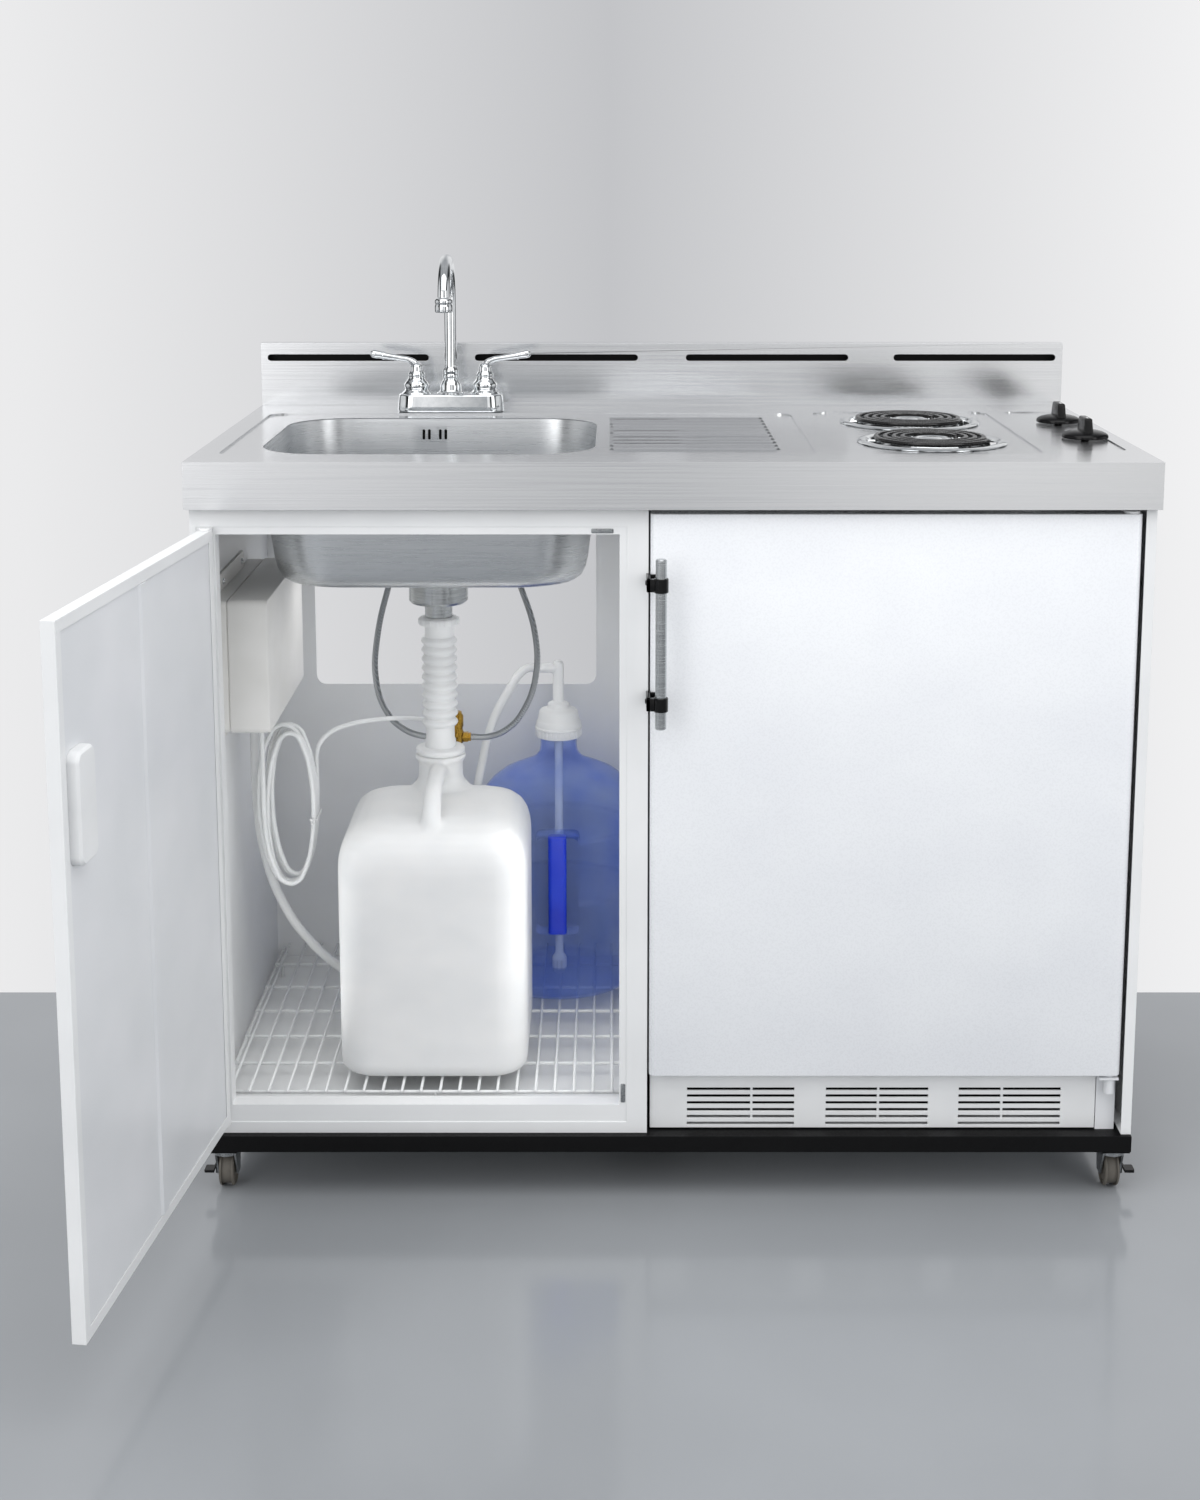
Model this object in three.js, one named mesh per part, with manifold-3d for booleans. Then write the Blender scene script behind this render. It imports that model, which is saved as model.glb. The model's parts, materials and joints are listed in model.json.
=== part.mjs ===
// Kitchenette unit: a stainless worktop with a pressed sink, drainer and two coil burners, on a steel
// cabinet that holds a sink bay with a bottled-water supply on the left and a refrigerator on the right.
// Millimetres. X runs to the right, Y from the front apron to the back, Z up from the floor.
import * as THREE from 'three';
import { mergeVertices } from 'three/addons/utils/BufferGeometryUtils.js';
import Module from 'manifold-3d';

const wasm = await Module();
wasm.setup();

// ---------------------------------------------------------------- driving dimensions

const GAP = 0.3; // between pieces that touch in a turned group or on a curve
const WELD_DISTANCE = 1e-4;
const PAST = 5; // how far a cutting solid runs past the face it opens

// Worktop and backguard
const UNIT_WIDTH = 1219.2;
const WORKTOP_DEPTH = 635;
const WORKTOP_TOP = 980;
const APRON_HEIGHT = 60;
const STAINLESS = 1.5;
const BACKGUARD_HEIGHT = 95;
const BACKGUARD_THICKNESS = 20;
const DECK_BACK = WORKTOP_DEPTH - BACKGUARD_THICKNESS;
const SLOT_HEIGHT = 10;
const SLOT_CENTRE_ABOVE_TOP = 72.6;
const SLOT_SPANS = [[-599, -354], [-284, -36], [37, 284], [353, 599]];
const SINK_FIELD = { left: -579, right: 187, front: 66, back: DECK_BACK - 103, radius: 25, depth: 2.5 };
const HOB_FIELD = { left: 221, right: 478, front: 75, back: 530, radius: 25, depth: 2 };
const KNOB_FIELD = { left: 506, right: 589, front: 106, back: 530, radius: 12, depth: 1.5 };
const DRAINER_RIBS = { left: -81, right: 145, front: 125, back: SINK_FIELD.back - 44, count: 11, width: 14 };
const DRAINER_CREST = 4; // how far a rib's top is drawn in from its foot

// Cabinet
const CABINET_HALF_WIDTH = 606;
const CABINET_LEFT = -CABINET_HALF_WIDTH;
const CABINET_BACK = WORKTOP_DEPTH - 35;
const PANEL = 1.5;
const FLANGE = 20;
const BASE_TOP = 86;
const BASE_HEIGHT = 22;
const BASE_FRONT = 6;
const BASE_RAIL = 40;
const FRAME_FRONT = 17;
const FRAME_STEP = 1.2;
const FRAME_DEPTH = 25;
const FRIDGE_BAY_WIDTH = 636;
const FRAME_RIGHT = CABINET_HALF_WIDTH - FRIDGE_BAY_WIDTH;
const BAY_OPENING = { left: CABINET_LEFT + 31.4, right: FRAME_RIGHT - 36.4, bottom: 125, top: 886 };
const BAY_SEAT = { left: CABINET_LEFT + 8, right: FRAME_RIGHT - 27, bottom: 101, top: 896 };
const FLOOR_TOP = 104;
const BACK_WINDOW = { left: CABINET_LEFT + 73, right: FRAME_RIGHT - 70, bottom: 547, top: 880, radius: 15 };
const SHELF_TOP = 130;
const SHELF_WIRE = 4;
const SHELF_WIRE_PITCH = 25.4;
const SHELF_CROSS_WIRE = 5;
const SHELF_CROSS = { first: 60, last: CABINET_BACK - 90, count: 6 };

// Sink, strainer and faucet
const FAUCET = {
  x: (CABINET_LEFT + FRAME_RIGHT) / 2 + 3,
  y: DECK_BACK - 75,
  pitch: 101.6,
  length: 160,
  depth: 52,
  height: 27,
};
const SINK_SIDE_CLEARANCE = 67; // from the bowl's mouth to the cabinet's walls
const SINK_FRONT = 90;
const SINK_BACK = FAUCET.y - 66;
const SINK = {
  x: FAUCET.x - 1.5,
  y: (SINK_FRONT + SINK_BACK) / 2,
  width: FRAME_RIGHT - CABINET_LEFT - 3 - 2 * SINK_SIDE_CLEARANCE,
  depth: SINK_BACK - SINK_FRONT,
  radius: 85,
};
const SINK_CORNER_STEPS = 4;
const BOWL_SHEET = 1.2;
const BOWL_FLANGE = 16;
const BOWL_FLOOR = 792;
const OVERFLOW = { aside: 18, drop: 30, height: 15, width: 4, pitch: 8 };
const DRAIN_RADIUS = 44;
const STRAINER_CUP_RADIUS = 41;
const STRAINER_WALL = 2;
const STRAINER_SEGMENTS = 10;
const STRAINER_FLANGE = 55;
const STRAINER_BOTTOM = 724;
const BASKET_LIFT_CLEARANCE = 1;
const URN = { radius: 19, neck: 12, height: 25 };
const HUB = { radius: 16, height: 22 };
const SHANK_RADIUS = 11;
const SHANK_BOTTOM = 925;
const SPOUT_RADIUS = 9;
const SPOUT_REACH = 120;
const SPOUT_RISE = 235;
const SPOUT_OUTLET_RISE = 155;
const LEVER_REACH = 68;
const LEVER_RISE = 92;

// Hob
const BURNER_X = 351;
const BURNER_YS = { front: 203, rear: 415 };
const BURNER_HOLE_RADIUS = 90;
const PAN_RADIUS = 99.5;
const PAN_MOUTH_RADIUS = 84;
const PAN_DEPTH = 28;
const NOTCH_HALF = 22;
const COIL = { inner: 34, outer: 79, turns: 4, tube: 7, steps: 14, sides: 5 };
const KNOB_X = 561.5;
const KNOB_YS = { front: 232, rear: 403 };
const KNOB_SKIRT_RADIUS = 31;
const KNOB_HEIGHT = 28;
const KNOB_SHAFT_RADIUS = 5;
const KNOB_SHAFT_CLEARANCE = 1;

// Sink door, shown open as it stands at rest
const DOOR_PIVOT = { x: CABINET_LEFT + 21, y: 8 };
const DOOR_OPEN_DEGREES = 96.5;
const DOOR_SIDE_CLEARANCE = 2;
const DOOR = {
  heel: 6,
  reach: BAY_SEAT.right - DOOR_PIVOT.x - DOOR_SIDE_CLEARANCE,
  thickness: 16,
  bottom: BAY_SEAT.bottom + DOOR_SIDE_CLEARANCE,
  top: 893,
};
const DOOR_SKIN = 1.2;
const DOOR_LIP = 14;
const DOOR_RIB_WIDTH = 26;
const DOOR_PULL = {
  near: DOOR.reach - 68,
  far: DOOR.reach - 18,
  bottom: 627,
  top: 750,
  corner: 12,
  depth: 26,
  wall: 2,
};
const PIVOT_PIN_RADIUS = 3;
const PIVOT_PIN_LENGTH = 11;
const PIVOT_TAB = 3;

// Refrigerator
const FRIDGE_LEFT = FRAME_RIGHT + 4;
const FRIDGE = { left: FRIDGE_LEFT, right: FRIDGE_LEFT + 613, front: 66, back: CABINET_BACK - 15, top: 908 };
const FRIDGE_SKIN = 1.2;
const FRIDGE_WALL = 38;
const LINER = 2.5;
const FRIDGE_TOE_HEIGHT = 82;
const FRIDGE_HUMP = { front: FRIDGE.back - 160, top: 300 };
const FRIDGE_DOOR = {
  left: FRIDGE.left - 1.7,
  right: FRIDGE.right + 1.6,
  front: 10,
  bottom: BASE_TOP + FRIDGE_TOE_HEIGHT,
  top: FRIDGE.top + 5,
};
const FRIDGE_DOOR_THICKNESS = 42;
const FRIDGE_DOOR_RADIUS = 8;
const FRIDGE_PIVOT = { fromRight: 12, fromFront: 11 };
const FRIDGE_HINGE = { halfWidth: 10, reach: 34 };
const LOWER_HINGE = { plate: 3, knuckleRadius: 7, knuckleLength: 23.5, shelfDrop: 3.5 };
const FRIDGE_BIN = { heights: [240, 470, 690], rises: [70, 60, 55], depth: 62, wall: 2.5, side: 26.5 };
const GASKET_WIDTH = 14;
const GASKET_INSET = 6;
const GRILLE = {
  left: FRIDGE.left,
  right: FRIDGE.right - 26,
  front: 28,
  bottom: BASE_TOP + 2,
  top: FRIDGE_DOOR.bottom - 2,
  wall: 3,
};
const LOUVRE_GROUPS = [[49, 190.5], [232, 367], [407, 541.6]]; // from the grille's left end
const LOUVRE_ROWS = 6;
const LOUVRE_PITCH = 9.6;
const LOUVRE_HEIGHT = 4;
const LOUVRE_TOP = GRILLE.top - 22;
const DIAL = { x: FRIDGE.left + 496, y: 170, radius: 19, shaft: 4, height: 16 };
const SHELF_HEIGHTS = [620];
const FRIDGE_SHELF = { front: 140, back: 6, rim: 8, height: 6, wires: 9, wire: 4 };
const SHELF_LEDGE = { front: 150, back: 20, width: 9, height: 8 };
const CRISPER = { front: 140, height: 165, side: 8, wall: 2.5, taper: 14, radius: 20 };
const COMPRESSOR = {
  radius: 54,
  height: 124,
  forward: 12,
  plateLength: 140,
  plateDepth: 96,
  plateHeight: 14,
};
const HANDLE = {
  x: FRIDGE_DOOR.left + 12.7,
  standoff: 40,
  radius: 7,
  bottom: 645,
  top: 862,
  mounts: [677, 829],
  clampHeight: 18,
};

// Casters
const CASTER_X = CABINET_HALF_WIDTH - 19;
const CASTER_YS = { front: 34, rear: CABINET_BACK - 34 };
const WHEEL_RADIUS = 25;
const WHEEL_WIDTH = 20;
const AXLE_RADIUS = 4;
const CASTER_TRAIL = 12;
const CASTER_PLATE = 2.5;
const CASTER_CUP_RADIUS = 17;
const PEDAL = { width: 13, reach: 30, tread: 16, rise: 9, thickness: 4 };

// Water supply and waste
const BOTTLE = {
  x: FRAME_RIGHT - 125,
  y: CABINET_BACK - 140,
  radius: 118,
  wall: 2.5,
  neckRadius: 27,
  neckTop: 517,
};
const JUG_FRONT = 78;
const JUG_BACK = BOTTLE.y - BOTTLE.radius - 7;
const JUG = {
  y: (JUG_FRONT + JUG_BACK) / 2,
  width: 253,
  depth: JUG_BACK - JUG_FRONT,
  radius: 45,
  shoulder: 430,
  top: 480,
  wall: 2.5,
};
const JUG_NECK = { y: SINK.y, radius: 31, wall: 3, top: 528 };
const BOTTLE_SEGMENTS = 14;
const BOTTLE_GRIP = { width: 60, bottom: 236, top: 381, bar: 28, recess: 34 };
const CAP = { radius: 33, height: 50, riserRadius: 8, elbowHeight: 606, elbowReach: 30 };
const PUMP_LEFT = CABINET_LEFT + PANEL;
const PUMP = {
  left: PUMP_LEFT,
  right: PUMP_LEFT + 76.5,
  front: 120,
  back: 430,
  bottom: 599,
  top: 779,
  flange: 22,
};
const DRAIN_HOSE = { radius: 20, bore: 16, rib: 25, ribs: 10, pitch: 13, nutRadius: 28 };
const TEE = { x: -296, y: 330, portHeight: 537, inletRise: 23, port: 19, inlet: 17, collar: 3 };
const SUCTION_HOSE = 13;
const SUPPLY_HOSE = 9;
const DISCHARGE_TUBE = 6.35;
const HANK = {
  x: PUMP.left + 81.5,
  y: 222,
  z: PUMP.bottom - 135,
  halfWidth: 34,
  halfHeight: 110,
  turns: 5.5,
  pitch: 8,
  steps: 14,
};

// Worked out from the sizes above
const WORKTOP_UNDERSIDE = WORKTOP_TOP - STAINLESS;
const SINK_FIELD_TOP = WORKTOP_TOP - SINK_FIELD.depth;
const SINK_FIELD_UNDERSIDE = SINK_FIELD_TOP - STAINLESS;
const HOB_TOP = WORKTOP_TOP - HOB_FIELD.depth;
const KNOB_DECK = WORKTOP_TOP - KNOB_FIELD.depth;
const BASE_BOTTOM = BASE_TOP - BASE_HEIGHT;
const PARTITION_LEFT = FRAME_RIGHT - PANEL;
const FRAME_PLATE = FRAME_FRONT + FRAME_STEP;

const FINISHES = {
  brushedSteel: { color: 0xb9bdc0, roughness: 0.32, metalness: 1 },
  satinSteel: { color: 0x9fa3a6, roughness: 0.45, metalness: 1 },
  chrome: { color: 0xe6e8ea, roughness: 0.08, metalness: 1 },
  zinc: { color: 0xa7a9ab, roughness: 0.4, metalness: 1 },
  brass: { color: 0xb58f3c, roughness: 0.3, metalness: 1 },
  whiteEnamel: { color: 0xf0f0f0, roughness: 0.35, metalness: 0 },
  whitePlastic: { color: 0xf2f2f0, roughness: 0.45, metalness: 0 },
  creamPlastic: { color: 0xe3e0d6, roughness: 0.5, metalness: 0 },
  clearPlastic: { color: 0xe8eef2, roughness: 0.2, metalness: 0 },
  naturalPlastic: { color: 0xe9eaea, roughness: 0.5, metalness: 0 },
  bluePlastic: { color: 0x6f8fd0, roughness: 0.15, metalness: 0 },
  blackPaint: { color: 0x101010, roughness: 0.6, metalness: 0 },
  blackPlastic: { color: 0x161616, roughness: 0.35, metalness: 0 },
  blackElement: { color: 0x1c1c1e, roughness: 0.5, metalness: 0.6 },
  wheelRubber: { color: 0x6e6a62, roughness: 0.8, metalness: 0 },
  gasket: { color: 0xe4e4e2, roughness: 0.7, metalness: 0 },
};

// ---------------------------------------------------------------- shapes

/** Six times the signed volume of an indexed mesh. */
function signedVolume(positions, index) {
  const [a, b, c] = [new THREE.Vector3(), new THREE.Vector3(), new THREE.Vector3()];
  let sum = 0;
  for (let i = 0; i < index.length; i += 3) {
    a.fromBufferAttribute(positions, index[i]);
    b.fromBufferAttribute(positions, index[i + 1]);
    c.fromBufferAttribute(positions, index[i + 2]);
    sum += a.dot(b.cross(c));
  }
  return sum;
}

/** The same surface with shared corners, no empty triangles and its faces pointing out. */
function closed(geometry) {
  const bare = new THREE.BufferGeometry();
  bare.setAttribute('position', geometry.getAttribute('position'));
  bare.setIndex(geometry.index);
  const merged = mergeVertices(bare, WELD_DISTANCE);
  const found = merged.index.array;
  const index = [];
  for (let i = 0; i < found.length; i += 3) {
    const [a, b, c] = [found[i], found[i + 1], found[i + 2]];
    if (a !== b && b !== c && c !== a) index.push(a, b, c);
  }
  if (signedVolume(merged.getAttribute('position'), index) < 0) index.reverse();
  merged.setIndex(index);
  return merged;
}

/** A solid for joining and cutting. */
function solidOf(geometry) {
  const mesh = closed(geometry);
  return new wasm.Manifold(new wasm.Mesh({
    numProp: 3,
    vertProperties: new Float32Array(mesh.getAttribute('position').array),
    triVerts: new Uint32Array(mesh.index.array),
  }));
}

function geometryOf(solid) {
  const mesh = solid.getMesh();
  const geometry = new THREE.BufferGeometry();
  geometry.setAttribute('position', new THREE.BufferAttribute(mesh.vertProperties, 3));
  geometry.setIndex(new THREE.BufferAttribute(mesh.triVerts, 1));
  return geometry;
}

function join(...pieces) {
  return geometryOf(pieces.map(solidOf).reduce((whole, piece) => whole.add(piece)));
}

function cut(body, ...tools) {
  return geometryOf(tools.map(solidOf).reduce((left, tool) => left.subtract(tool), solidOf(body)));
}

/** A box between two limits along each axis. */
function box([x0, x1], [y0, y1], [z0, z1]) {
  const geometry = new THREE.BoxGeometry(x1 - x0, y1 - y0, z1 - z0);
  return geometry.translate((x0 + x1) / 2, (y0 + y1) / 2, (z0 + z1) / 2);
}

/** A rectangle with round corners, as a shape in its own plane. */
function roundedRectangle(u0, u1, v0, v1, radius) {
  const shape = new THREE.Shape();
  shape.absarc(u1 - radius, v0 + radius, radius, -Math.PI / 2, 0);
  shape.absarc(u1 - radius, v1 - radius, radius, 0, Math.PI / 2);
  shape.absarc(u0 + radius, v1 - radius, radius, Math.PI / 2, Math.PI);
  shape.absarc(u0 + radius, v0 + radius, radius, Math.PI, Math.PI * 1.5);
  shape.closePath();
  return shape;
}

/** A closed shape through a few corners. */
function polygon(...corners) {
  return new THREE.Shape(corners.map(([u, v]) => new THREE.Vector2(u, v)));
}

/** A shape in X and Y raised from z0 to z1, with an optional chamfer on both rims. */
function raised(shape, z0, z1, chamfer = 0, curveSegments = 3) {
  const geometry = new THREE.ExtrudeGeometry(shape, {
    depth: z1 - z0 - 2 * chamfer,
    curveSegments,
    bevelEnabled: chamfer > 0,
    bevelThickness: chamfer,
    bevelSize: chamfer,
    bevelOffset: -chamfer,
    bevelSegments: 1,
  });
  return geometry.translate(0, 0, z0 + chamfer);
}

/** A shape in X and Z carried along Y. */
function alongY(shape, y0, y1, chamfer = 0, curveSegments = 3) {
  return raised(shape, -y1, -y0, chamfer, curveSegments).rotateX(Math.PI / 2);
}

/** A shape in Y and Z carried along X. */
function alongX(shape, x0, x1, chamfer = 0, curveSegments = 3) {
  const turn = new THREE.Matrix4().makeBasis(
    new THREE.Vector3(0, 1, 0),
    new THREE.Vector3(0, 0, 1),
    new THREE.Vector3(1, 0, 0),
  );
  return raised(shape, x0, x1, chamfer, curveSegments).applyMatrix4(turn);
}

/** A turned solid about the vertical at x, y. The profile is [radius, z] pairs. */
function turned(profile, x, y, segments = 16) {
  const points = profile.map(([radius, z]) => new THREE.Vector2(radius, z));
  return new THREE.LatheGeometry(points, segments).rotateX(Math.PI / 2).translate(x, y, 0);
}

/** A turned solid with a bore: the profile closes on itself. */
function turnedRing(profile, x, y, segments = 16) {
  return turned([...profile, profile[0]], x, y, segments);
}

/** A round bar from z0 to z1. */
function post(x, y, radius, z0, z1, segments = 12) {
  return new THREE.CylinderGeometry(radius, radius, z1 - z0, segments)
    .rotateX(Math.PI / 2)
    .translate(x, y, (z0 + z1) / 2);
}

/** A round bar along X or Y. */
function barAlongX(x0, x1, y, z, radius, segments = 12) {
  return new THREE.CylinderGeometry(radius, radius, x1 - x0, segments)
    .rotateZ(Math.PI / 2)
    .translate((x0 + x1) / 2, y, z);
}

function barAlongY(x, y0, y1, z, radius, segments = 12) {
  return new THREE.CylinderGeometry(radius, radius, y1 - y0, segments).translate(x, (y0 + y1) / 2, z);
}

/** The corners of one level of a lofted shape: a rectangle with round corners, or a circle. */
function level(x, y, width, depth, radius, z, perCorner = SINK_CORNER_STEPS) {
  const reachX = width / 2 - radius;
  const reachY = depth / 2 - radius;
  const points = [];
  for (let corner = 0; corner < 4; corner += 1) {
    const sideX = corner === 0 || corner === 3 ? 1 : -1;
    const sideY = corner < 2 ? 1 : -1;
    for (let step = 0; step <= perCorner; step += 1) {
      const angle = ((corner + step / perCorner) * Math.PI) / 2;
      points.push(new THREE.Vector3(
        x + sideX * reachX + radius * Math.cos(angle),
        y + sideY * reachY + radius * Math.sin(angle),
        z,
      ));
    }
  }
  return points;
}

/** A skin through levels of equally many points, closed by flat ends, or round on itself. */
function loft(levels, closedLoop = false) {
  const count = levels[0].length;
  const positions = levels.flat().flatMap((p) => [p.x, p.y, p.z]);
  const index = [];
  const spans = closedLoop ? levels.length : levels.length - 1;
  for (let i = 0; i < spans; i += 1) {
    const next = (i + 1) % levels.length;
    for (let j = 0; j < count; j += 1) {
      const [a, b] = [i * count + j, i * count + ((j + 1) % count)];
      const [c, d] = [next * count + ((j + 1) % count), next * count + j];
      index.push(a, b, c, a, c, d);
    }
  }
  if (!closedLoop) {
    const last = (levels.length - 1) * count;
    for (let j = 1; j < count - 1; j += 1) {
      index.push(0, j + 1, j, last, last + j, last + j + 1);
    }
  }
  const geometry = new THREE.BufferGeometry();
  geometry.setAttribute('position', new THREE.Float32BufferAttribute(positions, 3));
  geometry.setIndex(index);
  return closed(geometry);
}

/** A round bar whose thickness changes along a curve in the X-Z plane through y. */
function taperedBar(stations, y, sides = 8) {
  return loft(stations.map(([x, z, radius], i) => {
    const before = stations[Math.max(i - 1, 0)];
    const after = stations[Math.min(i + 1, stations.length - 1)];
    const along = new THREE.Vector2(after[0] - before[0], after[1] - before[1]).normalize();
    const ring = [];
    for (let side = 0; side < sides; side += 1) {
      const angle = (side / sides) * Math.PI * 2;
      const [across, out] = [Math.cos(angle) * radius, Math.sin(angle) * radius];
      ring.push(new THREE.Vector3(x - along.y * across, y + out, z + along.x * across));
    }
    return ring;
  }));
}

/** A tube along a path of points. */
function tube(points, diameter, steps, sides = 8) {
  const path = new THREE.CatmullRomCurve3(points, false, 'centripetal');
  const section = new THREE.Shape();
  for (let side = 0; side < sides; side += 1) {
    const angle = (side / sides) * Math.PI * 2;
    const [u, v] = [Math.cos(angle) * diameter / 2, Math.sin(angle) * diameter / 2];
    if (side) section.lineTo(u, v);
    else section.moveTo(u, v);
  }
  section.closePath();
  return new THREE.ExtrudeGeometry(section, { steps, extrudePath: path, curveSegments: 1 });
}

const at = ([x, y, z]) => new THREE.Vector3(x, y, z);

/** The least clear distance between stretches of one tube that lie more than two diameters apart on it. */
function leastGap(points, diameter) {
  let least = Infinity;
  const walked = [0];
  for (let i = 1; i < points.length; i += 1) {
    walked.push(walked[i - 1] + points[i].distanceTo(points[i - 1]));
  }
  for (let i = 0; i < points.length; i += 1) {
    for (let j = i + 1; j < points.length; j += 1) {
      if (walked[j] - walked[i] > diameter * 4) {
        least = Math.min(least, points[i].distanceTo(points[j]) - diameter);
      }
    }
  }
  return least;
}

// ---------------------------------------------------------------- the assembly

const unit = new THREE.Group();

function place(name, geometry, finish, parent = unit) {
  const mesh = new THREE.Mesh(closed(geometry), new THREE.MeshStandardMaterial(FINISHES[finish]));
  mesh.name = name;
  parent.add(mesh);
}

// ---------------------------------------------------------------- worktop and backguard

function fieldShape(field, grow = 0) {
  const { left, right, front, back, radius } = field;
  return roundedRectangle(left - grow, right + grow, front - grow, back + grow, radius + grow);
}

/** The pressed top: an open-bottomed tray with sunk fields, ribs and every cut-out. */
function worktop() {
  const half = UNIT_WIDTH / 2;
  const apronBottom = WORKTOP_TOP - APRON_HEIGHT;
  const tray = cut(
    box([-half, half], [0, WORKTOP_DEPTH], [apronBottom, WORKTOP_TOP]),
    box(
      [STAINLESS - half, half - STAINLESS],
      [STAINLESS, WORKTOP_DEPTH - STAINLESS],
      [apronBottom - PAST, WORKTOP_UNDERSIDE],
    ),
  );
  const fields = [SINK_FIELD, HOB_FIELD, KNOB_FIELD];
  const dished = cut(
    join(tray, ...fields.map((field) => raised(
      fieldShape(field, STAINLESS),
      WORKTOP_UNDERSIDE - field.depth,
      WORKTOP_UNDERSIDE + STAINLESS / 2,
    ))),
    ...fields.map((field) => raised(fieldShape(field), WORKTOP_TOP - field.depth, WORKTOP_TOP + PAST)),
  );
  const ribs = [];
  const { left, right, front, back, count, width } = DRAINER_RIBS;
  for (let i = 0; i < count; i += 1) {
    const y = front + width / 2 + ((back - front - width) * i) / (count - 1);
    const rib = (inset, z) => level(
      (left + right) / 2,
      y,
      right - left - 2 * inset,
      width - 2 * inset,
      width / 2 - inset,
      z,
      1,
    );
    ribs.push(loft([rib(0, SINK_FIELD_TOP - STAINLESS / 2), rib(DRAINER_CREST, WORKTOP_TOP)]));
  }
  const through = [WORKTOP_TOP - APRON_HEIGHT / 2, WORKTOP_TOP + PAST];
  const holes = [raised(sinkOpening(0), ...through, 0, SINK_CORNER_STEPS)];
  for (const y of Object.values(BURNER_YS)) {
    holes.push(post(BURNER_X, y, BURNER_HOLE_RADIUS, ...through, 24));
  }
  for (const y of Object.values(KNOB_YS)) {
    holes.push(post(KNOB_X, y, KNOB_SHAFT_RADIUS + KNOB_SHAFT_CLEARANCE, ...through, 8));
  }
  for (const side of [-1, 1]) {
    holes.push(post(FAUCET.x + (side * FAUCET.pitch) / 2, FAUCET.y, SHANK_RADIUS + GAP, ...through, 10));
  }
  return cut(join(dished, ...ribs), ...holes);
}

function sinkOpening(inset) {
  const [halfWidth, halfDepth] = [SINK.width / 2 - inset, SINK.depth / 2 - inset];
  return roundedRectangle(
    SINK.x - halfWidth,
    SINK.x + halfWidth,
    SINK.y - halfDepth,
    SINK.y + halfDepth,
    SINK.radius - inset,
  );
}

/** The splash guard: a folded box section, open at the back, with four long vents. */
function backguard() {
  const half = UNIT_WIDTH / 2;
  const top = WORKTOP_TOP + BACKGUARD_HEIGHT;
  const shell = cut(
    box([-half, half], [DECK_BACK, WORKTOP_DEPTH], [WORKTOP_TOP, top]),
    box(
      [STAINLESS - half, half - STAINLESS],
      [DECK_BACK + STAINLESS, WORKTOP_DEPTH + PAST],
      [WORKTOP_TOP + STAINLESS, top - STAINLESS],
    ),
  );
  const centre = WORKTOP_TOP + SLOT_CENTRE_ABOVE_TOP;
  return cut(shell, ...SLOT_SPANS.map(([x0, x1]) => alongY(
    roundedRectangle(x0, x1, centre - SLOT_HEIGHT / 2, centre + SLOT_HEIGHT / 2, SLOT_HEIGHT / 2),
    DECK_BACK - PAST,
    DECK_BACK + STAINLESS + PAST,
    0,
    2,
  )));
}

place('worktop', worktop(), 'brushedSteel');
place('backguard', backguard(), 'brushedSteel');

// ---------------------------------------------------------------- sink bowl and drain

/** One level of the bowl's skin: inset from the opening's edge, at height z. */
function bowlLevel(inset, z) {
  const radius = Math.max(SINK.radius - inset * 0.8, 30);
  return level(SINK.x, SINK.y, SINK.width - 2 * inset, SINK.depth - 2 * inset, radius, z);
}

function drainLevel(radius, z) {
  return level(SINK.x, SINK.y, 2 * radius, 2 * radius, radius, z);
}

/** A drawn bowl: one skin from the flange down the outside, round the drain and up the inside. */
function sinkBowl() {
  const mouth = SINK_FIELD_UNDERSIDE;
  const flat = STRAINER_FLANGE + 6;
  // inset and height above the floor, from the mouth down
  const wall = [[1, mouth - BOWL_FLOOR - 6], [12, 38], [19, 15], [36, 4]];
  const outside = wall.map(([inset, rise]) => bowlLevel(inset - BOWL_SHEET, BOWL_FLOOR + rise - BOWL_SHEET));
  const inside = wall.map(([inset, rise]) => bowlLevel(inset, BOWL_FLOOR + rise)).reverse();
  const bowl = loft([
    bowlLevel(-BOWL_FLANGE, mouth),
    bowlLevel(-BOWL_FLANGE, mouth - BOWL_SHEET),
    bowlLevel(-BOWL_SHEET, mouth - BOWL_SHEET),
    ...outside,
    drainLevel(flat, BOWL_FLOOR - BOWL_SHEET),
    drainLevel(DRAIN_RADIUS, BOWL_FLOOR - BOWL_SHEET),
    drainLevel(DRAIN_RADIUS, BOWL_FLOOR),
    drainLevel(flat, BOWL_FLOOR),
    ...inside,
    bowlLevel(0, mouth),
  ], true);
  const backWall = SINK.y + SINK.depth / 2;
  const { aside, drop, height, width, pitch } = OVERFLOW;
  const slots = [-2, -1, 1, 2].map((step) => {
    const x = SINK.x - aside + step * pitch;
    return box(
      [x - width / 2, x + width / 2],
      [backWall - FLANGE, backWall + FLANGE],
      [mouth - drop, mouth - drop + height],
    );
  });
  return cut(bowl, ...slots);
}

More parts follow.
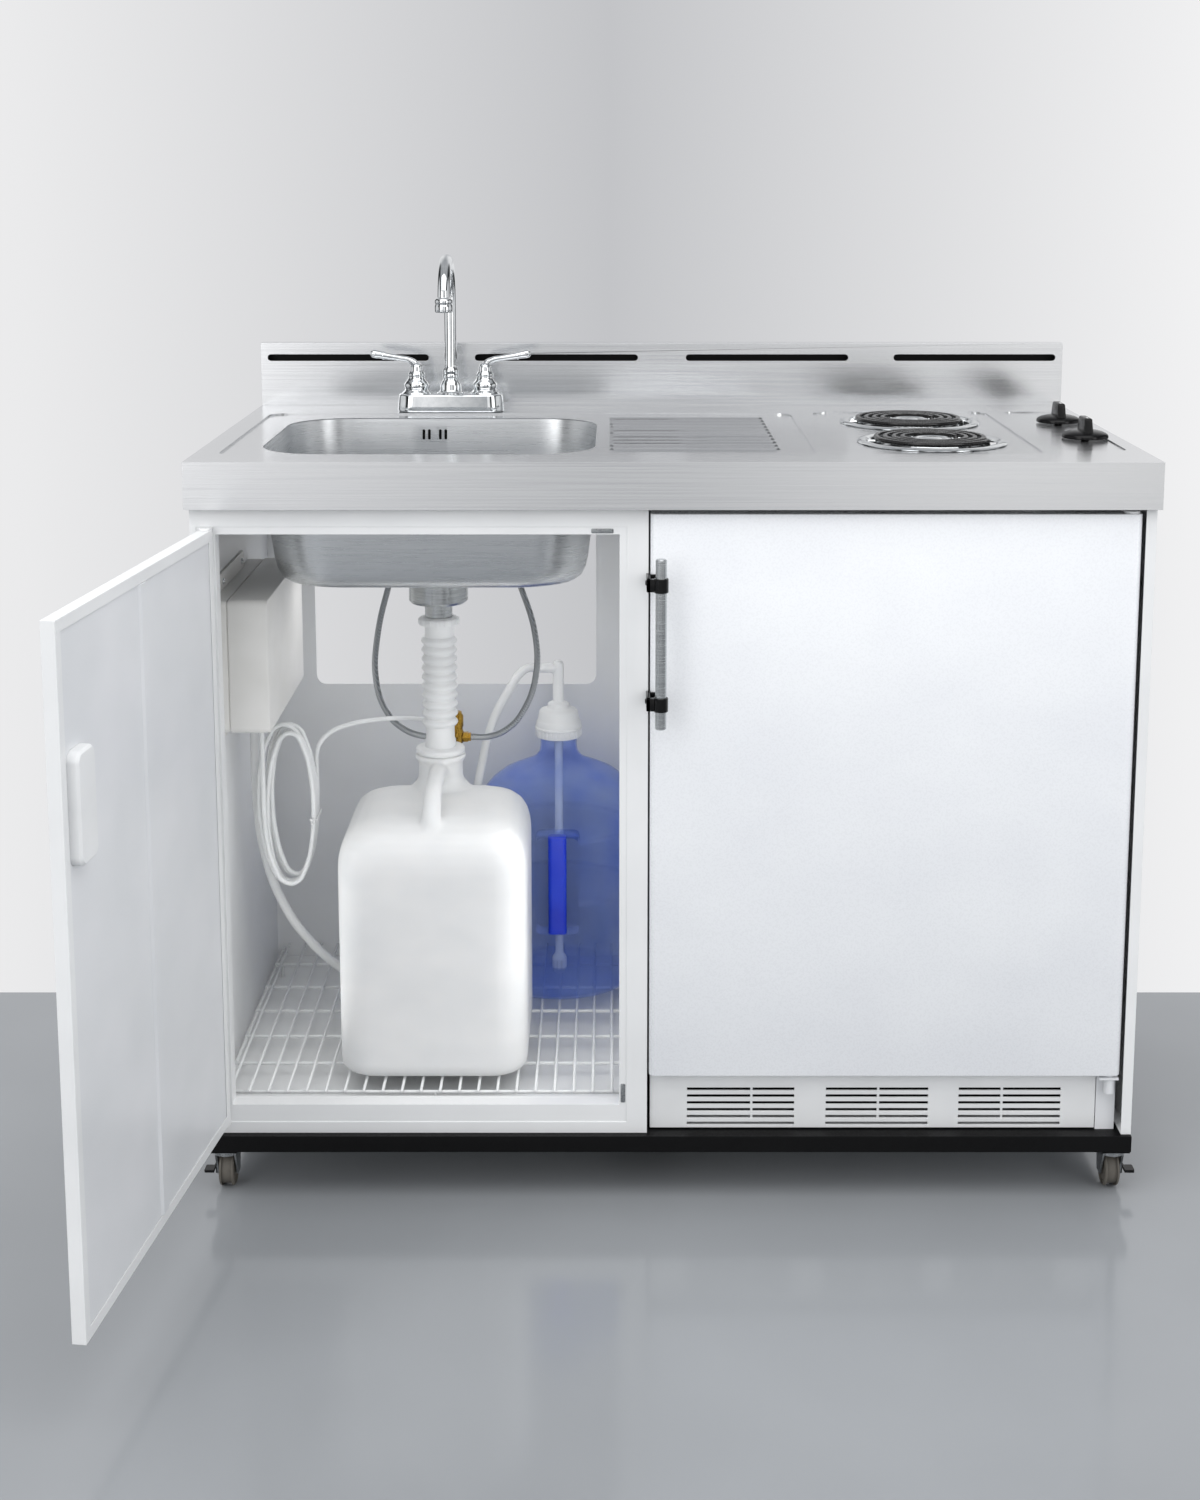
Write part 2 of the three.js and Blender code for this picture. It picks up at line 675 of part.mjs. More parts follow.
/** The strainer cup: a flange in the bowl, a cup through it, its clamp nut and its outlet. */
function strainerBody() {
  const cup = STRAINER_CUP_RADIUS;
  const flangeTop = BOWL_FLOOR + 1.6;
  const under = BOWL_FLOOR - BOWL_SHEET - GAP;
  const outlet = DRAIN_HOSE.radius - 1;
  return turnedRing([
    [STRAINER_FLANGE, BOWL_FLOOR],
    [STRAINER_FLANGE - 2, flangeTop],
    [cup - STRAINER_WALL, flangeTop],
    [cup - STRAINER_WALL, STRAINER_BOTTOM + 24],
    [outlet - STRAINER_WALL, STRAINER_BOTTOM + 16],
    [outlet - STRAINER_WALL, STRAINER_BOTTOM],
    [outlet, STRAINER_BOTTOM],
    [outlet, STRAINER_BOTTOM + 14],
    [cup, STRAINER_BOTTOM + 22],
    [cup, under - 14],
    [cup + 12, under - 12],
    [cup + 12, under],
    [cup, under],
    [cup, BOWL_FLOOR],
  ], SINK.x, SINK.y, STRAINER_SEGMENTS);
}

/** The lift-out basket: a slotted cup with a rim that sits on the flange and a finger knob. */
function strainerBasket() {
  const rimBottom = BOWL_FLOOR + 1.6 + GAP;
  const radius = STRAINER_CUP_RADIUS - STRAINER_WALL - BASKET_LIFT_CLEARANCE;
  const floor = STRAINER_BOTTOM + 34;
  const cup = turned([
    [0, floor],
    [radius - 4, floor],
    [radius, floor + 6],
    [radius, rimBottom],
    [radius + 6, rimBottom],
    [radius + 6, rimBottom + 1.2],
    [radius - 1.5, rimBottom + 1.2],
    [radius - 1.5, floor + 7],
    [radius - 5, floor + 1.5],
    [4, floor + 1.5],
    [4, rimBottom - 6],
    [9, rimBottom - 3],
    [9, rimBottom + 4],
    [0, rimBottom + 5],
  ], SINK.x, SINK.y, STRAINER_SEGMENTS);
  const slots = [];
  const slotCount = 4;
  for (let i = 0; i < slotCount; i += 1) {
    const slot = box([radius - PAST, radius + PAST], [-2, 2], [floor + 12, rimBottom - 8]);
    slots.push(slot.rotateZ((i / slotCount) * Math.PI * 2).translate(SINK.x, SINK.y, 0));
  }
  return cut(cup, ...slots);
}

/** The ribbed waste hose with its nut above and its collar on the jug's neck. */
function drainHose() {
  const { radius, bore, rib, ribs, pitch, nutRadius } = DRAIN_HOSE;
  const top = STRAINER_BOTTOM - GAP;
  const ribsTop = top - 34;
  const ribsBottom = ribsTop - ribs * pitch;
  const collar = JUG_NECK.top + GAP;
  const outside = [[nutRadius - 2, top], [nutRadius, top - 2], [nutRadius, top - 11], [radius, top - 13]];
  for (let i = 0; i < ribs; i += 1) {
    const z = ribsTop - i * pitch;
    outside.push([radius, z], [rib, z - pitch / 2]);
  }
  outside.push(
    [radius, ribsBottom],
    [radius, collar + 10],
    [JUG_NECK.radius + 3, collar + 8],
    [JUG_NECK.radius + 3, collar],
    [radius, collar],
    [radius, collar - 24],
  );
  const ribsMiddle = ribsTop - (ribs * pitch) / 2;
  const inside = [[bore, collar - 24], [bore, ribsBottom], [bore, ribsMiddle], [bore, top]];
  return turnedRing([...outside, ...inside], SINK.x, JUG_NECK.y, 8);
}

place('sink_bowl', sinkBowl(), 'satinSteel');
place('strainer_body', strainerBody(), 'satinSteel');
place('strainer_basket', strainerBasket(), 'chrome');
place('drain_hose', drainHose(), 'whitePlastic');

// ---------------------------------------------------------------- faucet

/** The deck plate with a bell under each lever, the spout's hub and the threaded shanks below. */
function faucetBase() {
  const { x, y, pitch, length, depth, height } = FAUCET;
  const top = WORKTOP_TOP + height;
  const plate = raised(
    roundedRectangle(x - length / 2, x + length / 2, y - depth / 2, y + depth / 2, depth / 2 - 1),
    WORKTOP_TOP,
    top,
    4,
    5,
  );
  const sunk = top - 6;
  const urnTop = top + URN.height;
  const urn = [[0, sunk], [URN.radius, sunk], [URN.radius, top + 12], [URN.neck, urnTop], [0, urnTop]];
  const hubTop = top + HUB.height;
  const hub = [
    [0, sunk],
    [HUB.radius, sunk],
    [HUB.radius, top + 12],
    [SPOUT_RADIUS + 2, hubTop],
    [0, hubTop],
  ];
  const pieces = [turned(hub, x, y, 10)];
  for (const side of [-1, 1]) {
    const shankX = x + (side * pitch) / 2;
    pieces.push(turned(urn, shankX, y, 10));
    pieces.push(post(shankX, y, SHANK_RADIUS, SHANK_BOTTOM, WORKTOP_TOP + 6, 10));
    const nutTop = WORKTOP_UNDERSIDE - GAP;
    pieces.push(post(shankX, y, SHANK_RADIUS + 8, nutTop - 10, nutTop, 6));
  }
  return join(plate, ...pieces);
}

/** The gooseneck: a riser, a half turn and the outlet, with the aerator and the base ring. */
function spout() {
  const { x, y } = FAUCET;
  const bottom = WORKTOP_TOP + FAUCET.height + HUB.height + GAP;
  const bend = SPOUT_REACH / 2;
  const bendCentre = WORKTOP_TOP + SPOUT_RISE - SPOUT_RADIUS - bend;
  const outlet = WORKTOP_TOP + SPOUT_OUTLET_RISE;
  const arc = [];
  const arcSteps = 8;
  for (let i = 0; i <= arcSteps; i += 1) {
    const angle = (i / arcSteps) * Math.PI;
    arc.push(at([x, y - bend + bend * Math.cos(angle), bendCentre + bend * Math.sin(angle)]));
  }
  const points = [
    at([x, y, bottom]),
    at([x, y, (bottom + bendCentre) / 2]),
    ...arc,
    at([x, y - SPOUT_REACH, outlet + 6]),
  ];
  const pipe = tube(points, SPOUT_RADIUS * 2, 15, 10);
  const ring = turned([
    [0, bottom],
    [SPOUT_RADIUS + 3, bottom],
    [SPOUT_RADIUS + 3.5, bottom + 5],
    [SPOUT_RADIUS, bottom + 12],
    [0, bottom + 12],
  ], x, y, 12);
  const aerator = turned([
    [0, outlet],
    [12, outlet],
    [13, outlet + 3],
    [13, outlet + 13],
    [10.5, outlet + 17],
    [10.5, outlet + 20],
    [0, outlet + 20],
  ], x, y - SPOUT_REACH, 12);
  return join(pipe, ring, aerator);
}

/** A lever handle: a cap on the bell, a neck and an arm that rises outward, to one side. */
function lever(side) {
  const shankX = FAUCET.x + (side * FAUCET.pitch) / 2;
  const bottom = WORKTOP_TOP + FAUCET.height + URN.height + GAP;
  const tip = WORKTOP_TOP + LEVER_RISE;
  const arm = taperedBar([
    [shankX, bottom + 2, 7.5],
    [shankX, bottom + 12, 6],
    [shankX + side * 3, bottom + 19, 5.2],
    [shankX + side * 11, bottom + 24, 4.6],
    [shankX + side * (LEVER_REACH - 24), tip - 10, 5],
    [shankX + side * (LEVER_REACH - 8), tip - 7, 6.2],
    [shankX + side * (LEVER_REACH - 1), tip - 5.5, 5.2],
    [shankX + side * LEVER_REACH, tip - 5, 3],
  ], FAUCET.y);
  const cap = turned([
    [0, bottom],
    [URN.neck, bottom],
    [URN.neck + 1, bottom + 3],
    [URN.neck - 3, bottom + 7],
    [0, bottom + 7],
  ], shankX, FAUCET.y, 10);
  return join(cap, arm);
}

place('faucet_base', faucetBase(), 'chrome');
place('spout', spout(), 'chrome');
place('hot_lever', lever(-1), 'chrome');
place('cold_lever', lever(1), 'chrome');

// ---------------------------------------------------------------- hob

/** A drip pan: a rolled rim on the worktop, a dished bowl and the notch for the element's legs. */
function dripPan(y) {
  const t = 0.8;
  const mouth = PAN_MOUTH_RADIUS;
  const floor = HOB_TOP - PAN_DEPTH;
  const hole = 20;
  const pan = turnedRing([
    [PAN_RADIUS, HOB_TOP],
    [PAN_RADIUS - 1.5, HOB_TOP + 2.5],
    [mouth + 2, HOB_TOP + 3],
    [mouth - 8, floor + 7],
    [mouth - 22, floor + t],
    [hole, floor + t],
    [hole, floor],
    [mouth - 21.5, floor],
    [mouth - 7, floor + 6.4],
    [mouth + 2.5, HOB_TOP + 1.6],
  ], BURNER_X, y, 18);
  const notch = box(
    [BURNER_X + mouth - 26, BURNER_X + mouth + 8],
    [y - NOTCH_HALF, y + NOTCH_HALF],
    [HOB_TOP - 20, HOB_TOP - 3.5],
  );
  return cut(pan, notch);
}

/** The element's centre line: both legs leave on the right, one under the turns and one at their end. */
function coilPath(y) {
  const z = HOB_TOP + 7;
  const legZ = HOB_TOP - 12;
  const { inner, outer, turns, steps, tube: thick } = COIL;
  const legEnd = PAN_RADIUS + 2;
  const apart = 8;
  const point = (r, angle, height) => at([BURNER_X + r * Math.cos(angle), y + r * Math.sin(angle), height]);
  const points = [
    at([BURNER_X + legEnd, y + apart, legZ]),
    at([BURNER_X + legEnd - thick, y + apart, legZ]),
    at([BURNER_X + inner + 30, y + apart, legZ]),
    at([BURNER_X + inner + 12, y + apart - 1, legZ + 2]),
    at([BURNER_X + inner + 3, y + apart - 4, legZ + 8]),
  ];
  const [start, sweep] = [Math.PI / 10, turns * Math.PI * 2 - Math.PI / 3.4];
  const count = Math.round((sweep / (Math.PI * 2)) * steps);
  for (let i = 0; i <= count; i += 1) {
    const share = i / count;
    points.push(point(inner + (outer - inner) * share, start + sweep * share, z));
  }
  const end = start + sweep;
  const turn = Math.PI / 180;
  points.push(
    point(outer - 1, end + 10 * turn, z - 4),
    point(outer - 3, end + 18 * turn, z - 12),
    at([BURNER_X + outer + 2, y - apart - 1, legZ]),
    at([BURNER_X + legEnd - thick, y - apart, legZ]),
    at([BURNER_X + legEnd, y - apart, legZ]),
  );
  return points;
}

/** A coil element: the unbroken wound tube on its three-armed support. */
function coilElement(y) {
  const points = coilPath(y);
  console.log(`coil element: least gap ${leastGap(points, COIL.tube).toFixed(1)} mm`);
  const element = tube(points, COIL.tube, points.length, COIL.sides);
  const top = HOB_TOP + 4.3;
  const under = top - 1.6;
  const rim = HOB_TOP + 3 + GAP;
  const arm = alongY(polygon(
    [0, top - 8],
    [COIL.outer - 4, top - 8],
    [COIL.outer + 1, rim],
    [PAN_MOUTH_RADIUS + 7, rim],
    [PAN_MOUTH_RADIUS + 7, top],
    [COIL.outer - 8, top],
    [COIL.outer - 9, under],
    [COIL.inner + 9, under],
    [COIL.inner + 8, top],
    [0, top],
  ), -1, 1);
  const arms = [60, 180, 300].map((degrees) => arm
    .clone()
    .rotateZ((degrees * Math.PI) / 180)
    .translate(BURNER_X, y, 0));
  return join(element, ...arms);
}

/** A burner knob: a dished skirt, a raised grip from front to back and the shaft through the deck. */
function burnerKnob(y) {
  const bottom = KNOB_DECK + 2;
  const top = bottom + KNOB_HEIGHT;
  const skirt = turned([
    [0, bottom],
    [KNOB_SKIRT_RADIUS, bottom],
    [KNOB_SKIRT_RADIUS, bottom + 3],
    [KNOB_SKIRT_RADIUS - 6, bottom + 7],
    [0, bottom + 9],
  ], KNOB_X, y, 18);
  const grip = alongX(polygon(
    [y - 27, bottom + 4],
    [y + 27, bottom + 4],
    [y + 23, top - 4],
    [y + 18, top],
    [y - 18, top],
    [y - 23, top - 4],
  ), KNOB_X - 6.5, KNOB_X + 6.5, 1.5);
  return join(skirt, grip, post(KNOB_X, y, KNOB_SHAFT_RADIUS, KNOB_DECK - 16, bottom + 1));
}

for (const [side, y] of Object.entries(BURNER_YS)) {
  place(`${side}_pan`, dripPan(y), 'chrome');
  place(`${side}_coil`, coilElement(y), 'blackElement');
}
for (const [side, y] of Object.entries(KNOB_YS)) {
  place(`${side}_knob`, burnerKnob(y), 'blackPlastic');
}

// ---------------------------------------------------------------- cabinet

/** The left end: a folded panel with flanges turned inward at the bottom, back and top. */
function leftSidePanel() {
  const front = FRAME_PLATE + PANEL;
  return cut(
    box([CABINET_LEFT, CABINET_LEFT + FLANGE], [front, CABINET_BACK], [BASE_TOP, WORKTOP_UNDERSIDE]),
    box(
      [CABINET_LEFT + PANEL, CABINET_LEFT + FLANGE + PAST],
      [front - PAST, CABINET_BACK - PANEL],
      [BASE_TOP + PANEL, WORKTOP_UNDERSIDE - PANEL],
    ),
  );
}

/** The right end: the same panel with a folded front post beside the refrigerator's door. */
function rightEndPanel() {
  const inner = FRIDGE_DOOR.right + 4.1;
  const front = FRIDGE_DOOR.front + 2;
  return cut(
    box([inner, CABINET_HALF_WIDTH], [front, CABINET_BACK], [BASE_TOP, WORKTOP_UNDERSIDE]),
    box(
      [inner - PAST, CABINET_HALF_WIDTH - PANEL],
      [front + PANEL, CABINET_BACK - PANEL],
      [BASE_TOP + PANEL, WORKTOP_UNDERSIDE - PANEL],
    ),
  );
}

/** The wall between the bays, with a flange along its back edge. */
function partitionPanel() {
  const front = FRAME_PLATE + PANEL + FRAME_DEPTH;
  const back = CABINET_BACK - 2 * PANEL;
  return join(
    box([PARTITION_LEFT, FRAME_RIGHT], [front, back], [BASE_TOP, SINK_FIELD_UNDERSIDE]),
    box([PARTITION_LEFT - FLANGE, FRAME_RIGHT], [back - PANEL, back], [FLOOR_TOP, SINK_FIELD_UNDERSIDE]),
  );
}

/** The sink bay's floor: a shallow tray turned upside down. */
function cabinetFloor() {
  const front = FRAME_PLATE + PANEL + FRAME_DEPTH;
  const [x0, x1] = [CABINET_LEFT + PANEL, PARTITION_LEFT];
  const back = CABINET_BACK - 2 * PANEL;
  const bottom = BASE_TOP + PANEL + GAP;
  return cut(
    box([x0, x1], [front, back], [bottom, FLOOR_TOP]),
    box([x0 + PANEL, x1 - PANEL], [front + PANEL, back - PANEL], [bottom - PAST, FLOOR_TOP - PANEL]),
  );
}

/** The back of the sink bay, with the large window for the supply and waste pipes. */
function cabinetBackPanel() {
  const back = CABINET_BACK - PANEL;
  const { left, right, bottom, top, radius } = BACK_WINDOW;
  return cut(
    box(
      [CABINET_LEFT + PANEL, PARTITION_LEFT],
      [back - PANEL, back],
      [BASE_TOP + PANEL, SINK_FIELD_UNDERSIDE],
    ),
    alongY(roundedRectangle(left, right, bottom, top, radius), back - PANEL - PAST, back + PAST),
  );
}

/** One tab of the door's hinge: a plate from the frame with a pin that points into the door. */
function pivotTab(faceZ, up) {
  const { x, y } = DOOR_PIVOT;
  const [low, high] = up ? [faceZ - PIVOT_TAB, faceZ] : [faceZ, faceZ + PIVOT_TAB];
  const [pinLow, pinHigh] = up ? [low, faceZ + PIVOT_PIN_LENGTH] : [faceZ - PIVOT_PIN_LENGTH, high];
  const round = 8;
  return join(
    box([x - round, x + round], [y, FRAME_PLATE + PANEL / 2], [low, high]),
    post(x, y, round, low, high, 10),
    post(x, y, PIVOT_PIN_RADIUS, pinLow, pinHigh, 8),
  );
}

/** The front frame of the sink bay: a channel section round the opening with a stepped door seat. */
function faceFrame() {
  const { left, right, bottom, top } = BAY_OPENING;
  const plateBack = FRAME_PLATE + PANEL;
  const frameTop = WORKTOP_UNDERSIDE - PANEL - 0.5;
  const returnsBottom = BASE_TOP + PANEL + 0.5;
  const plate = box([CABINET_LEFT, FRAME_RIGHT], [FRAME_FRONT, plateBack], [BASE_TOP, frameTop]);
  const seat = box(
    [BAY_SEAT.left, BAY_SEAT.right],
    [FRAME_FRONT - PAST, FRAME_PLATE],
    [BAY_SEAT.bottom, BAY_SEAT.top],
  );
  const inside = [CABINET_LEFT + PANEL, FRAME_RIGHT];
  const channel = cut(
    box(inside, [FRAME_PLATE, plateBack + FRAME_DEPTH], [returnsBottom, frameTop]),
    cut(
      box(
        [inside[0] + PANEL, inside[1] - PANEL],
        [plateBack, plateBack + FRAME_DEPTH + PAST],
        [returnsBottom + PANEL, frameTop - PANEL],
      ),
      box(
        [left - PANEL, right + PANEL],
        [plateBack - PAST, plateBack + FRAME_DEPTH + 2 * PAST],
        [bottom - PANEL, top + PANEL],
      ),
    ),
  );
  const opening = box([left, right], [FRAME_FRONT - PAST, plateBack + FRAME_DEPTH + PAST], [bottom, top]);
  return join(
    cut(join(cut(plate, seat), channel), opening),
    pivotTab(DOOR.top + GAP, false),
    pivotTab(DOOR.bottom - GAP, true),
  );
}

/** The black plinth: a ring of channel with a cross rail under the partition and four caster plates. */
function baseFrame() {
  const wall = 3;
  const [x0, x1] = [CABINET_LEFT, CABINET_HALF_WIDTH];
  const windows = [[x0 + BASE_RAIL, FRAME_RIGHT - BASE_RAIL], [FRAME_RIGHT + BASE_RAIL, x1 - BASE_RAIL]];
  const ys = [BASE_FRONT + BASE_RAIL, CABINET_BACK - BASE_RAIL];
  const ring = cut(
    box([x0, x1], [BASE_FRONT, CABINET_BACK], [BASE_BOTTOM, BASE_TOP]),
    ...windows.map((xs) => box(xs, ys, [BASE_BOTTOM - PAST, BASE_TOP + PAST])),
  );
  const hollow = cut(
    box(
      [x0 + wall, x1 - wall],
      [BASE_FRONT + wall, CABINET_BACK - wall],
      [BASE_BOTTOM - PAST, BASE_TOP - wall],
    ),
    ...windows.map(([left, right]) => box(
      [left - wall, right + wall],
      [ys[0] - wall, ys[1] + wall],
      [BASE_BOTTOM - 2 * PAST, BASE_TOP + PAST],
    )),
  );
  const plates = [];
  const half = { x: 18, y: 27 };
  for (const side of [-1, 1]) {
    for (const y of Object.values(CASTER_YS)) {
      const x = side * CASTER_X;
      plates.push(box(
        [x - half.x, x + half.x],
        [y - half.y, y + half.y],
        [BASE_BOTTOM - CASTER_PLATE, BASE_BOTTOM + wall],
      ));
    }
  }
  return join(cut(ring, hollow), ...plates);
}

/** The loose wire shelf on legs: close wires welded to the first and last of six cross wires. */
function wireShelf() {
  const [x0, x1] = [CABINET_LEFT + 10, PARTITION_LEFT - 7];
  const [y0, y1] = [FRAME_PLATE + PANEL + FRAME_DEPTH + 6, CABINET_BACK - 14];
  const wires = [];
  const half = SHELF_WIRE / 2;
  const count = Math.floor((x1 - x0 - SHELF_WIRE) / SHELF_WIRE_PITCH);
  const firstX = (x0 + x1 - count * SHELF_WIRE_PITCH) / 2;
  for (let i = 0; i <= count; i += 1) {
    const x = firstX + i * SHELF_WIRE_PITCH;
    wires.push(box([x - half, x + half], [y0, y1], [SHELF_TOP - SHELF_WIRE, SHELF_TOP]));
  }
  const crossTop = SHELF_TOP - SHELF_WIRE;
  const crossHalf = SHELF_CROSS_WIRE / 2;
  const { first, last, count: crossCount } = SHELF_CROSS;
  for (let i = 0; i < crossCount; i += 1) {
    const y = first + ((last - first) * i) / (crossCount - 1);
    const welded = i === 0 || i === crossCount - 1;
    const top = welded ? crossTop : crossTop - GAP;
    wires.push(box([x0, x1], [y - crossHalf, y + crossHalf], [top - SHELF_CROSS_WIRE, top]));
  }
  for (const x of [x0 + crossHalf, x1 - crossHalf]) {
    wires.push(box(
      [x - crossHalf, x + crossHalf],
      [y0, y1],
      [crossTop - SHELF_CROSS_WIRE - 1, crossTop - SHELF_CROSS_WIRE / 2],
    ));
  }
  for (const y of [first, last]) {
    for (const x of [x0 + 12, (x0 + x1) / 2 + 6, x1 - 12]) {
      wires.push(box(
        [x - crossHalf, x + crossHalf],
        [y - crossHalf, y + crossHalf],
        [FLOOR_TOP, crossTop - 1],
      ));
    }
  }
  return join(...wires);
}

place('left_side_panel', leftSidePanel(), 'whiteEnamel');
place('right_end_panel', rightEndPanel(), 'whiteEnamel');
place('partition_panel', partitionPanel(), 'whiteEnamel');
place('cabinet_floor', cabinetFloor(), 'whiteEnamel');
place('cabinet_back_panel', cabinetBackPanel(), 'whiteEnamel');
place('face_frame', faceFrame(), 'whiteEnamel');
place('base_frame', baseFrame(), 'blackPaint');
place('wire_shelf', wireShelf(), 'whiteEnamel');

// ---------------------------------------------------------------- sink door

// The door is modelled shut, with its pivot at the group's origin: X runs across it and Y to its inside.
const sinkDoor = new THREE.Group();
sinkDoor.position.set(DOOR_PIVOT.x, DOOR_PIVOT.y, 0);
sinkDoor.rotation.z = -(DOOR_OPEN_DEGREES * Math.PI) / 180;
unit.add(sinkDoor);

function pullShape(grow) {
  const { near, far, bottom, top } = DOOR_PULL;
  return roundedRectangle(near - grow, far + grow, bottom - grow, top + grow, DOOR_PULL.corner + grow);
}

/** The outer pan: a skin with returns on four edges and lips turned in behind. */
function doorPan() {
  const { heel, reach, thickness, bottom, top } = DOOR;
  const half = thickness / 2;
  const edge = DOOR_SKIN;
  const pan = cut(
    box([-heel, reach], [-half, half], [bottom, top]),
    box([edge - heel, reach - edge], [edge - half, half - edge], [bottom + edge, top - edge]),
    box([DOOR_LIP - heel, reach - DOOR_LIP], [0, half + PAST], [bottom + DOOR_LIP, top - DOOR_LIP]),
    alongY(pullShape(-DOOR_PULL.wall), -half - PAST, 0),
  );
  const pinHole = PIVOT_PIN_RADIUS + GAP;
  return cut(
    pan,
    post(0, 0, pinHole, top - PIVOT_PIN_LENGTH, top + PAST),
    post(0, 0, pinHole, bottom - PAST, bottom + PIVOT_PIN_LENGTH),
  );
}

/** The inner sheet that lies behind the lips, with a pressed rib from top to bottom at its middle. */
function doorInnerPanel() {
  const { heel, reach, thickness, bottom, top } = DOOR;
  const face = thickness / 2 - DOOR_SKIN - GAP;
  const margin = DOOR_SKIN + GAP;
  const middle = (reach - heel) / 2;
  const rib = DOOR_RIB_WIDTH / 2;
  const sheet = box(
    [margin - heel, reach - margin],
    [face - DOOR_SKIN, face],
    [bottom + margin, top - margin],
  );
  const ribEnds = [bottom + DOOR_LIP + GAP, top - DOOR_LIP - GAP];
  const ribShape = (inset, height) => polygon(
    [middle - rib + inset, face - DOOR_SKIN / 2],
    [middle + rib - inset, face - DOOR_SKIN / 2],
    [middle + rib - 4, face + height],
    [middle - rib + 4, face + height],
  );
  return cut(
    join(sheet, raised(ribShape(0, 3), ...ribEnds)),
    alongY(pullShape(GAP), -thickness, thickness),
    post(0, 0, PIVOT_PIN_RADIUS + 3, bottom, bottom + PIVOT_PIN_LENGTH + 4),
    post(0, 0, PIVOT_PIN_RADIUS + 3, top - PIVOT_PIN_LENGTH - 4, top),
  );
}

/** The moulded pocket pull: a cup that stands inward, with its mouth in the door's skin. */
function doorPull() {
  const half = DOOR.thickness / 2;
  const { depth, wall } = DOOR_PULL;
  const mouth = DOOR_SKIN - half + GAP;
  const cup = alongY(pullShape(0), mouth, mouth + depth, 3);
  const hollow = alongY(pullShape(-wall), mouth - PAST, mouth + depth - wall);
  return cut(cup, hollow);
}

place('sink_door', doorPan(), 'whiteEnamel', sinkDoor);
place('door_inner_panel', doorInnerPanel(), 'whiteEnamel', sinkDoor);
place('door_pull', doorPull(), 'whitePlastic', sinkDoor);

// ---------------------------------------------------------------- refrigerator body

const FRIDGE_PIVOT_X = FRIDGE_DOOR.right - FRIDGE_PIVOT.fromRight;
const FRIDGE_PIVOT_Y = FRIDGE_DOOR.front + FRIDGE_PIVOT.fromFront;
const CAVITY = {
  left: FRIDGE.left + FRIDGE_WALL,
  right: FRIDGE.right - FRIDGE_WALL,
  back: FRIDGE.back - FRIDGE_WALL,
  bottom: BASE_TOP + FRIDGE_TOE_HEIGHT + FRIDGE_WALL,
  top: FRIDGE.top - FRIDGE_WALL,
};

/** The steel wrapper, open at the front, with a rail over the toe space and a bay for the compressor. */
function fridgeShell() {
  const { left, right, front, back, top } = FRIDGE;
  const rail = BASE_TOP + FRIDGE_TOE_HEIGHT;
  const wrapper = cut(
    box([left, right], [front, back], [BASE_TOP, top]),
    box(
      [left + FRIDGE_SKIN, right - FRIDGE_SKIN],
      [front - PAST, back - FRIDGE_SKIN],
      [BASE_TOP + FRIDGE_SKIN, top - FRIDGE_SKIN],
    ),
    box(
      [left + FLANGE, right - FLANGE],
      [back - FLANGE, back + PAST],
      [BASE_TOP + FLANGE, FRIDGE_HUMP.top - FRIDGE_WALL],
    ),
  );
  const crossRail = box([left, right], [front, front + FLANGE], [rail - 8, rail - 8 + FRIDGE_SKIN]);
  const hingeLow = FRIDGE_DOOR.top + GAP;
  const hingeTop = hingeLow + PIVOT_TAB;
  const halfWidth = FRIDGE_HINGE.halfWidth;
  const hingeBack = front + FRIDGE_HINGE.reach;
  const acrossHinge = [FRIDGE_PIVOT_X - halfWidth, FRIDGE_PIVOT_X + halfWidth];
  const hinge = join(
    box(acrossHinge, [FRIDGE_PIVOT_Y, hingeBack], [hingeLow, hingeTop]),
    box(acrossHinge, [front, hingeBack], [top - FRIDGE_SKIN / 2, hingeTop]),
    post(FRIDGE_PIVOT_X, FRIDGE_PIVOT_Y, halfWidth, hingeLow, hingeTop),
    post(FRIDGE_PIVOT_X, FRIDGE_PIVOT_Y, PIVOT_PIN_RADIUS, hingeLow - PIVOT_PIN_LENGTH, hingeTop),
  );
  return join(wrapper, crossRail, hinge);
}

/** The side outline of the cold space, with the step over the compressor. */
function cavityOutline(grow) {
  const front = FRIDGE.front - (grow ? 0 : PAST);
  return polygon(
    [front, CAVITY.bottom - grow],
    [FRIDGE_HUMP.front + grow, CAVITY.bottom - grow],
    [FRIDGE_HUMP.front + grow, FRIDGE_HUMP.top - grow],
    [CAVITY.back + grow, FRIDGE_HUMP.top - grow],
    [CAVITY.back + grow, CAVITY.top + grow],
    [front, CAVITY.top + grow],
  );
}

/** The moulded liner: the cold space's skin with a front flange, shelf ledges and the dial's hole. */
function fridgeLiner() {
  const { left, right, front, top } = FRIDGE;
  const skin = join(
    alongX(cavityOutline(LINER), CAVITY.left - LINER, CAVITY.right + LINER),
    box(
      [left + FRIDGE_SKIN, right - FRIDGE_SKIN],
      [front, front + LINER],
      [BASE_TOP + FRIDGE_TOE_HEIGHT, top - FRIDGE_SKIN],
    ),
  );
  const hollow = cut(
    skin,
    alongX(cavityOutline(0), CAVITY.left, CAVITY.right),
    post(DIAL.x, DIAL.y, DIAL.shaft + GAP, CAVITY.top - PAST, CAVITY.top + PAST),
  );
  const ledges = [];
  const ledge = SHELF_LEDGE;
  const sunk = LINER / 2;
  for (const z of SHELF_HEIGHTS) {
    for (const xs of [
      [CAVITY.left - sunk, CAVITY.left + ledge.width],
      [CAVITY.right - ledge.width, CAVITY.right + sunk],
    ]) {
      ledges.push(box(xs, [ledge.front, CAVITY.back - ledge.back], [z - ledge.height, z]));
    }
  }
  return join(hollow, ...ledges);
}

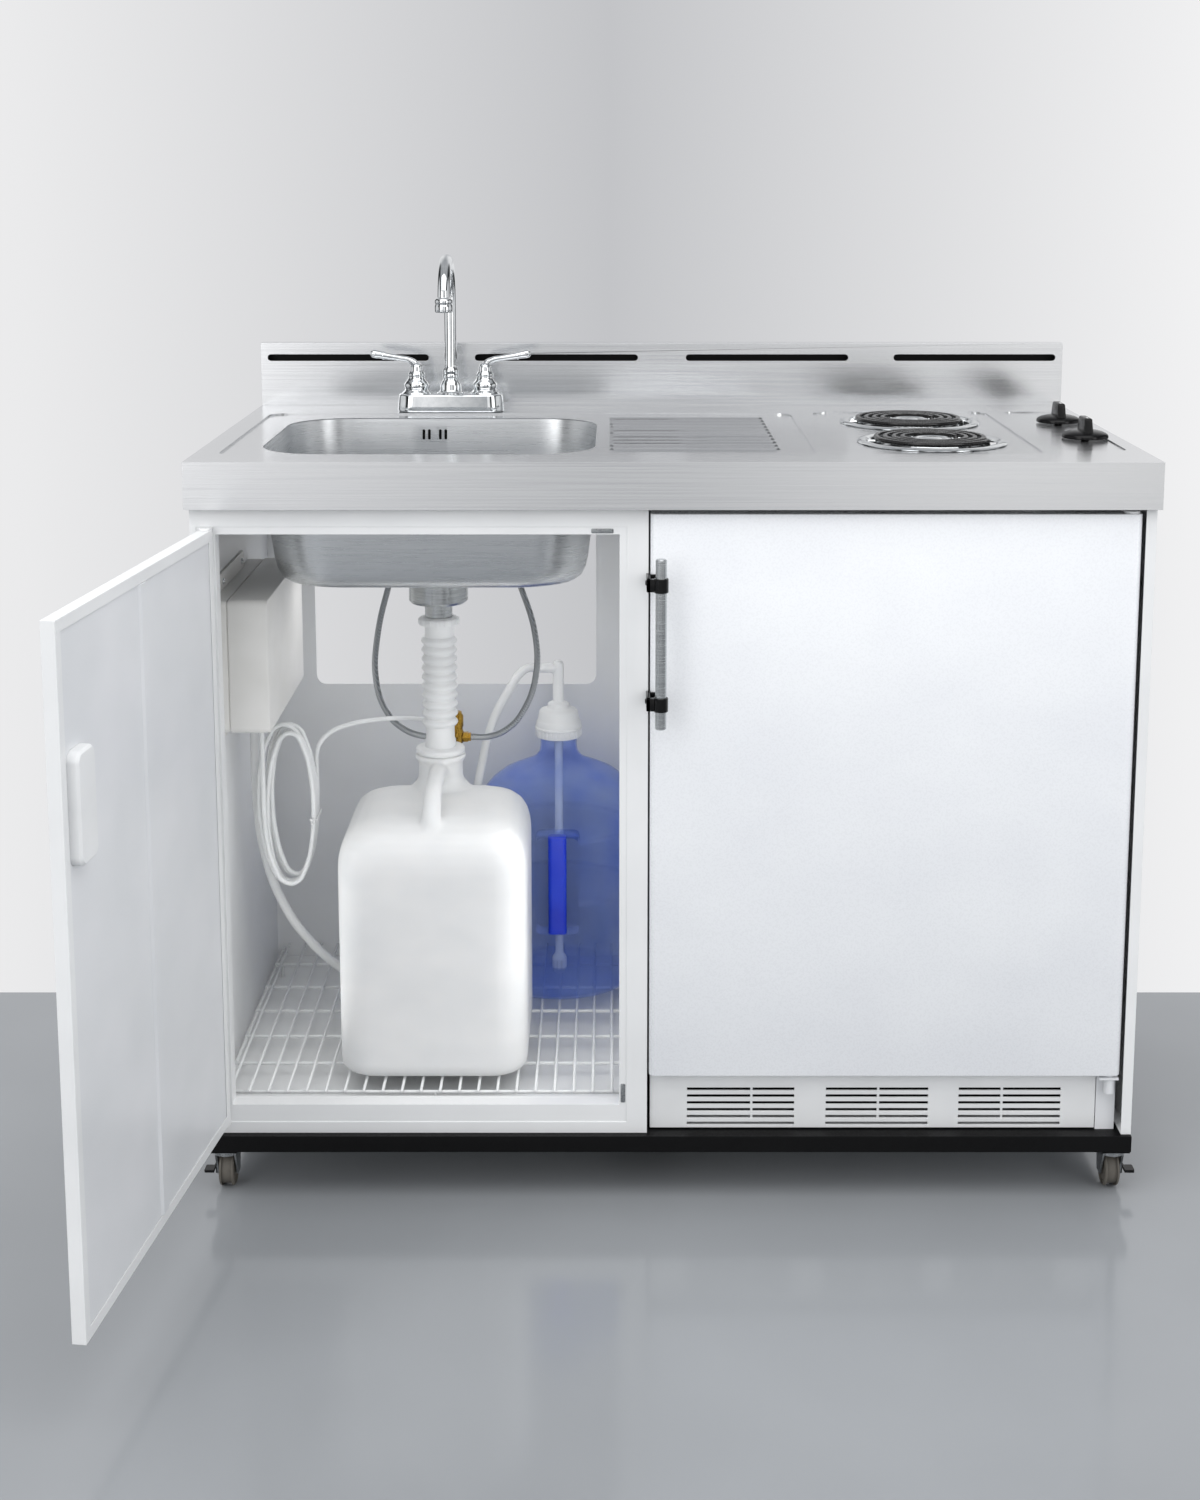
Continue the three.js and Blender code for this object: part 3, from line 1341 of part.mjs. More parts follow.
/** A shelf of close wires in a frame, carried on the liner's ledges. */
function fridgeShelf() {
  const { front, back, rim, height, wires, wire } = FRIDGE_SHELF;
  const z = SHELF_HEIGHTS[0] + GAP;
  const [x0, x1] = [CAVITY.left + 1, CAVITY.right - 1];
  const [y0, y1] = [front, CAVITY.back - back];
  const bars = [];
  for (let i = 1; i <= wires; i += 1) {
    const x = x0 + ((x1 - x0) * i) / (wires + 1);
    bars.push(box(
      [x - wire / 2, x + wire / 2],
      [y0 + rim / 2, y1 - rim / 2],
      [z + height / 6, z + (height * 2) / 3],
    ));
  }
  const frame = cut(
    box([x0, x1], [y0, y1], [z, z + height]),
    box([x0 + rim, x1 - rim], [y0 + rim, y1 - rim], [z - PAST, z + height + PAST]),
  );
  return join(frame, ...bars);
}

/** The vegetable bin on the floor of the cold space, in front of the step. */
function crisperBin() {
  const { front, height, side, wall, taper, radius } = CRISPER;
  const [x0, x1] = [CAVITY.left + side, CAVITY.right - side];
  const [y0, y1] = [front, FRIDGE_HUMP.front - side];
  const [z0, z1] = [CAVITY.bottom, CAVITY.bottom + height];
  const ring = (inset, z) => level(
    (x0 + x1) / 2,
    (y0 + y1) / 2,
    x1 - x0 - 2 * inset,
    y1 - y0 - 2 * inset,
    radius,
    z,
    3,
  );
  const bin = loft([ring(taper, z0), ring(0, z1)]);
  const hollow = loft([ring(taper + wall, z0 + wall), ring(wall, z1 + 1)]);
  return cut(bin, hollow);
}

/** The cooling dial under the roof of the cold space. */
function thermostatDial() {
  const top = CAVITY.top - GAP;
  return join(
    turned([
      [0, top - DIAL.height],
      [DIAL.radius - 3, top - DIAL.height],
      [DIAL.radius, top - DIAL.height + 3],
      [DIAL.radius, top],
      [0, top],
    ], DIAL.x, DIAL.y, 12),
    box(
      [DIAL.x - 2.5, DIAL.x + 2.5],
      [DIAL.y - DIAL.radius + 4, DIAL.y + DIAL.radius - 4],
      [top - DIAL.height - 6, top - DIAL.height + 1],
    ),
    post(DIAL.x, DIAL.y, DIAL.shaft, top - 1, CAVITY.top + 3),
  );
}

/** The hermetic compressor in the bay behind the step, on its foot plate. */
function compressor() {
  const { radius, height, plateLength, plateDepth, plateHeight } = COMPRESSOR;
  const x = (FRIDGE.left + FRIDGE.right) / 2;
  const y = (FRIDGE_HUMP.front + FRIDGE_WALL + FRIDGE.back) / 2 - COMPRESSOR.forward;
  const floor = BASE_TOP + FRIDGE_SKIN;
  return join(
    turned([
      [0, floor + plateHeight - 4],
      [radius * 0.75, floor + plateHeight - 2],
      [radius - 2, floor + plateHeight * 2],
      [radius, floor + height * 0.56],
      [radius - 4, floor + height * 0.8],
      [radius * 0.63, floor + height - 6],
      [0, floor + height],
    ], x, y, 16),
    box(
      [x - plateLength / 2, x + plateLength / 2],
      [y - plateDepth / 2, y + plateDepth / 2],
      [floor, floor + plateHeight],
    ),
  );
}

/** The louvred toe grille: a moulded front with returns, three groups of slots between ribs. */
function toeGrille() {
  const { left, right, front, bottom, top, wall } = GRILLE;
  const body = cut(
    box([left, right], [front, FRIDGE.front], [bottom, top]),
    box([left + wall, right - wall], [front + wall, FRIDGE.front + PAST], [bottom + wall, top - wall]),
  );
  const slots = [];
  for (const [from, to] of LOUVRE_GROUPS) {
    for (let row = 0; row < LOUVRE_ROWS; row += 1) {
      const z = LOUVRE_TOP - row * LOUVRE_PITCH;
      slots.push(box([left + from, left + to], [front - PAST, front + wall + 1], [z - LOUVRE_HEIGHT, z]));
    }
  }
  return cut(body, ...slots);
}

/** The lower hinge: a bracket on the plinth with the knuckle and the pin that carries the door. */
function lowerHingeBracket() {
  const [x0, x1] = [GRILLE.right + 1, FRIDGE.right];
  const { plate, knuckleRadius, knuckleLength, shelfDrop } = LOWER_HINGE;
  const shelf = FRIDGE_DOOR.bottom - shelfDrop;
  const halfDepth = knuckleRadius + 2;
  const knuckleBottom = shelf - knuckleLength;
  return join(
    box([x0, x1], [GRILLE.front, GRILLE.front + plate], [BASE_TOP, shelf]),
    box([x0, x1], [FRIDGE_PIVOT_Y - halfDepth, GRILLE.front + plate], [shelf - plate, shelf]),
    box([x1 - plate, x1], [GRILLE.front, FRIDGE.front], [BASE_TOP, shelf]),
    post(FRIDGE_PIVOT_X, FRIDGE_PIVOT_Y, knuckleRadius, knuckleBottom, shelf - 1),
    post(FRIDGE_PIVOT_X, FRIDGE_PIVOT_Y, knuckleRadius - 1, shelf - 1, FRIDGE_DOOR.bottom - GAP),
    post(
      FRIDGE_PIVOT_X,
      FRIDGE_PIVOT_Y,
      PIVOT_PIN_RADIUS,
      shelf - 1,
      FRIDGE_DOOR.bottom + PIVOT_PIN_LENGTH,
    ),
  );
}

place('fridge_shell', fridgeShell(), 'whiteEnamel');
place('fridge_liner', fridgeLiner(), 'whitePlastic');
place('fridge_shelf', fridgeShelf(), 'whiteEnamel');
place('crisper_bin', crisperBin(), 'clearPlastic');
place('thermostat_dial', thermostatDial(), 'whitePlastic');
place('compressor', compressor(), 'blackPaint');
place('toe_grille', toeGrille(), 'whitePlastic');
place('lower_hinge_bracket', lowerHingeBracket(), 'zinc');

// ---------------------------------------------------------------- refrigerator door

/** The door's plan: square at the back, with round front corners. */
function doorPlan(inset, back) {
  const { left, right, front } = FRIDGE_DOOR;
  const [x0, x1, y0, r] = [left + inset, right - inset, front + inset, FRIDGE_DOOR_RADIUS - inset];
  const shape = new THREE.Shape();
  shape.moveTo(x1, back);
  shape.lineTo(x0, back);
  shape.absarc(x0 + r, y0 + r, r, Math.PI, Math.PI * 1.5);
  shape.absarc(x1 - r, y0 + r, r, -Math.PI / 2, 0);
  shape.closePath();
  return shape;
}

function fridgeDoor() {
  const { front, bottom, top } = FRIDGE_DOOR;
  const back = front + FRIDGE_DOOR_THICKNESS;
  const skin = 1.5;
  const pinHole = PIVOT_PIN_RADIUS + GAP;
  return cut(
    raised(doorPlan(0, back), bottom, top),
    raised(doorPlan(skin, back + PAST), bottom + skin, top - skin),
    post(FRIDGE_PIVOT_X, FRIDGE_PIVOT_Y, pinHole, bottom - PAST, bottom + PAST),
    post(FRIDGE_PIVOT_X, FRIDGE_PIVOT_Y, pinHole, top - PAST, top + PAST),
  );
}

/** The door's moulded inner skin with three bins. */
function fridgeDoorLiner() {
  const { left, right, front, bottom, top } = FRIDGE_DOOR;
  const { heights, rises, depth, wall, side } = FRIDGE_BIN;
  const face = front + FRIDGE_DOOR_THICKNESS;
  const plateBack = face + LINER;
  const plate = box([left + 2, right - 2], [face, plateBack], [bottom + 2, top - 2]);
  const [x0, x1] = [CAVITY.left + side, CAVITY.right - side];
  const bins = heights.map((z0, i) => cut(
    box([x0, x1], [plateBack - 1, plateBack + depth], [z0, z0 + rises[i]]),
    box(
      [x0 + wall, x1 - wall],
      [plateBack, plateBack + depth - wall],
      [z0 + wall, z0 + rises[i] + PAST],
    ),
  ));
  return join(plate, ...bins);
}

/** The magnetic seal round the door's inner skin. */
function doorGasket() {
  const { left, bottom, top, front } = FRIDGE_DOOR;
  const [x0, x1] = [left + 8, FRIDGE_PIVOT_X - 1];
  const [y0, y1] = [front + FRIDGE_DOOR_THICKNESS + LINER, FRIDGE.front - GAP];
  const [z0, z1] = [bottom + GASKET_INSET, FRIDGE.top - 4];
  return cut(
    box([x0, x1], [y0, y1], [z0, z1]),
    box(
      [x0 + GASKET_WIDTH, x1 - GASKET_WIDTH],
      [y0 - PAST, y1 + PAST],
      [z0 + GASKET_WIDTH, z1 - GASKET_WIDTH],
    ),
  );
}

/** The bar handle on its two clamps, which hook round the door's left edge. */
function fridgeHandle() {
  const { x, standoff, radius, bottom, top, mounts, clampHeight } = HANDLE;
  const y = FRIDGE_DOOR.front - standoff + radius;
  const edge = FRIDGE_DOOR.left - GAP;
  const { front } = FRIDGE_DOOR;
  const hook = 5;
  const foot = 4;
  const halfArm = radius - 1;
  const clamp = polygon(
    [edge - hook, y - halfArm],
    [x, y - halfArm],
    [x, y + halfArm],
    [edge, y + halfArm],
    [edge, front - foot],
    [x - 2, front - foot],
    [x - 2, front - GAP],
    [edge, front - GAP],
    [edge, front + halfArm],
    [edge - hook, front + halfArm],
  );
  const clamps = mounts.map((z) => raised(clamp, z - clampHeight / 2, z + clampHeight / 2));
  const rim = 1.5;
  const bar = turned([
    [0, bottom],
    [radius - rim, bottom],
    [radius, bottom + rim],
    [radius, top - rim],
    [radius - rim, top],
    [0, top],
  ], x, y, 12);
  return join(bar, ...clamps);
}

place('fridge_door', fridgeDoor(), 'whiteEnamel');
place('fridge_door_liner', fridgeDoorLiner(), 'whitePlastic');
place('door_gasket', doorGasket(), 'gasket');
place('fridge_handle', fridgeHandle(), 'brushedSteel');

// ---------------------------------------------------------------- casters

/** A swivel fork: the bearing cup under the plate, the bridge, two legs and the axle. */
function casterFork(x, y, outward) {
  const top = BASE_BOTTOM - CASTER_PLATE - GAP;
  const inner = WHEEL_WIDTH / 2 + 1.5;
  const leg = 2.5;
  const bridge = 2 * WHEEL_RADIUS + 1.5;
  const axleY = y + CASTER_TRAIL;
  const side = polygon(
    [y - 12, bridge + 2],
    [y + 26, bridge + 2],
    [axleY + 8, WHEEL_RADIUS - 7],
    [axleY - 8, WHEEL_RADIUS - 7],
  );
  const stud = inner + leg + 3.5;
  return join(
    post(x, y, CASTER_CUP_RADIUS, bridge, top, 10),
    box([x - inner - leg, x + inner + leg], [y - 12, y + 26], [bridge, bridge + 2.5]),
    alongX(side, x - inner - leg, x - inner),
    alongX(side, x + inner, x + inner + leg),
    barAlongX(
      x - (outward < 0 ? stud : inner + leg / 2),
      x + (outward > 0 ? stud : inner + leg / 2),
      axleY,
      WHEEL_RADIUS,
      AXLE_RADIUS,
      8,
    ),
  );
}

/** A wheel with a rounded tread and its bore. */
function casterWheel(x, y) {
  const half = WHEEL_WIDTH / 2;
  const bore = AXLE_RADIUS + GAP;
  const wheel = turnedRing([
    [bore, -half],
    [WHEEL_RADIUS - 3, -half],
    [WHEEL_RADIUS, 3 - half],
    [WHEEL_RADIUS, half - 3],
    [WHEEL_RADIUS - 3, half],
    [bore, half],
  ], 0, 0, 16);
  return wheel.rotateY(Math.PI / 2).translate(x, y + CASTER_TRAIL, WHEEL_RADIUS);
}

/** A brake pedal on the axle's outer end: a plate beside the leg with a foot tab in front. */
function brakePedal(x, y, outward) {
  const inner = WHEEL_WIDTH / 2 + 1.5 + 2.5 + GAP;
  const plate = 2;
  const axleY = y + CASTER_TRAIL;
  const spanX = (from, to) => (outward > 0 ? [x + from, x + to] : [x - to, x - from]);
  const [x0, x1] = spanX(inner, inner + plate);
  const [t0, t1] = spanX(inner, inner + PEDAL.width);
  const tip = axleY - PEDAL.reach;
  const top = WHEEL_RADIUS + PEDAL.rise;
  const side = polygon(
    [axleY - 7, WHEEL_RADIUS - 7],
    [axleY + 7, WHEEL_RADIUS - 7],
    [axleY + 7, WHEEL_RADIUS + 7],
    [axleY - 6, top],
    [tip, top],
    [tip, top - PEDAL.thickness],
    [axleY - 10, top - PEDAL.thickness],
  );
  const tab = roundedRectangle(t0, t1, tip, tip + PEDAL.tread, 1.5);
  return cut(
    join(alongX(side, x0, x1), raised(tab, top - PEDAL.thickness, top, 0, 1)),
    barAlongX(x0 - PAST, x1 + PAST, axleY, WHEEL_RADIUS, AXLE_RADIUS + GAP),
  );
}

for (const [end, y] of Object.entries(CASTER_YS)) {
  for (const [side, outward] of [['left', -1], ['right', 1]]) {
    const x = outward * CASTER_X;
    place(`${end}_${side}_fork`, casterFork(x, y, end === 'front' ? outward : 0), 'zinc');
    place(`${end}_${side}_wheel`, casterWheel(x, y), 'wheelRubber');
  }
}
for (const [side, outward] of [['left', -1], ['right', 1]]) {
  place(`${side}_brake_pedal`, brakePedal(outward * CASTER_X, CASTER_YS.front, outward), 'blackPlastic');
}

// ---------------------------------------------------------------- waste jug and water bottle

/** The waste jug: a blow-moulded box with soft shoulders, a neck at the back and a hollowed grip. */
function wasteJug() {
  const { y, width, depth, radius, shoulder, top, wall } = JUG;
  const bottom = SHELF_TOP + GAP;
  const ring = (inset, z) => level(
    SINK.x,
    y,
    width - 2 * inset,
    depth - 2 * inset,
    Math.max(radius - inset * 0.4, 20),
    z,
    3,
  );
  const profile = [
    [14, bottom],
    [0, bottom + 14],
    [0, shoulder],
    [6, shoulder + 24],
    [22, shoulder + 40],
    [60, top],
  ];
  const outer = loft(profile.map(([inset, z]) => ring(inset, z)));
  const inner = loft(profile.map(([inset, z]) => ring(inset + wall, z < shoulder ? z + wall : z - wall)));
  const neck = JUG_NECK;
  const neckBody = turned([
    [0, top - 10],
    [neck.radius + 14, top - 8],
    [neck.radius, top + 14],
    [neck.radius, neck.top - 8],
    [neck.radius + 4, neck.top - 8],
    [neck.radius + 4, neck.top],
    [0, neck.top],
  ], SINK.x, neck.y, 12);
  const front = y - depth / 2;
  const gripRadius = 12;
  const grip = tube([
    [SINK.x, front + 34, top - 24],
    [SINK.x, front + 46, top + 12],
    [SINK.x, front + 68, top + 30],
    [SINK.x, front + 110, top + 35],
    [SINK.x, neck.y - neck.radius - 8, top + 33],
    [SINK.x, neck.y - neck.radius + 6, top + 28],
  ].map(at), gripRadius * 2, 12, 8);
  const bore = post(SINK.x, neck.y, neck.radius - neck.wall, top - 14, neck.top + PAST);
  return cut(join(outer, neckBody, grip), inner, bore);
}

/** The water bottle: a turned shell with two grooves and a grip pocket moulded in its front. */
function waterBottle() {
  const { x, y, radius, wall, neckRadius, neckTop } = BOTTLE;
  const bottom = SHELF_TOP + GAP;
  const { top: gripTop, bottom: gripBottom } = BOTTLE_GRIP;
  const groove = 5;
  const side = [
    [radius - 18, bottom],
    [radius - 5, bottom + 7],
    [radius, bottom + 30],
  ];
  for (const z of [gripBottom + 37, gripTop - 14]) {
    side.push([radius, z - 12], [radius - groove, z], [radius, z + 12]);
  }
  side.push(
    [radius, 400],
    [radius - 8, 424],
    [radius - 36, 449],
    [neckRadius + 14, 467],
    [neckRadius, 482],
  );
  const outer = turned([[0, bottom], ...side, [neckRadius, neckTop], [0, neckTop]], x, y, BOTTLE_SEGMENTS);
  const straight = radius - groove - wall;
  const innerSide = side
    .filter(([, z]) => z < gripBottom || z > gripTop + 12)
    .map(([r, z]) => [Math.min(r - wall, straight), z < gripBottom ? z + wall : z]);
  const inner = turned(
    [[0, bottom + wall], ...innerSide, [neckRadius - wall, neckTop + PAST], [0, neckTop + PAST]],
    x,
    y,
    BOTTLE_SEGMENTS,
  );
  const half = BOTTLE_GRIP.width / 2;
  const front = y - radius;
  const deep = front + BOTTLE_GRIP.recess;
  const pocket = (grow) => box(
    [x - half - grow, x + half + grow],
    [front - 2 * PAST, deep + grow],
    [gripBottom - grow, gripTop + grow],
  );
  const bar = raised(
    roundedRectangle(x - BOTTLE_GRIP.bar / 2, x + BOTTLE_GRIP.bar / 2, front + 2, front + 18, 7),
    gripBottom - 3,
    gripTop + 3,
    0,
    3,
  );
  return join(cut(outer, cut(inner, pocket(wall)), pocket(0)), bar);
}

/** The bottle's cap: a skirt round the neck, a stepped crown, a riser and an elbow to the left. */
function bottleCap() {
  const { x, y, neckRadius, neckTop } = BOTTLE;
  const { radius, height, riserRadius, elbowHeight, elbowReach } = CAP;
  const skirtBottom = neckTop - 14;
  const inner = neckRadius + GAP;
  const body = turned([
    [inner, skirtBottom],
    [radius, skirtBottom],
    [radius + 2, skirtBottom + 12],
    [radius, skirtBottom + 22],
    [radius - 5, skirtBottom + height - 10],
    [riserRadius + 8, skirtBottom + height],
    [riserRadius, skirtBottom + height + 4],
    [riserRadius, elbowHeight + 10],
    [riserRadius - 3, elbowHeight + 12],
    [0, elbowHeight + 12],
    [0, neckTop + GAP],
    [inner, neckTop + GAP],
    [inner, skirtBottom],
  ], x, y, BOTTLE_SEGMENTS);
  return join(body, barAlongX(x - elbowReach, x, y, elbowHeight, riserRadius - 0.5, 12));
}

/** The dip tube with its foot strainer, from the cap to the bottom of the bottle. */
function dipTube() {
  const { x, y, neckTop } = BOTTLE;
  const bottom = SHELF_TOP + GAP + BOTTLE.wall + GAP;
  return turned([
    [0, bottom],
    [9, bottom],
    [11, bottom + 6],
    [11, bottom + 24],
    [6, bottom + 32],
    [6, neckTop],
    [0, neckTop],
  ], x, y, 10);
}

place('waste_jug', wasteJug(), 'naturalPlastic');
place('water_bottle', waterBottle(), 'bluePlastic');
place('bottle_cap', bottleCap(), 'whitePlastic');
place('dip_tube', dipTube(), 'whitePlastic');

// ---------------------------------------------------------------- pump, hoses and tee

/** The pump's moulded housing with a screw flange above and below. */
function pumpHousing() {
  const { left, right, front, back, bottom, top, flange } = PUMP;
  const body = alongX(roundedRectangle(front, back, bottom, top, 8), left, right, 3, 2);
  const plates = [[top - 2, top + flange], [bottom - flange, bottom + 2]];
  return join(body, ...plates.map(([z0, z1]) => box([left, left + 4], [front + 60, back - 60], [z0, z1])));
}

/** The brass tee between the two supply hoses and the pump's tube. */
function supplyTee() {
  const { x, y, portHeight, inletRise, port, inlet, collar } = TEE;
  const bottom = portHeight - 10;
  const inletHeight = portHeight + inletRise;
  const top = inletHeight + 14;
  return join(
    turned([[0, bottom], [6, bottom], [8.5, bottom + collar], [8.5, top - 6], [6, top], [0, top]], x, y, 10),
    barAlongX(x - port, x + port, y, portHeight, 7, 8),
    barAlongX(x - inlet, x, y, inletHeight, 5.5, 8),
  );
}

const SHANK_XS = { hot: FAUCET.x - FAUCET.pitch / 2, cold: FAUCET.x + FAUCET.pitch / 2 };

const HOT_HOSE_ROUTE = [
  [SHANK_XS.hot, FAUCET.y, SHANK_BOTTOM - GAP],
  [SHANK_XS.hot, FAUCET.y, 905],
  [-369, 538, 870],
  [-385, 520, 800],
  [-407, 482, 725],
  [-420, 440, 660],
  [-419, 400, 605],
  [-402, 368, 566],
  [-372, 342, 544],
  [-338, TEE.y, TEE.portHeight],
  [TEE.x - TEE.port - GAP, TEE.y, TEE.portHeight],
];

const COLD_HOSE_ROUTE = [
  [SHANK_XS.cold, FAUCET.y, SHANK_BOTTOM - GAP],
  [SHANK_XS.cold, FAUCET.y, 905],
  [-261, 538, 870],
  [-243, 520, 800],
  [-212, 475, 730],
  [-188, 425, 665],
  [-186, 392, 612],
  [-201, 364, 570],
  [-226, 342, 545],
  [-254, TEE.y, TEE.portHeight],
  [TEE.x + TEE.port + GAP, TEE.y, TEE.portHeight],
];

const SUCTION_ROUTE = [
  [BOTTLE.x - CAP.elbowReach - GAP, BOTTLE.y, CAP.elbowHeight],
  [BOTTLE.x - CAP.elbowReach - SUCTION_HOSE, BOTTLE.y, CAP.elbowHeight],
  [-212, 457, 598],
  [-228, 448, 575],
  [-250, 428, 535],
  [-267, 402, 470],
  [-278, 378, 400],
  [-288, 366, 320],
  [-306, 360, 245],
  [-336, 358, 185],
  [-380, 356, 155],
  [-425, 350, 156],
  [-465, 334, 185],
  [-510, 314, 236],
  [-546, 298, 300],
  [-568, 287, 375],
  [-577, 281, 460],
  [-577, 280, 540],
  [-577, 280, 575],
  [-577, 280, PUMP.bottom - GAP],
];

/** The tube's hank: five and a half long loops side by side, entered and left along their sides. */
function hankPath() {
  const { x, y, z, halfWidth, halfHeight, turns, pitch, steps } = HANK;
  const points = [
    at([x - halfWidth, y, PUMP.bottom - GAP]),
    at([x - halfWidth, y, PUMP.bottom - GAP - DISCHARGE_TUBE]),
    at([x - halfWidth, y, z + 70]),
    at([x - halfWidth, y, z + 30]),
  ];
  const count = Math.round(turns * steps);
  for (let i = 0; i <= count; i += 1) {
    const angle = Math.PI + (i / steps) * Math.PI * 2;
    points.push(at([
      x + halfWidth * Math.cos(angle),
      y + (i / steps) * pitch,
      z + halfHeight * Math.sin(angle),
    ]));
  }
  const last = y + turns * pitch;
  points.push(
    at([x + halfWidth, last, z + 30]),
    at([x + halfWidth, last, HANK_END - DISCHARGE_TUBE]),
    at([x + halfWidth, last, HANK_END]),
  );
  return points;
}

const HANK_END = HANK.z + 50;

const DISCHARGE_ROUTE = [
  [HANK.x + HANK.halfWidth, HANK.y + HANK.turns * HANK.pitch, HANK_END + GAP],
  [HANK.x + HANK.halfWidth, HANK.y + HANK.turns * HANK.pitch, HANK_END + 14],
  [-484, 268, 545],
  [-468, 274, 560],
  [-442, 284, 568],
  [-405, 298, 571],
  [-372, 312, 569],
  [-346, 324, 564],
  [-330, TEE.y, TEE.portHeight + TEE.inletRise],
  [TEE.x - TEE.inlet - GAP, TEE.y, TEE.portHeight + TEE.inletRise],
];

function dischargeHank() {
  const points = hankPath();
  console.log(`discharge hank: least gap ${leastGap(points, DISCHARGE_TUBE).toFixed(1)} mm`);
  return tube(points, DISCHARGE_TUBE, points.length - 3, 5);
}

place('pump_housing', pumpHousing(), 'creamPlastic');
place('supply_tee', supplyTee(), 'brass');
place('hot_supply_hose', tube(HOT_HOSE_ROUTE.map(at), SUPPLY_HOSE, 20), 'satinSteel');
place('cold_supply_hose', tube(COLD_HOSE_ROUTE.map(at), SUPPLY_HOSE, 20), 'satinSteel');
place('suction_hose', tube(SUCTION_ROUTE.map(at), SUCTION_HOSE, 30), 'whitePlastic');
place('discharge_hank', dischargeHank(), 'whitePlastic');
place('discharge_run', tube(DISCHARGE_ROUTE.map(at), DISCHARGE_TUBE, 15), 'whitePlastic');

// ---------------------------------------------------------------- origin at the middle of the foot

const bounds = new THREE.Box3().setFromObject(unit);
const middle = bounds.getCenter(new THREE.Vector3());
unit.position.set(-middle.x, -middle.y, -bounds.min.z);
unit.updateMatrixWorld(true);

export default unit;
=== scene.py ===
"""Looks of a wheeled kitchenette: steel top with sink and hob, bottled-water bay and refrigerator.

Sizes are millimetres on the unit's plan, as a fitter reads them: X from the middle of the worktop to the
right, Y from the front apron to the back, Z up from the floor. at() turns them into the frame's metres.
"""

import json
import logging
import math
from collections.abc import Callable, Iterator, Sequence
from contextlib import contextmanager
from dataclasses import dataclass
from enum import Enum
from itertools import pairwise

import bpy
from mathutils import Matrix, Vector


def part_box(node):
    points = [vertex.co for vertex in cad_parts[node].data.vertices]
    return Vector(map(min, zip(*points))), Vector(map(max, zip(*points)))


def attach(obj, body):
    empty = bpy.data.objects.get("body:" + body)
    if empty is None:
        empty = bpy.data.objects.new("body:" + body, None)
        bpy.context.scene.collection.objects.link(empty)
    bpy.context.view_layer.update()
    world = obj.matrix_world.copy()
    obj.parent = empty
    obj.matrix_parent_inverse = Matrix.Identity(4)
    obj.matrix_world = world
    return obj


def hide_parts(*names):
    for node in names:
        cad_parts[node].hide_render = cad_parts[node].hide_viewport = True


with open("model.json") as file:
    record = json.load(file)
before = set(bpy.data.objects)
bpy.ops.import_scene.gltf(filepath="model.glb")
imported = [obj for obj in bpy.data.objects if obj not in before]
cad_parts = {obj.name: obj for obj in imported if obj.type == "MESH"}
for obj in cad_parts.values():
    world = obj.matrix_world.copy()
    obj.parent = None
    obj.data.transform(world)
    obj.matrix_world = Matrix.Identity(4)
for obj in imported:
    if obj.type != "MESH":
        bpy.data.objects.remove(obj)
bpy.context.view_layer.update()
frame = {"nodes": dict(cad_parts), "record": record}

LOG = logging.getLogger("kitchenette")
MM = 0.001
WORKTOP_DEPTH = 635.0
FULL_TURN = 2 * math.pi
MERGE_MM = 0.01  # corners nearer than this are one
SMOOTH_DEGREES = 35.0  # edges sharper than this stay crisp
FLAT_DEGREES = 1.0  # faces that turn less than this are one
LEVEL = 0.9  # a direction whose share along an axis is more than this lies along it
NOISE_LOW, NOISE_HIGH = 0.32, 0.68  # nearly all of a noise pattern lies between these
SKIN_DEPTH_M = 0.006  # how deep light soaks into milky plastic

Object = bpy.types.Object
Tree = bpy.types.NodeTree
Socket = bpy.types.NodeSocket
Point = tuple[float, float, float]
Pair = tuple[float, float]
Profile = Sequence[Pair]
Settings = dict[str | int, object]
Links = dict[str | int, Socket]


def plan_origin() -> Vector:
    """Finds the plan's origin in the frame, from the splash guard's middle and back.

    Returns:
        The place of plan point 0, 0, 0 in metres.
    """
    low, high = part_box("backguard")
    return Vector(((low.x + high.x) / 2, high.y - WORKTOP_DEPTH * MM, 0.0))


ORIGIN = plan_origin()


def at(x: float, y: float, z: float) -> Vector:
    """Turns a plan point in millimetres into a frame point in metres.

    Args:
        x: Distance to the right of the worktop's middle.
        y: Distance behind the front apron.
        z: Height above the floor.

    Returns:
        The point in metres.
    """
    return ORIGIN + Vector((x, y, z)) * MM


class Axis(Enum):
    """A direction of the frame."""

    X = (1.0, 0.0, 0.0)
    Y = (0.0, 1.0, 0.0)
    Z = (0.0, 0.0, 1.0)


# ---------------------------------------------------------------- shader parts


def linear(hex_colour: str) -> tuple[float, float, float, float]:
    """Turns an sRGB hex value into linear light.

    Args:
        hex_colour: Six hex digits after a hash.

    Returns:
        Red, green, blue and an alpha of 1.
    """
    channels = [int(hex_colour[i : i + 2], 16) / 255 for i in (1, 3, 5)]
    light = [c / 12.92 if c <= 0.04045 else ((c + 0.055) / 1.055) ** 2.4 for c in channels]
    return (light[0], light[1], light[2], 1.0)


def add_node(
    tree: Tree, kind: str, settings: Settings | None = None, links: Links | None = None
) -> bpy.types.Node:
    """Adds one shader node with its settings and its links.

    Args:
        tree: The material's or the world's node tree.
        kind: The node's type name after ShaderNode.
        settings: Values for its inputs, or for its own properties where no input has the name.
        links: Sockets that feed its inputs.

    Returns:
        The new node.
    """
    node = tree.nodes.new(f"ShaderNode{kind}")
    for key, value in (settings or {}).items():
        if isinstance(key, int) or key in node.inputs:
            node.inputs[key].default_value = value
        else:
            setattr(node, key, value)
    for key, socket in (links or {}).items():
        tree.links.new(socket, node.inputs[key])
    return node


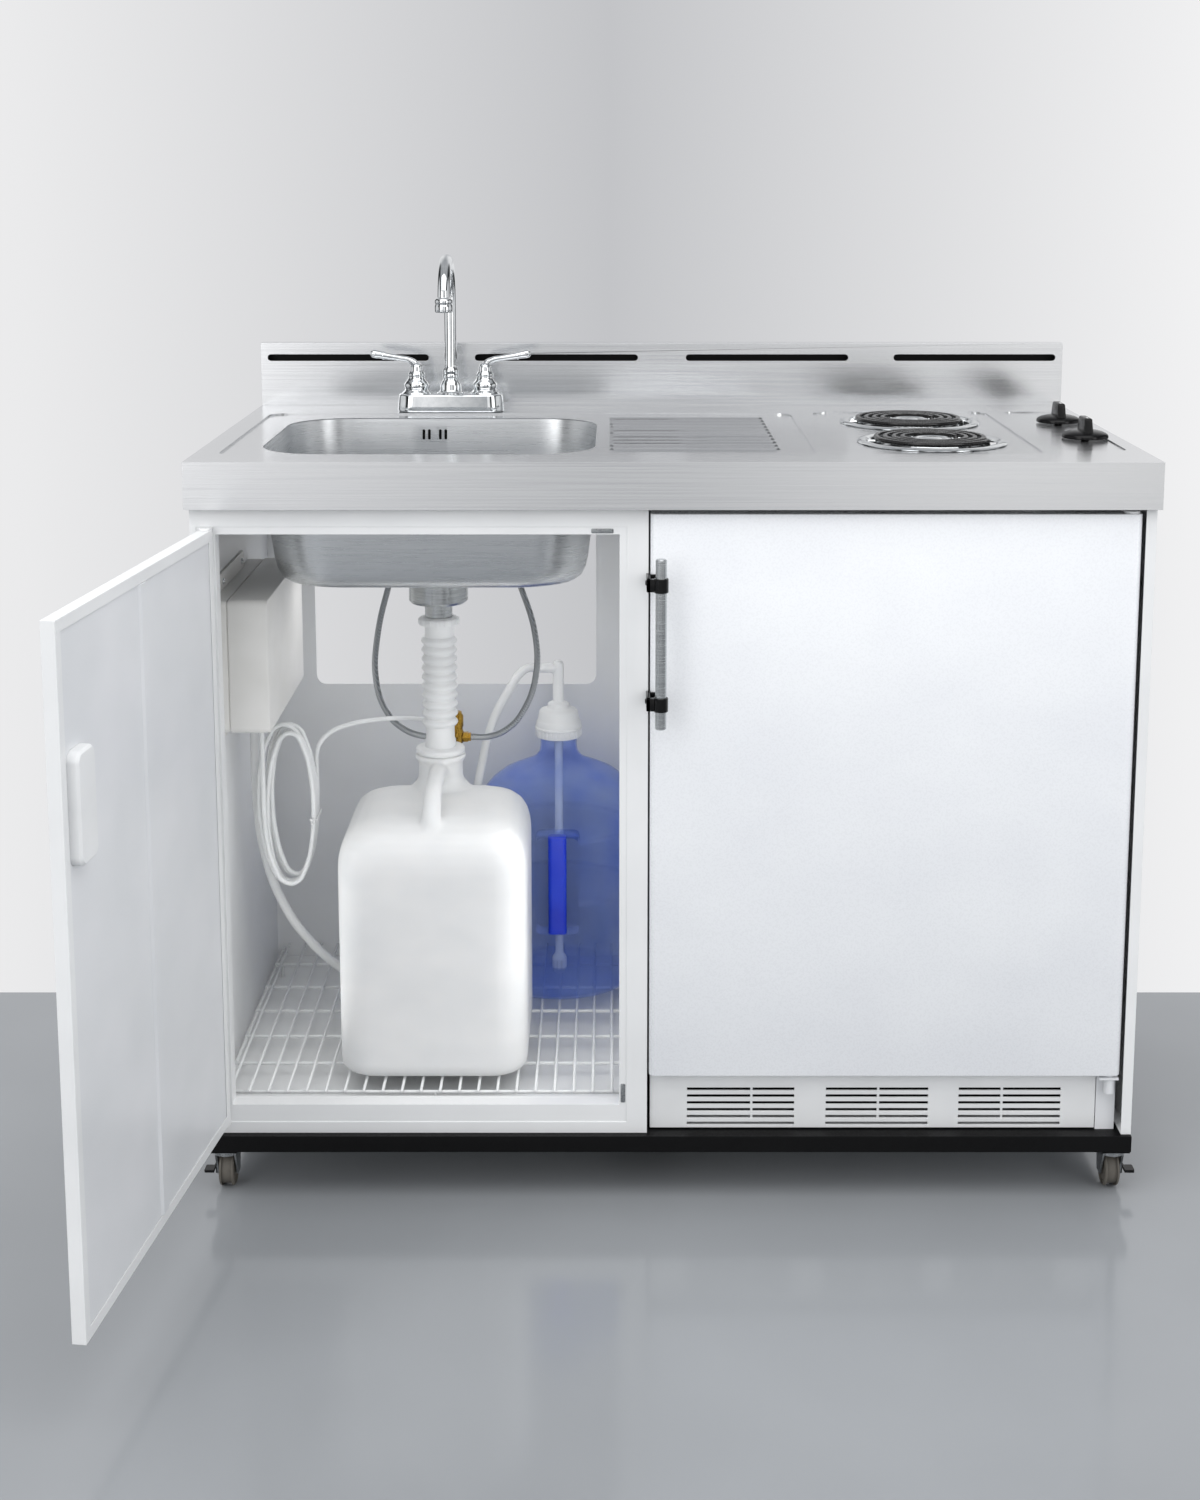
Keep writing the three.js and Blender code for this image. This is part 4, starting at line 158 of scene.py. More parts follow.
def noise(tree: Tree, size_mm: Point | float, detail: float = 2.0) -> Socket:
    """A noise pattern on the object's own coordinates, whose cells have a real size.

    Args:
        tree: The material's node tree.
        size_mm: The cell's length along X, Y and Z, or one length for all.
        detail: How many finer layers lie on it.

    Returns:
        Its value, about 0.3 to 0.7.
    """
    sizes = size_mm if isinstance(size_mm, tuple) else (size_mm,) * 3
    place = add_node(tree, "TexCoord").outputs["Object"]
    scale = {"Scale": tuple(1 / (s * MM) for s in sizes)}
    mapped = add_node(tree, "Mapping", scale, {"Vector": place}).outputs["Vector"]
    cells = {"Scale": 1.0, "Detail": detail, "Roughness": 0.55}
    return add_node(tree, "TexNoise", cells, {"Vector": mapped}).outputs["Fac"]


def ranged(tree: Tree, value: Socket, low: float, high: float) -> Socket:
    """Spreads a noise pattern over a range.

    Args:
        tree: The material's node tree.
        value: The pattern.
        low: What its dark parts become.
        high: What its light parts become.

    Returns:
        The ranged value.
    """
    spread = {"From Min": NOISE_LOW, "From Max": NOISE_HIGH, "To Min": low, "To Max": high}
    return add_node(tree, "MapRange", spread, {"Value": value}).outputs["Result"]


MIX_A, MIX_B, MIX_RESULT = 6, 7, 2  # the colour sockets of a Mix node


def blended(tree: Tree, share: Socket, first: Socket | str, second: Socket | str) -> Socket:
    """Mixes two colours by a pattern.

    Args:
        tree: The node tree.
        share: The pattern, from 0 for the first colour to 1 for the second.
        first: A hex value or a socket.
        second: A hex value or a socket.

    Returns:
        The mixed colour.
    """
    settings: Settings = {"data_type": "RGBA"}
    links: Links = {0: share}
    for key, colour in ((MIX_A, first), (MIX_B, second)):
        if isinstance(colour, str):
            settings[key] = linear(colour)
        else:
            links[key] = colour
    return add_node(tree, "Mix", settings, links).outputs[MIX_RESULT]


def bumped(tree: Tree, height: Socket, depth_mm: float) -> Socket:
    """Turns a pattern into relief.

    Args:
        tree: The material's node tree.
        height: The pattern.
        depth_mm: How deep its relief is.

    Returns:
        The bumped normal.
    """
    settings = {"Strength": 1.0, "Distance": depth_mm * MM}
    return add_node(tree, "Bump", settings, {"Height": height}).outputs["Normal"]


def maths(tree: Tree, operation: str, first: Socket, second: Socket) -> Socket:
    """Joins two values by one sum.

    Args:
        tree: The node tree.
        operation: The sum's name.
        first: The one value.
        second: The other value.

    Returns:
        The result.
    """
    return add_node(tree, "Math", {"operation": operation}, {0: first, 1: second}).outputs["Value"]


@dataclass(frozen=True)
class Finish:
    """What every finish has: a name, two colours and a roughness."""

    name: str
    dark: str
    light: str
    roughness: float

    def material(self) -> bpy.types.Material:
        """Makes the finish's material, once for each name.

        Returns:
            The material.
        """
        known = bpy.data.materials.get(self.name)
        if known:
            return known
        material = bpy.data.materials.new(self.name)
        material.use_nodes = True
        tree = material.node_tree
        tree.nodes.clear()
        add_node(tree, "OutputMaterial", None, {"Surface": self.surface(tree)})
        return material

    def surface(self, tree: Tree) -> Socket:
        """Draws the shader.

        Args:
            tree: The material's empty node tree.

        Returns:
            The shader's output.
        """
        shader = add_node(tree, "BsdfPrincipled", self.settings(), self.patterns(tree))
        return shader.outputs["BSDF"]

    def settings(self) -> Settings:
        """The constant values of the shader's inputs."""
        return {}

    def patterns(self, tree: Tree) -> Links:
        """The patterns that feed the shader's inputs."""
        raise NotImplementedError

    def worked(
        self,
        tree: Tree,
        tone: Socket,
        gloss: Socket,
        shares: Pair,
        depth_mm: float,
        relief: Socket | None = None,
    ) -> Links:
        """Feeds the shader's colour, roughness and normal from patterns.

        Args:
            tree: The material's node tree.
            tone: The pattern of the colour.
            gloss: The pattern of the roughness.
            shares: The least and the most share of the finish's roughness.
            depth_mm: How deep the relief is.
            relief: The pattern of the relief, or the gloss's where none is given.

        Returns:
            The links for the shader.
        """
        return {
            "Base Color": blended(tree, ranged(tree, tone, 0.0, 1.0), self.dark, self.light),
            "Roughness": ranged(tree, gloss, *(self.roughness * share for share in shares)),
            "Normal": bumped(tree, relief or gloss, depth_mm),
        }


# ---------------------------------------------------------------- finishes


@dataclass(frozen=True)
class BrushedSheet(Finish):
    """Stainless steel sheet ground with an abrasive belt: long fine lines that blur what it mirrors.

    The real lines are under half a millimetre apart, and are drawn about 1 mm wide so that they show.
    """

    line_mm: Point
    depth_mm: float = 0.004
    anisotropy: float = 0.4

    def settings(self) -> Settings:
        """A bare metal whose gloss is drawn out across the lines."""
        return {"Metallic": 1.0, "Anisotropic": self.anisotropy}

    def patterns(self, tree: Tree) -> Links:
        """The belt's lines in tone, gloss and depth."""
        lines = noise(tree, self.line_mm, 3.0)
        return self.worked(tree, lines, lines, (0.88, 1.14), self.depth_mm)


@dataclass(frozen=True)
class PlatedMetal(Finish):
    """Plated or polished metal: a mirror with a little haze and the faint waviness of a buffed casting."""

    wave_mm: float
    depth_mm: float = 0.002

    def settings(self) -> Settings:
        """A bare metal."""
        return {"Metallic": 1.0}

    def patterns(self, tree: Tree) -> Links:
        """The haze in tone and gloss, and the buffing waves in depth."""
        haze = noise(tree, self.wave_mm * 0.35, 4.0)
        return self.worked(tree, haze, haze, (0.7, 1.5), self.depth_mm, noise(tree, self.wave_mm))


@dataclass(frozen=True)
class Coating(Finish):
    """Baked paint on steel: even colour, a soft gloss and the fine orange peel of a sprayed film."""

    peel_mm: float
    depth_mm: float
    gloss_coat: float = 0.0
    shine: float = 0.5

    def settings(self) -> Settings:
        """A film, with a clear coat where the paint has one."""
        return {"Coat Weight": self.gloss_coat, "Coat Roughness": 0.12, "Specular IOR Level": self.shine}

    def patterns(self, tree: Tree) -> Links:
        """Peel in the gloss, and a colour that drifts a shade over a hand's width."""
        drift, peel = noise(tree, (180.0, 180.0, 140.0)), noise(tree, self.peel_mm, 1.0)
        return self.worked(tree, drift, peel, (0.85, 1.2), self.depth_mm)


@dataclass(frozen=True)
class Moulding(Finish):
    """Moulded plastic or rubber: the spark-eroded grain of its tool and slow shade changes."""

    grain_mm: float
    depth_mm: float
    ior: float = 1.5
    soak: float = 0.0

    def settings(self) -> Settings:
        """A plastic that light soaks into a few millimetres deep where it is milky or clear.

        Returns:
            The shader's constant values.
        """
        return {
            "IOR": self.ior, "Subsurface Weight": self.soak,
            "Subsurface Radius": (1.0, 0.95, 0.9), "Subsurface Scale": SKIN_DEPTH_M,
        }

    def patterns(self, tree: Tree) -> Links:
        """The grain and the slow shade."""
        shade, grain = noise(tree, (110.0, 110.0, 80.0)), noise(tree, self.grain_mm)
        return self.worked(tree, shade, grain, (0.85, 1.2), self.depth_mm)


@dataclass(frozen=True)
class TintedShell(Finish):
    """Thin clear plastic: what lies behind shows through, tinted at each face and deeper at its rims.

    Its body's colour drifts between its dark and its light one in slow patches.
    """

    tint: str
    face_share: float
    rim_share: float

    def surface(self, tree: Tree) -> Socket:
        """A see-through film over which a glossy body grows towards the rims.

        Args:
            tree: The material's empty node tree.

        Returns:
            The mixed shader's output.
        """
        flow = noise(tree, (60.0, 60.0, 90.0))
        links = {
            "Base Color": blended(tree, ranged(tree, flow, 0.0, 1.0), self.dark, self.light),
            "Normal": bumped(tree, flow, 0.3),
        }
        body = add_node(tree, "BsdfPrincipled", {"Roughness": self.roughness, "IOR": 1.58}, links)
        film = add_node(tree, "BsdfTransparent", {"Color": linear(self.tint)})
        facing = add_node(tree, "LayerWeight", {"Blend": 0.3}).outputs["Facing"]
        shares = {"To Min": self.face_share, "To Max": self.rim_share}
        share = add_node(tree, "MapRange", shares, {"Value": facing}).outputs["Result"]
        links = {0: share, 1: film.outputs["BSDF"], 2: body.outputs["BSDF"]}
        return add_node(tree, "MixShader", None, links).outputs["Shader"]


@dataclass(frozen=True)
class HeatedSheath(Finish):
    """Oxidised nickel-alloy tube of a heating element: near black, with browner patches where it glows."""

    def settings(self) -> Settings:
        """A dull oxide, which covers the metal's own gloss."""
        return {"Metallic": 0.0, "Specular IOR Level": 0.6}

    def patterns(self, tree: Tree) -> Links:
        """The oxide's patches, 14 mm across, and its fine scale."""
        return self.worked(tree, noise(tree, 14.0, 3.0), noise(tree, 1.6), (0.72, 1.28), 0.02)


@dataclass(frozen=True)
class BraidedHose(Finish):
    """Hose sleeve of woven stainless wire: two crossing sets, drawn coarser than real so that they show."""

    pitch_mm: float

    def settings(self) -> Settings:
        """A bare metal of one roughness."""
        return {"Metallic": 1.0, "Roughness": self.roughness}

    def patterns(self, tree: Tree) -> Links:
        """The two sets of wires, and the upper one at each place.

        Args:
            tree: The material's node tree.

        Returns:
            The links for the shader.
        """
        place = add_node(tree, "TexCoord").outputs["Object"]
        strands = []
        for slant in (1.0, -1.0):
            turn = {"Rotation": (0.5 * slant, 0.6 * slant, 0.8 * slant)}
            mapped = add_node(tree, "Mapping", turn, {"Vector": place}).outputs["Vector"]
            bands = {"wave_type": "BANDS", "bands_direction": "Z", "Scale": 0.314 / (self.pitch_mm * MM)}
            strands.append(add_node(tree, "TexWave", bands, {"Vector": mapped}).outputs["Fac"])
        upper = maths(tree, "MAXIMUM", *strands)
        # Where neither set of wires lies, the dark colour is painted shade in the gaps.
        tone = blended(tree, upper, self.dark, self.light)
        return {"Base Color": tone, "Normal": bumped(tree, upper, 0.25)}


@dataclass(frozen=True)
class SealedFloor(Finish):
    """Sealed studio floor: pale and faintly clouded."""

    cloud_mm: float

    def patterns(self, tree: Tree) -> Links:
        """The clouds and the screed's grain."""
        clouds = noise(tree, self.cloud_mm, 3.0)
        return self.worked(tree, clouds, noise(tree, 9.0), (0.9, 1.1), 0.03)


# Belt-ground austenitic sheet, lines along X: pale grey mirror blurred up and down.
TOP_STEEL = BrushedSheet("belt_ground_stainless_sheet", "#dadbdd", "#e8e9ea", 0.2, (260.0, 1.1, 1.1), 0.0002)
# The same sheet after deep drawing: the lines run round the bowl and the grey is duller.
BOWL_STEEL = BrushedSheet("drawn_stainless_bowl", "#d0d2d4", "#d9dbdd", 0.29, (90.0, 90.0, 1.4), 0.0002, 0.2)
# Turned bar with a satin finish, lines round it.
BAR_STEEL = BrushedSheet("satin_stainless_bar", "#a9acae", "#c9cccd", 0.25, (40.0, 40.0, 0.9), 0.003, 0.2)
# Nickel-chrome plate on brass: a bright mirror with black and white edges.
CHROME = PlatedMetal("nickel_chrome_plate", "#dfe2e4", "#eef0f1", 0.05, 28.0, 0.004)
# Bright chrome on pressed steel pans, with shallow ripples of the press.
PAN_CHROME = PlatedMetal("chrome_plated_pressed_steel", "#cfd2d4", "#e6e8e9", 0.09, 16.0, 0.02)
# Passivated zinc on pressed steel: dull blue grey with small spangles.
ZINC = PlatedMetal("zinc_plated_pressed_steel", "#8f9294", "#b8bbbd", 0.34, 6.0, 0.01)
# Machined free-cutting brass: warm yellow with turning marks.
BRASS = PlatedMetal("machined_brass", "#a37e2f", "#c9a04a", 0.22, 5.0, 0.01)
# Polyester powder coat on sheet steel: white, satin, with fine orange peel.
POWDER_WHITE = Coating("white_polyester_powder_coat", "#e9eaea", "#f0f1f1", 0.38, 1.6, 0.012)
# The same white coat, painted a shade greyer as painted shade: the door's inner sheet and the lower hinge
# bracket.
POWDER_WHITE_PAINTED_SHADE = Coating("white_powder_coat_painted_shade", "#dfe1e3", "#e7e8ea", 0.34, 1.6, 0.012)
# Baked enamel on the refrigerator's door: a smoother, cooler white with more gloss.
ENAMEL_WHITE = Coating("white_baked_enamel", "#eceef1", "#f2f4f6", 0.28, 2.4, 0.008, 0.25)
# Epoxy paint on the plinth and the compressor: deep black with a low sheen; also painted shade behind slots
# and louvres.
BLACK_PAINT_AND_PAINTED_SHADE = Coating("black_epoxy_paint_and_painted_shade", "#040405", "#080809", 0.5, 1.4, 0.015, 0.0, 0.2)
# Vinyl dip on the shelf's wires: thick, white and glossy.
VINYL_WHITE = Coating("white_vinyl_dip", "#e9ebeb", "#f1f2f2", 0.3, 2.0, 0.02, 0.2)
# Polypropylene: white, waxy, finely grained.
PLASTIC_WHITE = Moulding("white_polypropylene", "#e6e7e7", "#eeefef", 0.42, 0.8, 0.008, 1.49, 0.08)
# High-impact polystyrene sheet, vacuum formed: white and smooth.
LINER_WHITE = Moulding("formed_white_polystyrene", "#e6e8ea", "#eef0f1", 0.35, 1.4, 0.006, 1.59, 0.06)
# ABS: warm cream with an even spark grain.
PLASTIC_CREAM = Moulding("cream_abs", "#e3e2de", "#ebeae7", 0.48, 0.9, 0.012, 1.53)
# Blow-moulded high-density polyethylene: milky, light soaks in and rounds its edges.
PLASTIC_MILKY = Moulding("natural_polyethylene", "#e8e9e9", "#f1f1f0", 0.4, 5.0, 0.03, 1.52, 0.35)
# Polyvinyl chloride tube: white, soft, a little see-through.
TUBE_WHITE = Moulding("white_pvc_tube", "#e4e6e6", "#eff0f0", 0.32, 1.2, 0.006, 1.53, 0.2)
# Polycarbonate, blow moulded and tinted: clear blue that deepens where it is seen through twice.
PLASTIC_BLUE = TintedShell("tinted_polycarbonate", "#6e93ff", "#bccfff", 0.08, "#f2f6ff", 0.04, 0.55)
# The bottle's thick grip, which hardly lets light through.
GRIP_BLUE = Moulding("deep_blue_polycarbonate", "#1737cf", "#2148df", 0.2, 6.0, 0.01, 1.58, 0.1)
# Clear polystyrene of the crisper bin: glassy with soft grey edges.
PLASTIC_CLEAR = TintedShell("clear_polystyrene", "#c3cdd3", "#dfe6ea", 0.08, "#f6f9fb", 0.06, 0.5)
# Phenolic resin knobs: glossy black with a faint grey sheen.
PLASTIC_BLACK = Moulding("black_phenolic", "#060607", "#0b0b0c", 0.22, 1.5, 0.004, 1.35)
# Soft grey polyurethane tread of the casters.
TREAD_GREY = Moulding("grey_polyurethane_tread", "#5f5b54", "#716c64", 0.62, 0.9, 0.02, 1.5)
# Magnetic vinyl seal, matt and off-white.
SEAL_WHITE = Moulding("soft_vinyl_seal", "#dcdddb", "#e6e6e4", 0.6, 1.0, 0.01, 1.53, 0.1)
# The hob's elements, fired dark in use.
SHEATH = HeatedSheath("oxidised_nickel_alloy_sheath", "#08080a", "#1b1918", 0.25)
# Stainless wire of the tap hoses' sleeves: bright wires, with painted shade in the gaps between them.
BRAID = BraidedHose("woven_stainless_braid", "#5d6062", "#d4d7d9", 0.3, 2.2)
# Clear-sealed grey screed under the unit.
FLOOR_SCREED = SealedFloor("sealed_pale_floor", "#8f9295", "#9b9ea1", 0.14, 900.0)

BODY_OF = {node: body for body, nodes in frame["record"]["behaviour"]["bodies"].items() for node in nodes}


# ---------------------------------------------------------------- modelling moves


def deselect() -> None:
    """Leaves nothing selected, so that an operator acts on new work alone."""
    bpy.ops.object.select_all(action="DESELECT")


def select_only(*objects: Object) -> Object:
    """Selects some objects, with the first active.

    Args:
        objects: What to select.

    Returns:
        The active object.
    """
    deselect()
    for one in objects:
        one.select_set(True)
    bpy.context.view_layer.objects.active = objects[0]
    return objects[0]


@contextmanager
def editing(piece: Object) -> Iterator[None]:
    """Opens a piece in edit mode with all of it selected.

    Args:
        piece: The mesh object.
    """
    select_only(piece)
    bpy.ops.object.mode_set(mode="EDIT")
    bpy.ops.mesh.select_mode(type="VERT")
    bpy.ops.mesh.select_all(action="SELECT")
    try:
        yield
    finally:
        bpy.ops.object.mode_set(mode="OBJECT")


class Part(Enum):
    """What is picked in edit mode."""

    VERT = "VERT"
    EDGE = "EDGE"
    FACE = "FACE"


def pick(piece: Object, part: Part, test: Callable[[Sequence[Vector], Vector], bool]) -> None:
    """Selects the corners, edges or faces that pass a test, inside edit mode.

    Args:
        piece: The object being edited.
        part: What to pick.
        test: Takes the corners of one part and a face's normal, or a zero vector.
    """
    bpy.ops.mesh.select_mode(type=part.value)
    bpy.ops.mesh.select_all(action="DESELECT")
    bpy.ops.object.mode_set(mode="OBJECT")
    mesh = piece.data
    if part is Part.VERT:
        for corner in mesh.vertices:
            corner.select = test([corner.co], Vector())
    else:
        for one in mesh.edges if part is Part.EDGE else mesh.polygons:
            normal = one.normal if part is Part.FACE else Vector()
            one.select = test([mesh.vertices[i].co for i in one.vertices], normal)
    bpy.ops.object.mode_set(mode="EDIT")


def close_up(merge_mm: float = MERGE_MM) -> None:
    """Merges doubled corners and points all faces outwards, inside edit mode.

    Args:
        merge_mm: Corners nearer than this become one.
    """
    bpy.ops.mesh.select_all(action="SELECT")
    bpy.ops.mesh.remove_doubles(threshold=merge_mm * MM)
    bpy.ops.mesh.normals_make_consistent(inside=False)


def adopt(name: str) -> Object:
    """Names the primitive that was just added and puts its place into its mesh.

    Args:
        name: The piece's name.

    Returns:
        The object, at the origin.
    """
    piece = bpy.context.object
    piece.name = name
    piece.data.name = name
    bpy.ops.object.transform_apply(location=True, rotation=True, scale=True)
    return piece


def sheet(name: str, centre: Point, width: float, depth: float) -> Object:
    """Adds a level rectangle.

    Args:
        name: The piece's name.
        centre: Its middle on the plan.
        width: Its size along X in millimetres.
        depth: Its size along Y in millimetres.

    Returns:
        The new object.
    """
    deselect()
    bpy.ops.mesh.primitive_plane_add(size=1.0, location=at(*centre))
    bpy.context.object.scale = (width * MM, depth * MM, 1.0)
    return adopt(name)


def loft(levels: Profile, size: Pair, centre: Vector) -> None:
    """Extrudes the selected outline from level to level, inside edit mode.

    Args:
        levels: How far each level lies inside the full outline, and its height, in millimetres.
        size: The full outline's width and depth in millimetres.
        centre: The middle that the levels shrink to, in metres.
    """
    for (inset, height), (inner, reached) in pairwise(levels):
        rise = (0.0, 0.0, (reached - height) * MM)
        bpy.ops.mesh.extrude_region_move(TRANSFORM_OT_translate={"value": rise})
        ratio = [(side - 2 * inner) / (side - 2 * inset) for side in size]
        bpy.ops.transform.resize(value=(*ratio, 1.0), center_override=centre)


def chain(name: str, points: Sequence[Vector]) -> Object:
    """Draws a chain of edges, extruded corner by corner from the first point.

    Args:
        name: The piece's name.
        points: The corners in metres.

    Returns:
        The new object.
    """
    deselect()
    bpy.ops.mesh.primitive_plane_add(size=MM, location=points[0])
    piece = adopt(name)
    with editing(piece):
        bpy.ops.mesh.merge(type="CENTER")
        for start, end in pairwise(points):
            bpy.ops.mesh.extrude_region_move(TRANSFORM_OT_translate={"value": end - start})
    return piece


def turned(name: str, foot: Point, profile: Profile, steps: int = 48, axis: Axis = Axis.Z) -> Object:
    """Spins a profile round an axis, like work on a lathe.

    Args:
        name: The piece's name.
        foot: The plan point on the axis from which the heights count.
        profile: Radius and height pairs in millimetres, from one end to the other.
        steps: How many faces go round.
        axis: The lathe's axis.

    Returns:
        The closed or open shell.
    """
    centre = at(*foot)
    along = Vector(axis.value)
    out = Vector(Axis.Y.value if axis is Axis.X else Axis.X.value)
    piece = chain(name, [centre + (out * radius + along * height) * MM for radius, height in profile])
    with editing(piece):
        bpy.ops.mesh.spin(steps=steps, angle=FULL_TURN, center=centre, axis=along)
        close_up()
    return piece


def rod(
    name: str,
    points: Sequence[Point],
    radii: float | Sequence[float],
    sides: int = 12,
    smooth: bool = True,
) -> Object:
    """Bends a round rod through points, thicker or thinner along its way.

    Args:
        name: The piece's name.
        points: Places on its centre line, on the plan.
        radii: Its radius in millimetres, or one for each point.
        sides: How many faces go round.
        smooth: Whether it curves through the points or has corners there.

    Returns:
        The mesh object with capped ends.
    """
    thick = [radii] * len(points) if isinstance(radii, (int, float)) else list(radii)
    data = bpy.data.curves.new(name, "CURVE")
    data.dimensions = "3D"
    data.bevel_depth = max(thick) * MM
    data.bevel_resolution = max((sides - 4) // 4, 1)
    data.use_fill_caps = True
    spline = data.splines.new("BEZIER" if smooth else "POLY")
    places = spline.bezier_points if smooth else spline.points
    places.add(len(points) - 1)
    for place, point, radius in zip(places, points, thick):
        place.co = at(*point) if smooth else (*at(*point), 1.0)
        place.radius = radius / max(thick)
        if smooth:
            place.handle_left_type = place.handle_right_type = "AUTO"
    spline.resolution_u = 6
    piece = bpy.data.objects.new(name, data)
    bpy.context.scene.collection.objects.link(piece)
    select_only(piece)
    bpy.ops.object.convert(target="MESH")
    piece = bpy.context.object
    piece.name = name
    with editing(piece):
        close_up(MERGE_MM / 2)
    return piece


def slab(
    name: str,
    low: Point,
    high: Point,
    corner_mm: float = 0.0,
    edge_mm: float = 0.0,
    up: Axis = Axis.Z,
    corner_steps: int = 6,
) -> Object:
    """Raises a plate or a block from its outline, with round corners and eased rims.

    Args:
        name: The piece's name.
        low: Its lowest corner on the plan.
        high: Its highest corner on the plan.
        corner_mm: Radius of the outline's corners.
        edge_mm: Radius of the two rims.
        up: The direction in which the outline is raised.
        corner_steps: Facets in each corner.

    Returns:
        The closed block.
    """
    start, end = at(*low), at(*high)
    deselect()
    bpy.ops.mesh.primitive_cube_add(size=1.0, location=(start + end) / 2, scale=end - start)
    piece = adopt(name)
    along = Vector(up.value)
    with editing(piece):
        if corner_mm:
            pick(piece, Part.EDGE, lambda ends, _: abs((ends[0] - ends[1]).normalized().dot(along)) > LEVEL)
            rounding = {"segments": corner_steps, "affect": "EDGES", "clamp_overlap": True}
            bpy.ops.mesh.bevel(offset=corner_mm * MM, **rounding)
    if edge_mm:
        ease(piece, edge_mm)
    return piece


def apply_modifier(piece: Object, kind: str, **settings: object) -> None:
    """Adds a modifier with its settings and applies it.

    Args:
        piece: The object.
        kind: The modifier's type name.
        settings: Its properties.
    """
    select_only(piece)
    modifier = piece.modifiers.new(kind.title(), kind)
    for key, value in settings.items():
        setattr(modifier, key, value)
    bpy.ops.object.modifier_apply(modifier=modifier.name)


def ease(piece: Object, width_mm: float, steps: int = 2, angle_degrees: float = 40.0) -> None:
    """Rounds every edge sharper than an angle.

    Args:
        piece: The object.
        width_mm: How far the round reaches.
        steps: Facets across it.
        angle_degrees: The least angle between two faces that is rounded.
    """
    angle = math.radians(angle_degrees)
    settings = {"segments": steps, "limit_method": "ANGLE", "angle_limit": angle, "use_clamp_overlap": True}
    apply_modifier(piece, "BEVEL", width=width_mm * MM, **settings)


def carve(piece: Object, *tools: Object) -> None:
    """Cuts the tools out of a piece and clears them away.

    Args:
        piece: What is cut.
        tools: The solids to take out.
    """
    for tool in tools:
        apply_modifier(piece, "BOOLEAN", operation="DIFFERENCE", object=tool, solver="EXACT")
        bpy.data.objects.remove(tool, do_unlink=True)


def joined(*pieces: Object) -> Object:
    """Puts several meshes into the first one's object, which keeps its name.

    Args:
        pieces: The parts, of which all but the first are used up.

    Returns:
        The one object.
    """
    whole = select_only(*pieces)
    if len(pieces) > 1:
        bpy.ops.object.join()
    return whole


def smoothed(piece: Object, angle_degrees: float = SMOOTH_DEGREES) -> Object:
    """Shades a piece smooth up to an angle.

    Args:
        piece: The object.
        angle_degrees: Edges sharper than this stay crisp.

    Returns:
        The same object.
    """
    select_only(piece)
    bpy.ops.object.shade_smooth_by_angle(angle=math.radians(angle_degrees))
    return piece


def dress(piece: Object, finish: Finish, node: str, *replaced: str, smooth: float = SMOOTH_DEGREES) -> None:
    """Gives a new piece its shading, material and body, and hides what it stands for.

    Args:
        piece: The object.
        finish: Its finish.
        node: The frame's node that it belongs with.
        replaced: Nodes that it replaces.
        smooth: The angle in degrees up to which it is shaded smooth, 0 for flat faces.
    """
    if smooth:
        smoothed(piece, smooth)
    piece.data.materials.clear()
    piece.data.materials.append(finish.material())
    for face in piece.data.polygons:
        face.material_index = 0
    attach(piece, BODY_OF[node])
    if replaced:
        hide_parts(*replaced)
    LOG.info("%s rides on %s in %s", piece.name, BODY_OF[node], finish.name)


def skin(
    node: str,
    finish: Finish,
    edge_mm: float,
    steps: int = 2,
    flatten: bool = True,
    crisp: float = SMOOTH_DEGREES,
) -> None:
    """Models a sheet or a moulding over its node: one merged copy with eased edges, in its place.

    Args:
        node: The frame's node.
        finish: Its finish.
        edge_mm: How far its edges are rounded.
        steps: Facets across each round.
        flatten: Whether level facets are melted into one face first.
        crisp: Edges sharper than this angle in degrees stay crisp.
    """
    deselect()
    piece = bpy.data.objects.new(f"{node}_skin", frame["nodes"][node].data.copy())
    bpy.context.scene.collection.objects.link(piece)
    with editing(piece):
        bpy.ops.mesh.remove_doubles(threshold=MERGE_MM * MM)
        if flatten:
            bpy.ops.mesh.dissolve_limited(angle_limit=math.radians(FLAT_DEGREES))
    ease(piece, edge_mm, steps)
    smoothed(piece, crisp)
    apply_modifier(piece, "WEIGHTED_NORMAL", keep_sharp=True)
    dress(piece, finish, node, node, smooth=0.0)


def arc(centre: Pair, radius: float, start: float, end: float, steps: int) -> list[Pair]:
    """Points on a quarter or any other part of a circle.

    Args:
        centre: Its middle.
        radius: Its radius.
        start: The first angle in degrees.
        end: The last angle in degrees.
        steps: How many chords it has.

    Returns:
        The points, with both ends.
    """
    angles = [math.radians(start + (end - start) * i / steps) for i in range(steps + 1)]
    return [(centre[0] + radius * math.cos(a), centre[1] + radius * math.sin(a)) for a in angles]


def copies_round(piece: Object, foot: Point, count: int) -> Object:
    """Sets copies of a piece round an upright axis, as one object.

    Args:
        piece: The first one.
        foot: A plan point on the axis.
        count: How many there are in all.

    Returns:
        The ring.
    """
    centre = at(*foot)
    ring = [piece]
    for i in range(1, count):
        turn = Matrix.Translation(centre) @ Matrix.Rotation(FULL_TURN * i / count, 4, "Z")
        one = bpy.data.objects.new(f"{piece.name}_{i}", piece.data.copy())
        one.data.transform(turn @ Matrix.Translation(-centre))
        bpy.context.scene.collection.objects.link(one)
        ring.append(one)
    return joined(*ring)


# ---------------------------------------------------------------- studio

Stops = Sequence[tuple[float, str]]
